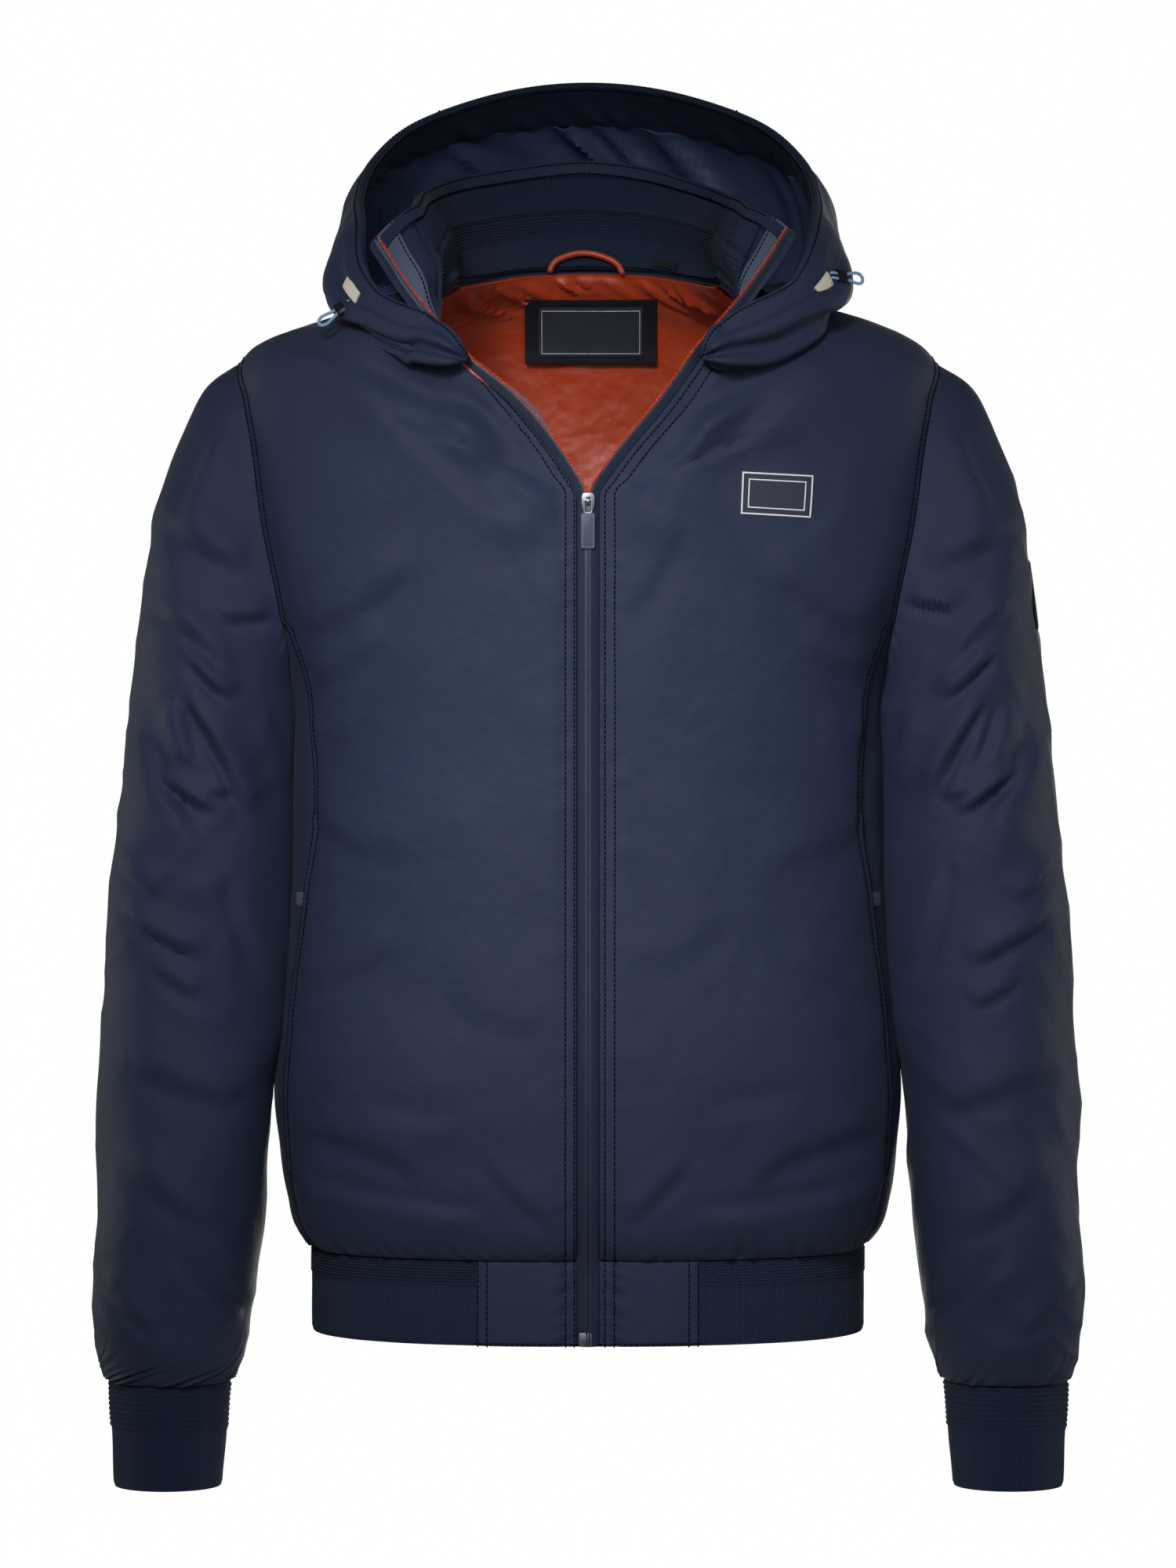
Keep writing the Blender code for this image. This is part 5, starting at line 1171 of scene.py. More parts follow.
def inset_line(outer, n, border, distance, lift=0.0001, first=0.0, last=1.0):
    """Line on the cloth at a distance from one of its borders, with the outward directions."""
    if border in ("bottom", "top"):
        outer, n = np.swapaxes(outer, 0, 1), np.swapaxes(n, 0, 1)
    if border in ("right", "top"):
        outer, n = outer[:, ::-1], n[:, ::-1]
    across = running(outer, 1)
    wanted = distance / skew(outer[:, 0], outer[:, 1])
    line, out = (np.array([[np.interp(wanted[k], across[k], values[k, :, axis]) for axis in range(3)]
                           for k in range(len(outer))]) for values in (outer, n))
    out = unit(out)
    low, high = int(first * (len(line) - 1)), int(last * (len(line) - 1)) + 1
    return (line + out * lift)[low:high], out[low:high]


_seams = []                  # stitch lines, gathered while the cloth is made


def stitch(outer, n, border, distances, **span):
    for distance in distances:
        _seams.append(inset_line(outer, n, border, distance, **span))


# ---- panels ----------------------------------------------------------------------------------
# Creases, in the photograph's pixels: both ends, half width, height in millimetres, bend in pixels,
# and the side on which the trough lies.
FRONT_CREASES = (
    (560, 500, 735, 668, 36, 7, 24, -1), (940, 500, 768, 672, 36, 7, -24, 1),
    (420, 455, 660, 566, 32, 6.4, 18, -1), (1076, 440, 850, 560, 32, 6.4, -18, 1),
    (470, 520, 700, 700, 30, 3, 20, -1), (1030, 500, 800, 690, 30, 3, -20, 1),
    (640, 640, 728, 800, 20, 1.2, 8, 1), (868, 640, 778, 800, 20, 1.2, -8, -1),
    (368, 800, 540, 690, 26, 3, 14, 1), (1132, 800, 970, 695, 26, 3, -14, -1),
    (372, 868, 500, 800, 20, 2.6, 10, 1), (1128, 860, 1010, 800, 20, 2.6, -10, -1),
    (380, 930, 470, 905, 16, 2, 6, -1), (1120, 930, 1040, 908, 16, 2, -6, 1),
    (378, 1010, 560, 1085, 26, 2.2, 16, 1), (1118, 1015, 950, 1090, 26, 2.2, -16, -1),
    (372, 1250, 520, 1180, 24, 2.2, 10, 1), (1126, 1262, 990, 1195, 24, 2.2, -10, -1),
    (560, 1240, 720, 1300, 30, 1.4, 16, 1), (930, 1150, 785, 1220, 30, 1.4, -16, -1),
    (372, 1430, 560, 1500, 24, 3.2, -16, 1), (1132, 1430, 940, 1502, 24, 3.2, 16, -1),
    (384, 1510, 640, 1556, 15, 2.8, 10, -1), (1118, 1512, 870, 1556, 15, 2.8, -10, 1),
    (620, 1470, 728, 1566, 16, 2.2, 8, 1), (880, 1460, 774, 1562, 16, 2.2, -8, -1),
    (450, 1420, 600, 1440, 20, 1.8, 8, -1), (1040, 1400, 900, 1428, 20, 1.8, -8, 1),
)
BACK_CREASES = (
    (420, 560, 700, 640, 34, 3.6, 24, 1), (1080, 560, 800, 650, 34, 3.6, -24, -1),
    (380, 760, 600, 860, 30, 4, 20, 1), (1120, 770, 900, 865, 30, 3.6, -20, -1),
    (420, 1010, 760, 1060, 36, 2.9, 26, 1), (1080, 1180, 740, 1240, 36, 2.9, -22, -1),
    (400, 1400, 700, 1480, 26, 3.6, 18, 1), (1100, 1390, 800, 1500, 26, 3.6, -18, -1),
    (520, 1530, 980, 1550, 18, 2.9, 12, -1),
)
SLEEVE_CREASES = {
    -1: (   # the wearer's right sleeve, left in the photograph
        (262, 782, 362, 772, 14, 4.2, 4, 1), (240, 824, 300, 892, 12, 4.9, 4, 1),
        (222, 880, 248, 984, 12, 4.4, 4, -1), (240, 880, 322, 1054, 13, 5.2, -8, 1),
        (200, 976, 282, 1034, 12, 4.9, 5, 1), (262, 1000, 300, 1006, 12, 2.3, 2, 1),
        (156, 1084, 208, 1142, 12, 3.8, 3, 1), (154, 1148, 272, 1216, 14, 4.9, 8, 1),
        (196, 1224, 262, 1268, 12, 3.8, 4, 1), (300, 540, 250, 700, 21, 3.8, 12, 1),
        (210, 640, 330, 720, 21, 4.1, 10, 1), (196, 760, 300, 860, 15, 3.8, -8, 1),
        (170, 920, 260, 1100, 18, 3.5, 10, -1), (300, 1100, 350, 1260, 16, 3.2, 8, 1),
        (150, 1330, 330, 1390, 25, 3.2, 12, 1), (160, 1460, 300, 1560, 23, 2.9, 12, 1),
        (200, 1600, 320, 1690, 18, 3.2, 8, -1), (130, 1610, 210, 1700, 16, 3.2, 6, 1),
        (349, 804, 384, 788, 12, 2.6, 1, 1), (330, 900, 362, 1010, 12, 3.2, 5, -1),
    ),
    1: (
        (1238, 772, 1140, 752, 12, 5.5, -4, -1), (1268, 818, 1196, 892, 12, 4.9, -4, -1),
        (1286, 890, 1254, 990, 12, 4.1, -4, 1), (1262, 872, 1180, 1030, 13, 4.9, 8, -1),
        (1300, 968, 1212, 1036, 12, 4.6, -5, -1), (1240, 1000, 1196, 1012, 12, 2.3, -2, -1),
        (1342, 1090, 1288, 1150, 12, 3.8, -3, -1), (1340, 1150, 1226, 1226, 14, 4.9, -8, -1),
        (1300, 1240, 1232, 1280, 12, 3.5, -4, -1), (1196, 540, 1254, 690, 21, 3.5, -12, -1),
        (1290, 650, 1172, 712, 21, 4.1, -10, -1), (1302, 750, 1204, 852, 15, 3.8, 8, -1),
        (1330, 930, 1240, 1090, 18, 3.5, -10, 1), (1200, 1090, 1156, 1250, 16, 3.2, -8, -1),
        (1350, 1340, 1172, 1400, 25, 3.2, -12, -1), (1340, 1470, 1200, 1570, 23, 2.9, -12, -1),
        (1300, 1600, 1180, 1690, 18, 3.2, -8, 1), (1368, 1620, 1290, 1704, 16, 3.2, -6, -1),
        (1170, 900, 1140, 1010, 12, 3.2, -5, 1),
    ),
}
PLACKET_ROWS = {1: (0.0032, 0.0092), -1: (0.0012, 0.0067)}     # stitch rows beside the zip
SEAM_ROWS = (0.0014, 0.0062)                                    # double rows beside a seam


def facing_camera(n, way):
    """From 0 to 1, how far the cloth turns to the front (way -1) or to the back (way 1)."""
    return smoothstep((way * n[..., 1] - 0.05) / 0.35)


def turned(side):
    """Columns in the order that makes a panel face outwards on that side."""
    return slice(None) if side > 0 else slice(None, None, -1)


def quiet(distance, reach=0.006):
    return 1 - bell(distance, reach)


def near_armhole(grid, seam):
    """From 0 to 1, how near the cloth is to the armhole's seam."""
    return bell(seam, 0.018) * smoothstep((grid[..., 2] + 0.245) / 0.03)


def placket_rise(distance, along, rows):
    """Flat sewn strip beside the zip, the bulge behind it and the puckers along its stitches."""
    inner, outer_row = rows
    rise = 0.0013 * smoothstep((distance - outer_row) / 0.006) - 0.0004
    rise = rise - 0.0006 * bell(distance, 0.001, inner)
    rise = rise - 0.0011 * bell(distance, 0.0011, outer_row)
    pucker = wave(along, 0.0092, 1.7 * wave(along, 0.051) + distance * 260)
    pucker += 0.7 * wave(along, 0.0151, 1.1 * wave(along, 0.083) + 2 + distance * 130)
    lively = 0.45 + 0.55 * wave(along, 0.19, 0.8) ** 2
    near = bell(distance, 0.007, outer_row)
    return rise + 0.0005 * pucker * near * lively


VALLEY = 0.0052              # depth of the fold along the open edge, above the slider
VALLEY_PLACE = 0.046         # its distance from that edge
CALM = (0.03, 0.02)          # half width and half height of the smooth cloth round the chest badge


def front_panel(side, word):
    grid = seamed(front_surface(side)[:, turned(side)])
    n = normals(grid)
    left, right, low, high = borders(grid)
    front, seam = (left, right) if side > 0 else (right, left)
    up = running(grid, 0)
    x, y = photo_place(grid)
    crease = sizes().crease * crease_rise(x, y, FRONT_CREASES)
    edge = np.minimum(np.minimum(seam, high), low)
    rise = crease * quiet(edge, 0.01) * quiet(front, 0.016)
    rise += sizes().ripple * ripples(grid, 1.0 + side) * quiet(edge, 0.01) * quiet(front, 0.014)
    rise += 0.0004 * crumple(grid, 2.0 + side) * quiet(edge, 0.01) * quiet(front, 0.016)
    rise += seam_rise(np.minimum(seam, high), 0.5) + seam_rise(low)
    for row in SEAM_ROWS:
        rise -= 0.0005 * bell(seam, 0.001, row)
    rise += 0.0006 * smoothstep((seam - SEAM_ROWS[1]) / 0.006)
    rise = np.where(rise > 0, rise * (1 - near_armhole(grid, seam)), rise)
    badge = np.hypot((grid[..., 0] - CHEST_BADGE_PLACE[0]) / CALM[0],
                     (grid[..., 2] - CHEST_BADGE_PLACE[1]) / CALM[1])
    rise = np.minimum(rise, 0.0002 + 0.014 * smoothstep((badge - 1) / 1.8))
    above_slider = smoothstep((grid[..., 2] + 0.15) / 0.06) * quiet(high, 0.012)
    rise -= VALLEY * bell(front, 0.013, VALLEY_PLACE) * above_slider
    rise += placket_rise(front, up, PLACKET_ROWS[side])
    rise += sizes().gather * gathers(running(grid, 1), low, 0.011, side) * quiet(front, 0.01)
    rise += 0.5 * sizes().gather * gathers(running(grid, 1), high, 0.01, 2 + side) * quiet(front, 0.01)
    outer, n = shell_piece(f"shell_front_{word}", f"front_{word}", grid, rise, n=n)
    zip_side, seam_side = ("left", "right") if side > 0 else ("right", "left")
    stitch(outer, n, zip_side, PLACKET_ROWS[side])
    stitch(outer, n, seam_side, SEAM_ROWS)


def side_panel(side, word):
    grid = seamed(side_surface(side)[:, turned(side)])
    left, right, low, high = borders(grid)
    edge = np.minimum(np.minimum(left, right), high)
    rise = sizes().ripple * ripples(grid, 3.0 + side) * quiet(edge) * quiet(low)
    rise += seam_rise(np.minimum(edge, low))
    rise += sizes().gather * gathers(running(grid, 1), low, 0.011, 4 + side)
    shell_piece(f"shell_side_{word}", f"side_{word}", grid, rise)


BACK_SHARE = 0.8             # of the grid's rows and columns that the back takes


def back_panel():
    whole = back_surface()
    rows, columns = (np.linspace(0, count - 1, int(count * BACK_SHARE)) for count in whole.shape[:2])
    grid = seamed(resampled(whole, rows, columns))
    n = normals(grid)
    left, right, low, high = borders(grid)
    edge = np.minimum(np.minimum(left, right), high)
    x, y = photo_place(grid)
    rise = sizes().crease * crease_rise(x, y, BACK_CREASES) * quiet(np.minimum(edge, low), 0.012)
    rise += sizes().ripple * ripples(grid, 5.0) * quiet(np.minimum(edge, low), 0.01)
    rise += seam_rise(edge, 0.5) + seam_rise(low)
    rise += sizes().gather * gathers(running(grid, 1), low, 0.012, 6.0)
    rise = np.where(rise > 0, rise * (1 - near_armhole(grid, np.minimum(left, right))), rise)
    outer, n = shell_piece("shell_back", "back", grid, rise, n=n)
    for border in ("left", "right"):
        stitch(outer, n, border, SEAM_ROWS, first=0.52)


SLEEVE_REST = 0.0088         # how far the sleeve leans towards the body in front
SLEEVE_LINES = 250           # rows of the fine sleeve
TUCK = 0.0032                # how deep the sleeve's first row lies under the body at the armhole


def sleeve_panel(side, word):
    psi = armhole_places()
    close = np.array((0, 0.2, 0.5, 0.8))        # rows close to both seams
    rows = np.r_[0, close, np.linspace(1.2, SLEEVE_ROWS - 1.2, SLEEVE_LINES), SLEEVE_ROWS - close[::-1]]
    grid = resampled(mirrored(sleeve_rings(psi, SLEEVE_ROWS), side), rows, np.arange(len(psi), dtype=float))
    n = normals(grid[1:], True)
    n = np.concatenate((n[:1], n))
    grid[0] -= unit(grid[4] - grid[1]) * 0.007
    up = running(grid, 0)
    low, high = up - up[1], up[-1:] - up        # row 1 is at the armhole, the last one at the cuff
    across = running(looped(grid), 1)[:, :-1]
    x, y = photo_place(grid)
    rise = crease_rise(x, y, SLEEVE_CREASES[side]) * facing_camera(n, -1)
    rise += crease_rise(PHOTO_WIDTH - x, y + 35, SLEEVE_CREASES[-side]) * facing_camera(n, 1)
    rise *= sizes().crease * quiet(low, 0.014) * quiet(high, 0.012)
    rise += 1.2 * sizes().ripple * ripples(grid, 7.0 + side) * quiet(low, 0.02) * quiet(high, 0.01)
    rise += 0.0011 * crumple(grid, 4.0 + side) * quiet(low, 0.05) * quiet(high, 0.012)
    rise += seam_rise(low, 0.15) + seam_rise(high)
    rise += 1.2 * sizes().gather * gathers(across, high, 0.014, 8 + side)
    rise += 0.4 * sizes().gather * gathers(across, low, 0.008, 9 + side)
    inwards = smoothstep((-side * n[..., 0] - 0.2) / 0.5) * bell(grid[..., 1], 0.024, -0.035)
    window = smoothstep((-0.215 - grid[..., 2]) / 0.03) * smoothstep((grid[..., 2] + 0.485) / 0.05)
    rise = rise * (1 - 0.7 * inwards * window) + SLEEVE_REST * inwards * window
    rise[0] = -TUCK
    shell_piece(f"shell_sleeve_{word}", f"sleeve_{word}", grid, rise, closed=True, n=n, skip=3)


# ---- knit ------------------------------------------------------------------------------------
def ridge_rise(place, first, last, count, height):
    """Rounded ridges between two places along the cloth."""
    share = (place - first) / (last - first)
    inside = (share > 0) & (share < 1)
    return np.where(inside, height * np.abs(np.sin(pi * count * np.clip(share, 0, 1))) ** 0.7, 0.0)


def cuff(side, word):
    heights = np.r_[np.linspace(CUFF_BOTTOM_Z, CUFF_RIDGE_BOTTOM_Z, 14)[:-1],
                    np.linspace(CUFF_RIDGE_BOTTOM_Z, CUFF_RIDGE_TOP_Z, 6 * CUFF_RIDGES + 1),
                    CUFF_TOP_Z - 0.0002]
    share = ((heights - CUFF_TOP_Z) / (CUFF_BOTTOM_Z - CUFF_TOP_Z))[:, None]
    turn = np.linspace(0, 2 * pi, 72, endpoint=False)[None, :]
    radius = CUFF_R_TOP + (CUFF_R_BOTTOM - CUFF_R_TOP) * share
    radius = radius * (1 + 0.012 * np.sin(2 * turn + side) + 0.006 * np.sin(3 * turn + 9 * share))
    centre = CUFF_X_TOP + (CUFF_X_BOTTOM - CUFF_X_TOP) * share
    z = np.broadcast_to(heights[:, None], radius.shape)
    grid = np.stack((centre + radius * np.cos(turn), CUFF_Y + radius * np.sin(turn), z), -1)
    grid = mirrored(grid, side)
    slant = 0.001 * np.sin(np.arctan2(grid[..., 1] - CUFF_Y, grid[..., 0] - side * 0.2644) + 0.6)
    rise = ridge_rise(grid[..., 2] + slant, CUFF_RIDGE_BOTTOM_Z, CUFF_RIDGE_TOP_Z, CUFF_RIDGES,
                      CUFF_RIDGE_HEIGHT)
    bottom = grid[..., 2] - CUFF_BOTTOM_Z
    rise -= 0.0008 * bell(bottom, 0.0012)
    cloth_piece(f"knit_cuff_{word}", f"cuff_{word}", "knit_cuff", grid, rise, KNIT, finish("knit"),
                closed=True, held="stretched", follow=0.0)


HEM_RIDGED = (0.0165, 0.0015)    # lower and upper end of the ridged zone, below the hem's seam
HEM_RIDGES, HEM_RIDGE_HEIGHT = 8, 0.0007
HEM_COLUMNS = 220


def hem():
    top = HEM_TOP - 0.0002
    start = float(band_angle(TAB_EDGE))
    theta = np.linspace(start, 2 * pi - start, HEM_COLUMNS)
    ridge_low, ridge_top = (top - below for below in HEM_RIDGED)
    heights = np.r_[np.linspace(HEM_BOTTOM, ridge_low, 14)[:-1], np.linspace(ridge_low, ridge_top, 49), top]
    grid = band_ring(theta[None, :], heights[:, None])
    bottom = grid[..., 2] - HEM_BOTTOM
    rise = ridge_rise(grid[..., 2], ridge_low, ridge_top, HEM_RIDGES, HEM_RIDGE_HEIGHT)
    rise -= 0.0008 * bell(bottom, 0.0012)
    rise += 0.0006 * ripples(grid, 2.0)
    cloth_piece("knit_hem", "hem_rib", "knit_hem", grid, rise, KNIT, finish("knit"), held="stretched",
                follow=0.0)
    first = float(band_angle(CENTRE_EDGE))
    for side, word in SIDES:
        theta = np.linspace(first, start, 60)
        z = np.linspace(HEM_BOTTOM, top, 50)
        tab = seamed(mirrored(band_ring(theta[None, :], z[:, None]), side))
        left, right, low, high = borders(tab)
        front, outer_side = (left, right) if side > 0 else (right, left)
        rise = seam_rise(np.minimum(high, outer_side)) - 0.0006 * bell(low, 0.0012)
        rise += placket_rise(front, running(tab, 0), PLACKET_ROWS[side])
        rise += 0.5 * sizes().ripple * ripples(tab, 6.0 + side)
        outer, n = shell_piece(f"shell_hem_tab_{word}", f"hem_tab_{word}", tab, rise)
        zip_side, far = ("left", "right") if side > 0 else ("right", "left")
        stitch(outer, n, zip_side, PLACKET_ROWS[side], first=0.05, last=0.97)
        stitch(outer, n, far, (0.0015, 0.0075), first=0.05, last=0.97)
        stitch(outer, n, "bottom", (0.0016,))


# ---- collar and facings ----------------------------------------------------------------------
LAPEL = 0.034                # how far the stand bends in behind its front edges
STRIP_FOOT = 0.845           # share of the stand's height where the strip over its top edge ends inside
COLLAR_FACING = 0.031        # width of the strip up the collar as it is worn


def worn_collar(share):
    """The collar's surface, bent in a little behind both front edges, which so turn outwards."""
    grid = collar_surface(share)
    across = running(grid, 1)
    from_edge = np.minimum(across, across[:, -1:] - across)
    bend = smoothstep(from_edge / 0.064) * (1 - smoothstep((from_edge - 0.055) / 0.12))
    height = smoothstep(np.asarray(share) / 0.5)[:, None] * (1 - 0.25 * np.asarray(share)[:, None])
    level = normals(grid) * np.array((1, 1, 0))
    return grid - level * (LAPEL * bend * height)[..., None]


def collar():
    share = np.r_[COLLAR_FOOT, 0.03, 0.07, np.linspace(0.12, 0.82, 24), STRIP_FOOT, 0.86, 0.875, 0.9, 0.93,
                  0.96, 0.985, 1.0]
    grid = seamed(worn_collar(share))
    share = np.interp(with_borders(len(share)), range(len(share)), share)
    n = normals(grid)
    left, right, low, high = borders(grid)
    rise = seam_rise(low) + 0.6 * sizes().ripple * ripples(grid, 4.4) * quiet(np.minimum(low, high))
    rise -= 0.0012 * bell(high, 0.0016)
    ends = np.minimum(left, right)
    strip = smoothstep((share - STRIP_FOOT) / 0.03)[:, None] * quiet(ends, 0.004)
    deep = SHELL + strip * (RIB_CLEAR + KNIT + 0.0005) - 0.0014 * bell(high, 0.0018)
    deep -= 0.0004 * bell(high, 0.0009, 0.0105) * strip
    outer = grid + n * rise[..., None]
    inner = grid + n * (np.minimum(rise, 0) - deep)[..., None]
    walled("shell_collar", "collar_outer", outer, inner, finish("shell"))
    stitch(inner[:, ::-1], -n[:, ::-1], "top", (0.0095, 0.0022), first=0.06, last=0.94)
    stitch(outer, n, "top", (0.0095,), first=0.02, last=0.98)
    knit_collar()


def knit_collar():
    rows = np.r_[0.012, 0.05, 0.09, np.linspace(0.13, 0.27, 8), np.linspace(0.28, 0.56, 6 * RIB_RIDGES + 1),
                 np.linspace(0.57, 0.8, 10), 0.83, STRIP_FOOT]
    whole = worn_collar(np.linspace(COLLAR_FOOT, 1, 61))
    count = whole.shape[1] - 1
    start = RIB_START * count / (2 * NECK_COLUMNS + BACK_NECK_COLUMNS) * FINE
    row = (rows - COLLAR_FOOT) / (1 - COLLAR_FOOT) * 60
    start += (COLLAR_FACING - FACING_WIDTH) / np.mean(running(whole, 1)[:, -1]) * count
    column = np.linspace(start, count - start, 170)
    grid = resampled(whole, row, column)
    n = unit(resampled(normals(whole), row, column))
    base = grid - n * (SHELL + RIB_CLEAR)
    turn = np.abs(np.linspace(-1, 1, base.shape[1]))[None, :]
    slant = 0.1 * smoothstep((turn - 0.45) / 0.55)      # the ridges run down towards the front
    rise = ridge_rise(rows[:, None] + slant, 0.28, 0.56, RIB_RIDGES, RIB_RIDGE_HEIGHT * 1.4)
    rise += ridge_rise(rows[:, None] - 0.34 + 1.2 * slant, 0.28, 0.5, 6, RIB_RIDGE_HEIGHT) \
        * smoothstep((turn - 0.55) / 0.2)
    inner = base - n * (KNIT + rise)[..., None]
    walled("knit_collar", "collar_rib", inner[:, ::-1], base[:, ::-1], finish("knit"))


FLAP = 0.0125                # how far the flap behind the zip reaches past the panel's edge


def edge_strip(side, collared):
    """Grid of the strip inside the front edge, on the outer surface: of the collar or the panel."""
    reach = np.linspace(FACING_MARGIN, COLLAR_FACING if collared else FACING_WIDTH, 16)[None, :]
    if collared:
        whole = worn_collar(np.linspace(COLLAR_FOOT, 1, 41))
        whole = whole if side > 0 else whole[:, ::-1]
        across = running(whole, 1)
        grid = np.array([[[np.interp(w, across[k], whole[k, :, a]) for a in range(3)] for w in reach[0]]
                         for k in range(len(whole))])
    else:
        line, _, away = front_edge(side)
        first = np.searchsorted(line[:, 2], front_surface(side)[FACING_ROW * FINE, 0, 2])
        last = np.searchsorted(line[:, 2], V_EDGE[side][-1, 0] - 0.002)
        share = np.linspace(0, 1, last - first)[:, None]
        if side < 0:        # the flap behind the zip shows on this side
            reach = reach - FLAP * np.sin(pi * share) ** 0.5 * (1 - reach / FACING_WIDTH)
        reach = np.broadcast_to(reach, (last - first, reach.shape[1]))[..., None]
        flat = line[first:last, None] - away[first:last, None] * reach
        grid = on_front(np.abs(flat[..., 0]), flat[..., 2]) * np.array((side, 1, 1))
    return grid if side > 0 else grid[:, ::-1]


def facings():
    """Strips inside the front edge: one up the V of the panel, one up the collar."""
    for side, word in SIDES:
        for node, collared in ((f"front_facing_{word}", False), (f"collar_facing_{word}", True)):
            base = edge_strip(side, collared)
            out = normals(base)
            left, right, _, _ = borders(base)
            beside_seam = bell(np.minimum(left, right), 0.0008, 0.0022)
            grid = base - out * (SHELL + FACING_CLEAR)
            seen = grid - out * (FACING - 0.0004 * beside_seam)[..., None]
            walled(f"strip_{node}", node, seen[:, ::-1], grid[:, ::-1],
                   finish("facing"))
            for border in ("left", "right"):
                stitch(seen[:, ::-1], -out[:, ::-1], border, (0.0022,))


# ---- hood ------------------------------------------------------------------------------------
def hood_surface():
    """Whole hood, from the right front end round the back to the left one, and its shares."""
    place = np.linspace(0, 1, HOOD_COLUMNS * FINE + 1)
    last = len(HOOD_ROWS) - 1
    share = np.interp(np.linspace(0, last, last * FINE + 1), range(last + 1), HOOD_ROWS)
    right = hood_points(1, place, share)
    left = hood_points(-1, place, share)[:, -2::-1]
    around = np.r_[place, place[-2::-1]]
    whole = np.concatenate((right, left), axis=1)
    columns = np.arange(whole.shape[1])
    middle = bell(columns, 16.0, HOOD_COLUMNS * FINE)[None, :, None]
    soft = np.stack([np.roll(whole, k, axis=1) for k in range(-10, 11)]).mean(axis=0)
    return whole * (1 - middle) + soft * middle, share[:, None], around[None, :]


HOOD_LEAN = 0.011            # how far the hood's front ends lean on the collar
FRONT_COLUMNS = 14           # added in front of each end of the hood
HOOD_TIPS = {1: np.array((0.069, -0.1215, -0.029)), -1: np.array((-0.0735, -0.12, -0.03))}


def with_fronts(whole, share, around):
    """Adds to the worn hood the two ends that taper to the zip's edge, and leans them inwards."""
    lean = HOOD_LEAN * smoothstep((share - 0.5) / 0.5) * (1 - smoothstep((around - 0.03) / 0.15))
    worn = whole.copy()
    worn[..., 0] -= np.sign(whole[..., 0]) * lean
    worn[..., 2] += 0.4 * lean
    t = np.linspace(0, 1, FRONT_COLUMNS + 1)[1:, None]
    ends = {}
    for side, column in ((1, worn[:, 0]), (-1, worn[:, -1])):
        middle = column.mean(axis=0)
        path = middle + (HOOD_TIPS[side] - middle) * t + np.array((0, -0.004, 0)) * np.sin(pi * t)
        ends[side] = path[None] + (column - middle)[:, None] * (1 - 0.88 * t ** 1.6)[None]
    return np.concatenate((ends[1][:, ::-1], worn, ends[-1]), axis=1)


def inner_cloth(name, node, grid, n, start, thickness, rise, mat):
    """Cloth on the inner side of a surface; rise lifts it further in."""
    rise = np.maximum(np.broadcast_to(rise, grid.shape[:2]), 0)[..., None]
    outer = grid - n * (start + 0.8 * rise)
    inner = grid - n * (start + thickness + rise)
    walled(name, node, outer, inner, mat)
    return inner


def pleats(along, pitch, seed):
    """Uneven sharp pleats, from 0 to 1."""
    fold = wave(along, pitch, 1.4 * wave(along, 3.3 * pitch, seed) + seed)
    return (0.5 + 0.5 * fold) ** 2 * (0.65 + 0.35 * wave(along, 2.2 * pitch, 2 * seed))


def hood():
    whole, share, around = hood_surface()
    hood_inside(whole, normals(whole), running(whole, 1))
    whole = with_fronts(whole, share, around)
    around = np.pad(around, ((0, 0), (FRONT_COLUMNS, FRONT_COLUMNS)))
    n = normals(whole)
    last = whole.shape[1] - 1
    cut = HOOD_SIDE_COLUMNS * FINE + FRONT_COLUMNS
    along = running(whole, 1)
    up = running(whole, 0)
    low, high = up, up[-1:] - up
    lobe = (1 - smoothstep((around - 0.22) / 0.24)) * np.sin(pi * share) ** 0.8
    folds = powered(np.sin(2 * pi * (share * 4.2 + 0.1 * np.sin(around * 31) + 1.1 * around)), 0.6)
    crown = smoothstep((around - 0.4) / 0.3) * np.sin(pi * share)
    sag = np.sin(2 * pi * (share * 2.1 + 0.22 * np.sin(around * 11) + 0.3))
    rise = 0.0042 * lobe * folds + 0.003 * crown * sag + 0.0005 * crumple(whole, 3.0)
    rise += sizes().ripple * 1.5 * ripples(whole, 11.0)
    rise *= quiet(low, 0.008) * quiet(high, 0.008)
    rise += seam_rise(low) - 0.0012 * bell(high, 0.002)
    rise += sizes().gather * gathers(along, low, 0.012, 3.0)
    for seam in (cut, last - cut):
        rise += seam_rise(np.abs(along - along[:, seam:seam + 1])) * quiet(high, 0.012)
    for word, first, end in (("right", last - cut, last), ("centre", cut, last - cut), ("left", 0, cut)):
        columns = slice(first, end + 1)
        outer, out = cloth_piece(f"shell_hood_{word}", f"hood_{word}", "shell_cloth", whole[:, columns],
                                 rise[:, columns], SHELL, finish("shell"), n=n[:, columns], held="gathered",
                                 follow=0.5)
        stitch(outer, out, "top", (0.003,))
        if word != "centre":
            stitch(outer, out, "left" if word == "right" else "right", (0.0016,))


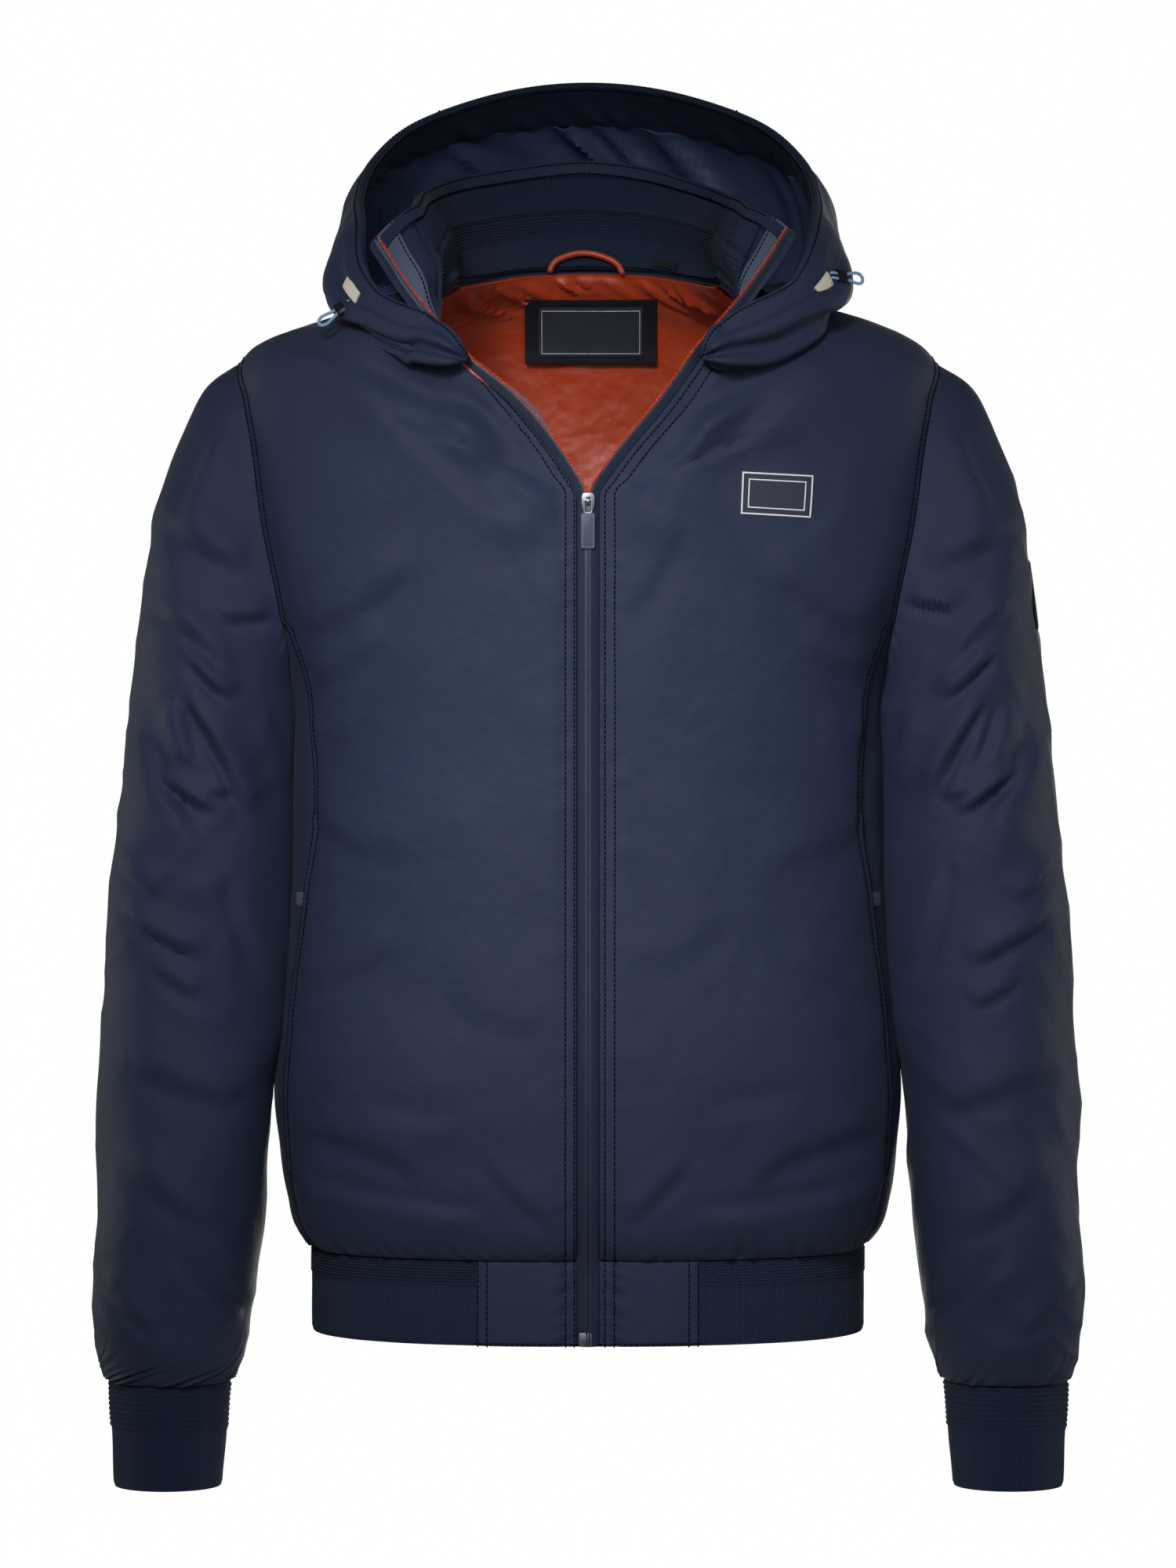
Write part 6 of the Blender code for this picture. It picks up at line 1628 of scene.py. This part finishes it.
def hood_inside(whole, n, along):
    """Facing band inside the rim with its gathers, and the lining with its pleats."""
    last = whole.shape[1] - 1
    facing_row = (len(HOOD_ROWS) - 1 - HOOD_FACING_ROWS) * FINE
    columns = slice(FINE, last + 1 - FINE)
    part = slice(facing_row, None)
    base, out = whole[part, columns], n[part, columns]
    lines, ups = running(base, 1), running(base, 0)
    above, below = ups, ups[-1:] - ups
    rise = 0.0036 * (0.25 + 0.75 * pleats(lines, 0.021, 0.7)) * bell(above, 0.013, 0.006)
    rise += 0.0018 * pleats(lines + above * 0.4, 0.034, 2.1) * bell(above, 0.03)
    rise += 0.001 * pleats(lines, 0.012, 4.0) * bell(below, 0.01)
    rise *= quiet(below, 0.004)
    inner = inner_cloth("facing_hood", "hood_facing", base, out, HOOD_LINING_DEPTH, FACING,
                        rise, finish("shell"))
    stitch(inner[:, ::-1], -out[:, ::-1], "top", (0.0025,))
    skip, cut = HOOD_LINING_SKIP * FINE, HOOD_SIDE_COLUMNS * FINE
    pieces = (("left", skip, cut), ("centre", cut, last - cut), ("right", last - cut, last - skip))
    for word, first, end in pieces:
        part = slice(facing_row + 1), slice(first, end + 1)
        grid = whole[part]
        lines, ups = along[part], running(grid, 0)
        left, right, low, high = borders(grid)
        deep = 0.0125 if word == "centre" else 0.0075
        rise = deep * pleats(lines + 0.008 * np.sin(ups * 45), 0.036, 1.3)
        rise += 0.0016 * pleats(lines + ups * 0.15, 0.012, 2.2)
        rise *= quiet(np.minimum(left, right), 0.026) * quiet(low, 0.01) * (0.5 + 0.5 * quiet(high, 0.01))
        inner_cloth(f"lining_hood_{word}", f"hood_lining_{word}", grid, n[part],
                    HOOD_LINING_DEPTH, FACING, rise, finish("hood"))


# ---- zip -------------------------------------------------------------------------------------
ROUNDED_ABOVE = radians(25)  # edges of hard pieces that turn more than this are rounded
SHARP_SOLID = radians(40)
TOOTH_HEIGHT = 0.0016
PULL_ABOVE = 0.0015          # of the pull's axis above the slider's middle


def beveled(name, vertices, faces, mat, width, segments=2):
    """Hard piece with rounded edges."""
    mesh = bpy.data.meshes.new(name)
    mesh.from_pydata([tuple(map(float, v)) for v in vertices], [], faces)
    solid = bmesh.new()
    solid.from_mesh(mesh)
    bmesh.ops.remove_doubles(solid, verts=solid.verts, dist=1e-6)
    bmesh.ops.recalc_face_normals(solid, faces=solid.faces)
    sharp = [e for e in solid.edges if len(e.link_faces) == 2 and e.calc_face_angle() > ROUNDED_ABOVE]
    bmesh.ops.bevel(solid, geom=sharp, offset=width, segments=segments, profile=0.5, affect="EDGES",
                    clamp_overlap=True)
    solid.to_mesh(mesh)
    solid.free()
    mesh.polygons.foreach_set("use_smooth", np.ones(len(mesh.polygons), bool))
    mesh.set_sharp_from_angle(angle=SHARP_SOLID)
    mesh.uv_layers.new(name="cloth")
    mesh.materials.append(mat)
    return link_object(name, mesh)


def prism(outline, near, far, axis=1):
    """Vertices and faces between two places along an axis, over an outline of the other two."""
    count = len(outline)
    vertices = [np.insert(p, axis, level) for level in (near, far) for p in np.asarray(outline, float)]
    faces = [tuple(range(count)), tuple(range(2 * count - 1, count - 1, -1))]
    faces += [((i + 1) % count, i, count + i, count + (i + 1) % count) for i in range(count)]
    return vertices, faces


def rounded_outline(width, low, high, corner, steps=4):
    """Rectangle with round corners, anticlockwise, from low to high."""
    points = []
    x, foot, top = width / 2 - corner, low + corner, high - corner
    for middle_x, middle_z, start in ((x, foot, -90), (x, top, 0), (-x, top, 90), (-x, foot, 180)):
        for k in range(steps + 1):
            turn = radians(start + 90 * k / steps)
            points.append((middle_x + corner * cos(turn), middle_z + corner * sin(turn)))
    return points


def tapes():
    """Both tapes along the whole front edge, and the open rows of teeth."""
    teeth = []
    for side, word in SIDES:
        grid = zip_tape(side)[:, turned(side)]
        _, out, away = front_edge(side)
        n = np.broadcast_to(out[:, None], grid.shape)
        left, right, _, _ = borders(grid)
        free, sewn = (left, right) if side > 0 else (right, left)
        rise = -0.0006 - 0.0005 * bell(free, 0.0007) - 0.0003 * bell(sewn, 0.0008)
        cloth_piece(f"tape_{word}", f"zip_tape_{word}", "zip_tape", grid, rise, 0.0011, finish("tape"),
                    held="stretched", n=n, follow=0.0)
        line = grid[:, 0 if side > 0 else -1] - out * 0.001 + away * 0.0003
        open_part = line[:, 2] > SLIDER_Z + 0.006
        teeth.append((line[open_part], out[open_part]))
    s = sizes()
    rows = laid_rows("coil_teeth", teeth, "tooth",
                     {"Pitch": s.tooth_pitch, "Length": s.tooth_pitch * 0.72, "Width": s.tooth_width,
                      "Height": TOOTH_HEIGHT, "Material": finish("teeth")})
    dressed(rows, None)


def slider():
    """Slider shield with its bridge, and the retaining box at the hem."""
    width, height, depth = SLIDER
    back = float(np.min(body(0.0, SLIDER_Z + np.array((-0.5, 0.5)) * height)[:, 1])) + 0.0003
    face = back - depth
    half = [(0.3, -0.5), (0.42, -0.34), (0.5, -0.05), (0.5, 0.28), (0.42, 0.44), (0.28, 0.5)]
    outline = half + [(-x, z) for x, z in half[::-1]]
    shield = [(x * width, SLIDER_Z + z * height) for x, z in outline]
    metal = finish("metal")
    dressed(beveled("slider_shield", *prism(shield, face, back), metal, 0.0006, 3), "zip_slider")
    pull_z = SLIDER_Z + PULL_ABOVE
    turn = np.linspace(-0.05, pi + 0.05, 15)
    arch = [[(-0.0008 - reach * cos(t), high * sin(t) ** 0.8 if 0 < t < pi else -0.0004) for t in turn]
            for reach, high in ((0.0028, BRIDGE_HEIGHT - 0.0004),
                                (0.0028 - BRIDGE_BAR * 1.2, BRIDGE_HEIGHT - 0.0004 - BRIDGE_BAR))]
    profile = [(face - d, pull_z + z) for z, d in arch[0] + arch[1][::-1]]
    dressed(beveled("slider_bridge", *prism(profile, -BRIDGE_WIDTH / 2, BRIDGE_WIDTH / 2, 0), metal, 0.0002),
            None)
    pull_tab(face - PULL_AXIS_LIFT, pull_z)
    box_width, box_height, box_depth = ZIP_BOX
    box_back = -BAND_FRONT + 0.0003
    foot = HEM_BOTTOM + 0.0003
    outline = [(x + ZIP_BOX_X, z) for x, z in rounded_outline(box_width, foot, foot + box_height, 0.0012)]
    dressed(beveled("retaining_box", *prism(outline, box_back - box_depth, box_back), metal, 0.0004),
            "zip_box")
    rib = rounded_outline(0.0016, foot + 0.0012, foot + box_height - 0.0012, 0.0007)
    rib = [(x + ZIP_BOX_X, z) for x, z in rib]
    rib_back = box_back - box_depth + 0.0002
    dressed(beveled("box_rib", *prism(rib, rib_back - 0.0007, rib_back), metal, 0.0002), None)


def pull_tab(axis_y, axis_z):
    """Moulded pull tab on its link; the link goes round the slider's bridge."""
    width, long, thick = PULL
    link_width, link_long = PULL_LINK
    foot = axis_z - link_long - long
    top = axis_z - link_long + 0.0004
    outline = rounded_outline(width, foot, top, 0.0013, 5)
    solid = prism(outline, axis_y - thick / 2, axis_y + thick / 2)
    tab = beveled("pull_tab_body", *solid, finish("tab"), 0.0003)
    dressed(tab, "pull_tab", "pull_tab")
    rim = rounded_outline(width - 0.0016, foot + 0.0008, top - 0.0008, 0.0009, 5)
    panel = rounded_outline(width - 0.0024, foot + 0.0012, top - 0.0012, 0.0006, 5)
    face = axis_y - thick / 2
    vertices, faces = ring_plate(rim, panel, face - 0.00022, face + 0.0001)
    edging = beveled("pull_tab_frame", [(x, y, z) for x, z, y in vertices], faces, finish("rim"), 0.00008, 1)
    dressed(edging, None, "pull_tab")
    low, high = axis_z - link_long - 0.0002, axis_z + 0.0007
    outer = rounded_outline(link_width, low, high, 0.0016, 5)
    inner = rounded_outline(2 * PULL_SLOT_HALF, low + 0.0012, high - 0.0012, 0.001, 5)
    vertices, faces = ring_plate(outer, inner, axis_y - thick * 0.46, axis_y + thick * 0.46)
    link = beveled("pull_tab_link", [(x, y, z) for x, z, y in vertices], faces, finish("metal"), 0.0003)
    dressed(link, None, "pull_tab")


# ---- small sewn pieces -----------------------------------------------------------------------
def plate_piece(name, node, grid, gap, thickness, mat, lift=0.0):
    """Cloth or plate lying on the outer side of a surface."""
    n = normals(grid)
    left, right, low, high = borders(grid)
    edge = np.minimum(np.minimum(left, right), np.minimum(low, high))
    rise = gap + thickness + lift - 0.35 * thickness * bell(edge, 0.6 * thickness)
    outer, inner = grid + n * rise[..., None], grid + n * gap
    walled(name, node, outer, inner, mat)
    return outer, n


def frame_ring(name, surface, place, size, tilt, inset, line, lift):
    """Thin woven frame on a badge, at an inset from its border."""
    per = 14
    loops = []
    for away in (inset, inset + line):
        half_x, half_z = size[0] / 2 - away, size[1] / 2 - away
        t = np.linspace(-1, 1, per, endpoint=False)
        u = np.r_[t * half_x, np.full(per, half_x), -t * half_x, np.full(per, -half_x)]
        v = np.r_[np.full(per, -half_z), t * half_z, np.full(per, half_z), -t * half_z]
        loops.append(surface(place[0] + u * cos(tilt) - v * sin(tilt),
                             place[1] + u * sin(tilt) + v * cos(tilt)))
    grid = np.stack(loops)
    n = normals(grid, True)
    n *= -np.sign(n[..., 1:2])
    if np.sum(np.cross(grid[0, 1] - grid[0, 0], grid[1, 0] - grid[0, 0]) * n[0, 0]) < 0:
        grid, n = grid[::-1], n[::-1]
    mat = finish("frame")
    mesh = wall_mesh(name, grid + n * (lift + 0.00016), grid + n * (lift - 0.0001), mat, mat, True)
    dressed(link_object(name, mesh), None)


def badges():
    """Chest badge with its double frame, and the patch on the wearer's left sleeve."""
    x, z = rectangle(CHEST_BADGE_PLACE, CHEST_BADGE, CHEST_BADGE_TILT, 40, 26)
    plate_piece("badge_chest", "chest_badge", on_front(x, z), 0.0004, CHEST_BADGE[2],
                finish("badge"))
    top = 0.0004 + CHEST_BADGE[2]
    for k, (inset, line) in enumerate(((0.001, 0.0009), (0.005, 0.0007))):
        frame_ring(f"badge_chest_frame_{k}", on_front, CHEST_BADGE_PLACE, CHEST_BADGE, CHEST_BADGE_TILT,
                   inset, line, top)
    psi = armhole_places()
    rings = sleeve_rings(psi, SLEEVE_ROWS)
    middle = 3 * FINE
    rings = np.roll(rings, middle, axis=1)[:, :2 * middle + 1]
    rows = np.linspace(SLEEVE_PATCH_ROWS[0] * FINE, SLEEVE_PATCH_ROWS[1] * FINE, 20)
    columns = middle + np.linspace(SLEEVE_PATCH_COLUMNS[0] * FINE, SLEEVE_PATCH_COLUMNS[1] * FINE, 24)
    grid = resampled(rings, rows, columns)
    plate_piece("badge_sleeve", "sleeve_patch", grid, PATCH_GAP, SLEEVE_PATCH_THICK,
                finish("badge"), lift=0.0002)


def pockets():
    """Pocket welts along the side seams and the glossy side tabs."""
    for side, word in SIDES:
        z = np.linspace(WELT_FOOT, WELT_TOP, 90)[:, None]
        seam = np.radians(spline(SIDE_SEAM[:, 0], SIDE_SEAM[:, 1], z))
        turn = np.linspace(-WELT_ANGLE, 0, 12)[None, :]
        welt = mirrored(body(seam + turn, np.broadcast_to(z, (90, 12))), side)
        outer, n = plate_piece(f"welt_{word}", f"pocket_welt_{word}", welt, PATCH_GAP,
                               WELT_THICK, finish("shell"), lift=0.0002)
        for border in ("left", "right"):
            stitch(outer, n, border, (0.0012,))
        z = np.linspace(SIDE_TAB_Z - 0.0043, SIDE_TAB_Z + 0.0043, 10)[:, None]
        seam = np.radians(spline(SIDE_SEAM[:, 0], SIDE_SEAM[:, 1], z))
        tab = mirrored(body(seam + np.linspace(0.0, 0.14, 10)[None, :], np.broadcast_to(z, (10, 10))), side)
        plate_piece(f"tab_side_{word}", f"side_tab_{word}", tab, 0.0003, 0.001, finish("gloss"))


def tube(name, points, radius, sides, mat):
    """Round tube through points, with domed ends and a map round and along it in metres."""
    points = np.asarray(points, float)
    along = unit(np.gradient(points, axis=0))
    side = unit(np.cross(along[0], (0.3, 0.2, 0.93)))
    rings = []
    for k, (place, way) in enumerate(zip(points, along)):
        side = unit(side - way * np.dot(side, way))
        up = np.cross(way, side)
        turn = np.linspace(0, 2 * pi, sides, endpoint=False)
        ring = np.cos(turn)[:, None] * side + np.sin(turn)[:, None] * up
        if k == 0:
            rings += [place - way * radius * 0.5 + ring * radius * 0.55]
        rings.append(place + ring * radius)
        if k == len(points) - 1:
            rings += [place + way * radius * 0.5 + ring * radius * 0.55]
    grid = np.array(rings)
    rows = len(grid)
    faces, uv = [], []
    length_at = distances(grid.mean(axis=1))
    for r in range(rows - 1):
        for c in range(sides):
            d = (c + 1) % sides
            faces.append([ring * sides + at for ring, at in ((r, c), (r, d), (r + 1, d), (r + 1, c))])
            uv += [((c + a) / sides * 2 * pi * radius, length_at[r + b])
                   for a, b in ((0, 0), (1, 0), (1, 1), (0, 1))]
    ends = (tuple(range(sides))[::-1], tuple(range((rows - 1) * sides, rows * sides)))
    faces += ends
    uv += [(0, 0)] * (2 * sides)
    mesh = bpy.data.meshes.new(name)
    mesh.from_pydata(grid.reshape(-1, 3).tolist(), [], faces)
    layer = mesh.uv_layers.new(name="cloth")
    layer.data.foreach_set("uv", np.array(uv, np.float32).ravel())
    mesh.polygons.foreach_set("use_smooth", np.ones(len(faces), bool))
    mesh.materials.append(mat)
    return link_object(name, mesh)


LABEL_LIFT = 0.0022          # of the neck label off the lining, clear of its pleats


def label_surface(x, z, start=NECK_LABEL[2] + LABEL_GAP):
    """Slightly wavy surface of what lies on the lining, and by default of the badge on the label."""
    place = lining_grid(x, z, LABEL_CLEAR + LABEL_LIFT + start)
    place[..., 1] += 0.0004 * np.sin(x * 160) * np.sin(z * 90 + 1)
    return place


def neck_pieces():
    """Orange yoke gathered on the neck seam, hanger loop, labels and size tab."""
    back = back_surface()
    part = slice(YOKE_ROW * FINE, None), slice(YOKE_COLUMN * FINE + 2, -YOKE_COLUMN * FINE - 2)
    grid, n = back[part], normals(back)[part]
    left, right, _, high = borders(grid)
    along = running(grid, 1)
    rise = 0.0066 * pleats(along + 0.1 * high * np.sin(along * 21), 0.019, 0.4) * bell(high, 0.018)
    rise += 0.002 * pleats(along, 0.0085, 0.9) * bell(high, 0.009)
    rise += 0.002 * pleats(along + 0.25 * high, 0.041, 1.9) * bell(high, 0.06, 0.05)
    rise *= quiet(np.minimum(left, right), 0.012) * quiet(high, 0.003)
    inner_cloth("lining_back_yoke", "lining_yoke", grid, n, SHELL + RIB_CLEAR, LINING, rise,
                finish("lining"))
    for name, node, size, mat, *start in (
            ("label_neck", "neck_label", NECK_LABEL, "label", 0.0),
            ("label_neck_badge", "label_badge", LABEL_BADGE, "badge")):
        x, z = rectangle(NECK_LABEL_PLACE, size, 0.0, 60, 30)
        plate_piece(name, node, label_surface(x, z, *start), 0.0, size[2], finish(mat))
    frame_ring("label_frame", label_surface, NECK_LABEL_PLACE, LABEL_BADGE, 0.0, 0.0018, 0.0004,
               LABEL_BADGE[2])
    loop = tube("loop_hanger", through(HANGER, np.linspace(0, 1, 60)), HANGER_RADIUS, 12, finish("lining"))
    dressed(loop, "hanger_loop")
    columns = slice(SIZE_TAB_COLUMNS[0] * FINE, (SIZE_TAB_COLUMNS[1] - 1) * FINE + 1)
    stand = worn_collar(np.linspace(SIZE_TAB_FOOT, SIZE_TAB_TOP, 8))
    tab, out = stand[:, columns], normals(stand)[:, columns]
    inner_cloth("label_size", "size_tab", tab, out, SHELL + RIB_CLEAR + KNIT + 0.0007,
                SIZE_TAB_THICK, 0.0, finish("label"))


# ---- cords -----------------------------------------------------------------------------------
def hood_place(row, column):
    """Point of the hood at the frame's row and column, and the outward direction there."""
    def at(r, c):
        side = 1 if c <= HOOD_COLUMNS else -1
        place = c / HOOD_COLUMNS if side > 0 else (2 * HOOD_COLUMNS - c) / HOOD_COLUMNS
        share = np.interp(r, range(len(HOOD_ROWS)), HOOD_ROWS)
        return hood_points(side, np.array((place,)), np.array((share,)))[0, 0]
    along = at(row, column + 0.05) - at(row, column - 0.05)
    up = at(row + 0.05, column) - at(row - 0.05, column)
    return at(row, column), unit(np.cross(along, up))


def cords():
    """Drawcord loop on each hood lobe, out of its patch and through its stopper."""
    for side, word in SIDES:
        place, up = hood_place(*CORD_EXIT[side])
        aim = np.array(CORD_AIM[side])
        along = unit(aim - up * np.dot(aim, up))
        across = np.cross(up, along)
        axis = along * cos(CORD_LEAN) + up * sin(CORD_LEAN)
        rise = np.cross(axis, across)
        start = place + up * CORD_HEIGHT
        half = np.array(CORD_LOOP) / 1000
        loop = np.vstack((half, half[-2::-1] * (1, -1)))
        line = through(start + loop[:, :1] * axis + loop[:, 1:] * across, np.linspace(0, 1, 3 * CORD_POINTS))
        cord = tube(f"cord_{word}", line, CORD_RADIUS, 12, finish("cord"))
        dressed(cord, f"drawcord_{word}")
        outer, slot = box_outline(STOPPER_OUTER, 0.0014), box_outline(STOPPER_SLOT, 0.0003)
        vertices, faces = ring_plate(outer, slot, STOPPER_FOOT, STOPPER_FOOT + STOPPER_LENGTH)
        vertices = [start + x * across + z * rise + d * axis for x, z, d in vertices]
        stopper = beveled(f"stopper_{word}", vertices, faces, finish("stopper"), 0.0005)
        dressed(stopper, f"cord_stopper_{word}")
        row, column = CORD_PATCH[side]
        rows = row + np.linspace(-1, 1, 12) * CORD_PATCH_SPAN[0]
        columns = column + np.linspace(-1, 1, 14) * CORD_PATCH_SPAN[1]
        patch_grid = np.array([[hood_place(r, c)[0] for c in columns] for r in rows])
        plate_piece(f"patch_{word}", f"cord_patch_{word}", patch_grid, PATCH_GAP,
                    CORD_PATCH_THICK, finish("patch"), lift=0.0004)


def seams():
    """All the stitches that show, as short lengths of thread."""
    s = sizes()
    threads = laid_rows("stitches", _seams, "thread",
                        {"Pitch": s.stitch_pitch, "Length": s.stitch_length, "Width": s.thread,
                         "Height": s.thread * 0.8, "Material": finish("thread")})
    dressed(threads, None)


# ---- studio ----------------------------------------------------------------------------------
# Soft boxes: name, place and size in metres, spread in degrees, watts.
LIGHTS = (
    ("key", (-0.36, -1.7, 0.55), 0.42, 29, 1.12),
    ("fill", (0.5, -2.4, 0.3), 1.4, 120, 5.0),
    ("back", (0.2, 2.8, -0.2), 2.0, 180, 55.0),
    ("side_right", (-2.5, 0.9, -0.3), 1.4, 180, 18.0),
    ("side_left", (2.5, 0.9, -0.3), 1.4, 180, 18.0),
)
LIGHT_AIM = (0.0, -0.1, -0.27)
WORLD_LIGHT = 0.1           # strength of the even light that comes from all round
FLOOR_RADIUS, FLOOR_LEVEL, FLOOR_SIDES = 0.62, -0.9, 96


def stage():
    scene = bpy.context.scene
    camera = bpy.data.cameras.new("photo_camera")
    camera.lens, camera.sensor_width, camera.sensor_fit = LENS, SENSOR, "AUTO"
    camera.clip_end = 60.0
    eye = link_object("photo_camera", camera)
    eye.location = (0.0, -CAMERA_DISTANCE, EYE_Z)
    eye.rotation_euler = (pi / 2, 0.0, 0.0)
    scene.camera = eye
    turn = np.linspace(0, 2 * pi, FLOOR_SIDES, endpoint=False)
    rim = np.stack((FLOOR_RADIUS * np.cos(turn), FLOOR_RADIUS * np.sin(turn),
                    np.full(FLOOR_SIDES, FLOOR_LEVEL)), -1)
    mesh = bpy.data.meshes.new("studio_floor")
    mesh.from_pydata(rim.tolist(), [], [tuple(range(FLOOR_SIDES))])
    mesh.uv_layers.new(name="cloth")
    mesh.materials.append(finish("floor"))
    link_object("studio_floor", mesh)
    for name, place, size, spread, watts in LIGHTS:
        light = bpy.data.lights.new(name, "AREA")
        light.shape, light.size, light.energy = "SQUARE", size, watts
        light.spread = radians(spread)
        lamp = link_object(name, light)
        lamp.location = place
        aim = np.array(LIGHT_AIM) - np.array(place)
        lamp.rotation_euler = Vector(aim).to_track_quat("-Z", "Y").to_euler()
    world = scene.world or bpy.data.worlds.new("studio")
    scene.world = world
    world.use_nodes = True
    tree = world.node_tree
    tree.nodes.clear()
    seen = add_node(tree, "ShaderNodeLightPath").outputs["Is Camera Ray"]
    strength = add_node(tree, "ShaderNodeMapRange", {"Value": seen, "To Min": WORLD_LIGHT, "To Max": 1.0})
    sky = add_node(tree, "ShaderNodeBackground", {"Color": (1, 1, 1, 1), "Strength": strength})
    add_node(tree, "ShaderNodeOutputWorld", {"Surface": sky})
    scene.view_settings.view_transform = "Standard"


# ---- operators and panel ---------------------------------------------------------------------
class JACKET_OT_cords(bpy.types.Operator):
    """The drawcord loops on the hood, with patches and stoppers"""
    bl_idname = "jacket.cords"
    bl_label = "Drawcords"

    def execute(self, context):
        cords()
        return {"FINISHED"}


class JACKET_OT_fronts(bpy.types.Operator):
    """Both padded front panels with their placket stitches"""
    bl_idname = "jacket.fronts"
    bl_label = "Front panels"

    def execute(self, context):
        for side, word in SIDES:
            front_panel(side, word)
        return {"FINISHED"}


class JACKET_OT_sides(bpy.types.Operator):
    """The narrow panels under the arms"""
    bl_idname = "jacket.sides"
    bl_label = "Side panels"

    def execute(self, context):
        for side, word in SIDES:
            side_panel(side, word)
        return {"FINISHED"}


class JACKET_OT_back(bpy.types.Operator):
    """The back panel"""
    bl_idname = "jacket.back"
    bl_label = "Back panel"

    def execute(self, context):
        back_panel()
        return {"FINISHED"}


class JACKET_OT_sleeves(bpy.types.Operator):
    """Both sleeves with their creases and gathers"""
    bl_idname = "jacket.sleeves"
    bl_label = "Sleeves"

    def execute(self, context):
        for side, word in SIDES:
            sleeve_panel(side, word)
        return {"FINISHED"}


class JACKET_OT_cuffs(bpy.types.Operator):
    """The rib knit cuffs"""
    bl_idname = "jacket.cuffs"
    bl_label = "Cuffs"

    def execute(self, context):
        for side, word in SIDES:
            cuff(side, word)
        return {"FINISHED"}


class JACKET_OT_hem(bpy.types.Operator):
    """The rib knit hem band and the cloth tabs beside the zip"""
    bl_idname = "jacket.hem"
    bl_label = "Hem"

    def execute(self, context):
        hem()
        return {"FINISHED"}


class JACKET_OT_collar(bpy.types.Operator):
    """The stand collar with its knit inside"""
    bl_idname = "jacket.collar"
    bl_label = "Collar"

    def execute(self, context):
        collar()
        return {"FINISHED"}


class JACKET_OT_facings(bpy.types.Operator):
    """The strips inside the front edge"""
    bl_idname = "jacket.facings"
    bl_label = "Facings"

    def execute(self, context):
        facings()
        return {"FINISHED"}


class JACKET_OT_hood(bpy.types.Operator):
    """The hood with its facing band and lining"""
    bl_idname = "jacket.hood"
    bl_label = "Hood"

    def execute(self, context):
        hood()
        return {"FINISHED"}


class JACKET_OT_neck(bpy.types.Operator):
    """The yoke, hanger loop and labels inside the neck"""
    bl_idname = "jacket.neck"
    bl_label = "Neck"

    def execute(self, context):
        neck_pieces()
        return {"FINISHED"}


class JACKET_OT_zip(bpy.types.Operator):
    """Tapes, teeth, slider, retaining box and pull tab"""
    bl_idname = "jacket.zip"
    bl_label = "Zip"

    def execute(self, context):
        tapes()
        slider()
        return {"FINISHED"}


class JACKET_OT_pockets(bpy.types.Operator):
    """Pocket welts and side tabs"""
    bl_idname = "jacket.pockets"
    bl_label = "Pockets"

    def execute(self, context):
        pockets()
        return {"FINISHED"}


class JACKET_OT_badges(bpy.types.Operator):
    """Chest badge and sleeve patch"""
    bl_idname = "jacket.badges"
    bl_label = "Badges"

    def execute(self, context):
        badges()
        return {"FINISHED"}


class JACKET_OT_seams(bpy.types.Operator):
    """The stitches on all the pieces made before"""
    bl_idname = "jacket.seams"
    bl_label = "Seams"

    def execute(self, context):
        seams()
        return {"FINISHED"}


class JACKET_OT_stage(bpy.types.Operator):
    """Camera, floor and soft studio light"""
    bl_idname = "jacket.stage"
    bl_label = "Stage"

    def execute(self, context):
        stage()
        return {"FINISHED"}


OPERATORS = (JACKET_OT_cords, JACKET_OT_fronts, JACKET_OT_sides, JACKET_OT_back,
             JACKET_OT_sleeves, JACKET_OT_cuffs, JACKET_OT_hem, JACKET_OT_collar,
             JACKET_OT_facings, JACKET_OT_hood, JACKET_OT_neck, JACKET_OT_zip,
             JACKET_OT_pockets, JACKET_OT_badges, JACKET_OT_seams, JACKET_OT_stage)


class JACKET_PT_panel(bpy.types.Panel):
    """Lists the steps that dress the jacket"""
    bl_label = "Jacket"
    bl_idname = "JACKET_PT_panel"
    bl_space_type = "VIEW_3D"
    bl_region_type = "UI"
    bl_category = "Jacket"

    def draw(self, context):
        for group in (context.scene.jacket_sizes, context.scene.jacket_colours):
            for name in group.bl_rna.properties.keys():
                if name not in ("rna_type", "name"):
                    self.layout.prop(group, name)
        for operator in OPERATORS:
            self.layout.operator(operator.bl_idname)


CLASSES = (JacketSizes, JacketColours, *OPERATORS, JACKET_PT_panel)


def register():
    for item in CLASSES:
        bpy.utils.register_class(item)
    bpy.types.Scene.jacket_sizes = bpy.props.PointerProperty(type=JacketSizes)
    bpy.types.Scene.jacket_colours = bpy.props.PointerProperty(type=JacketColours)


def unregister():
    del bpy.types.Scene.jacket_colours
    del bpy.types.Scene.jacket_sizes
    for item in reversed(CLASSES):
        bpy.utils.unregister_class(item)


def main():
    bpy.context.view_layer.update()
    register()
    for operator in OPERATORS:
        getattr(bpy.ops.jacket, operator.bl_idname.split(".")[1])()


if __name__ == "__main__":
    main()
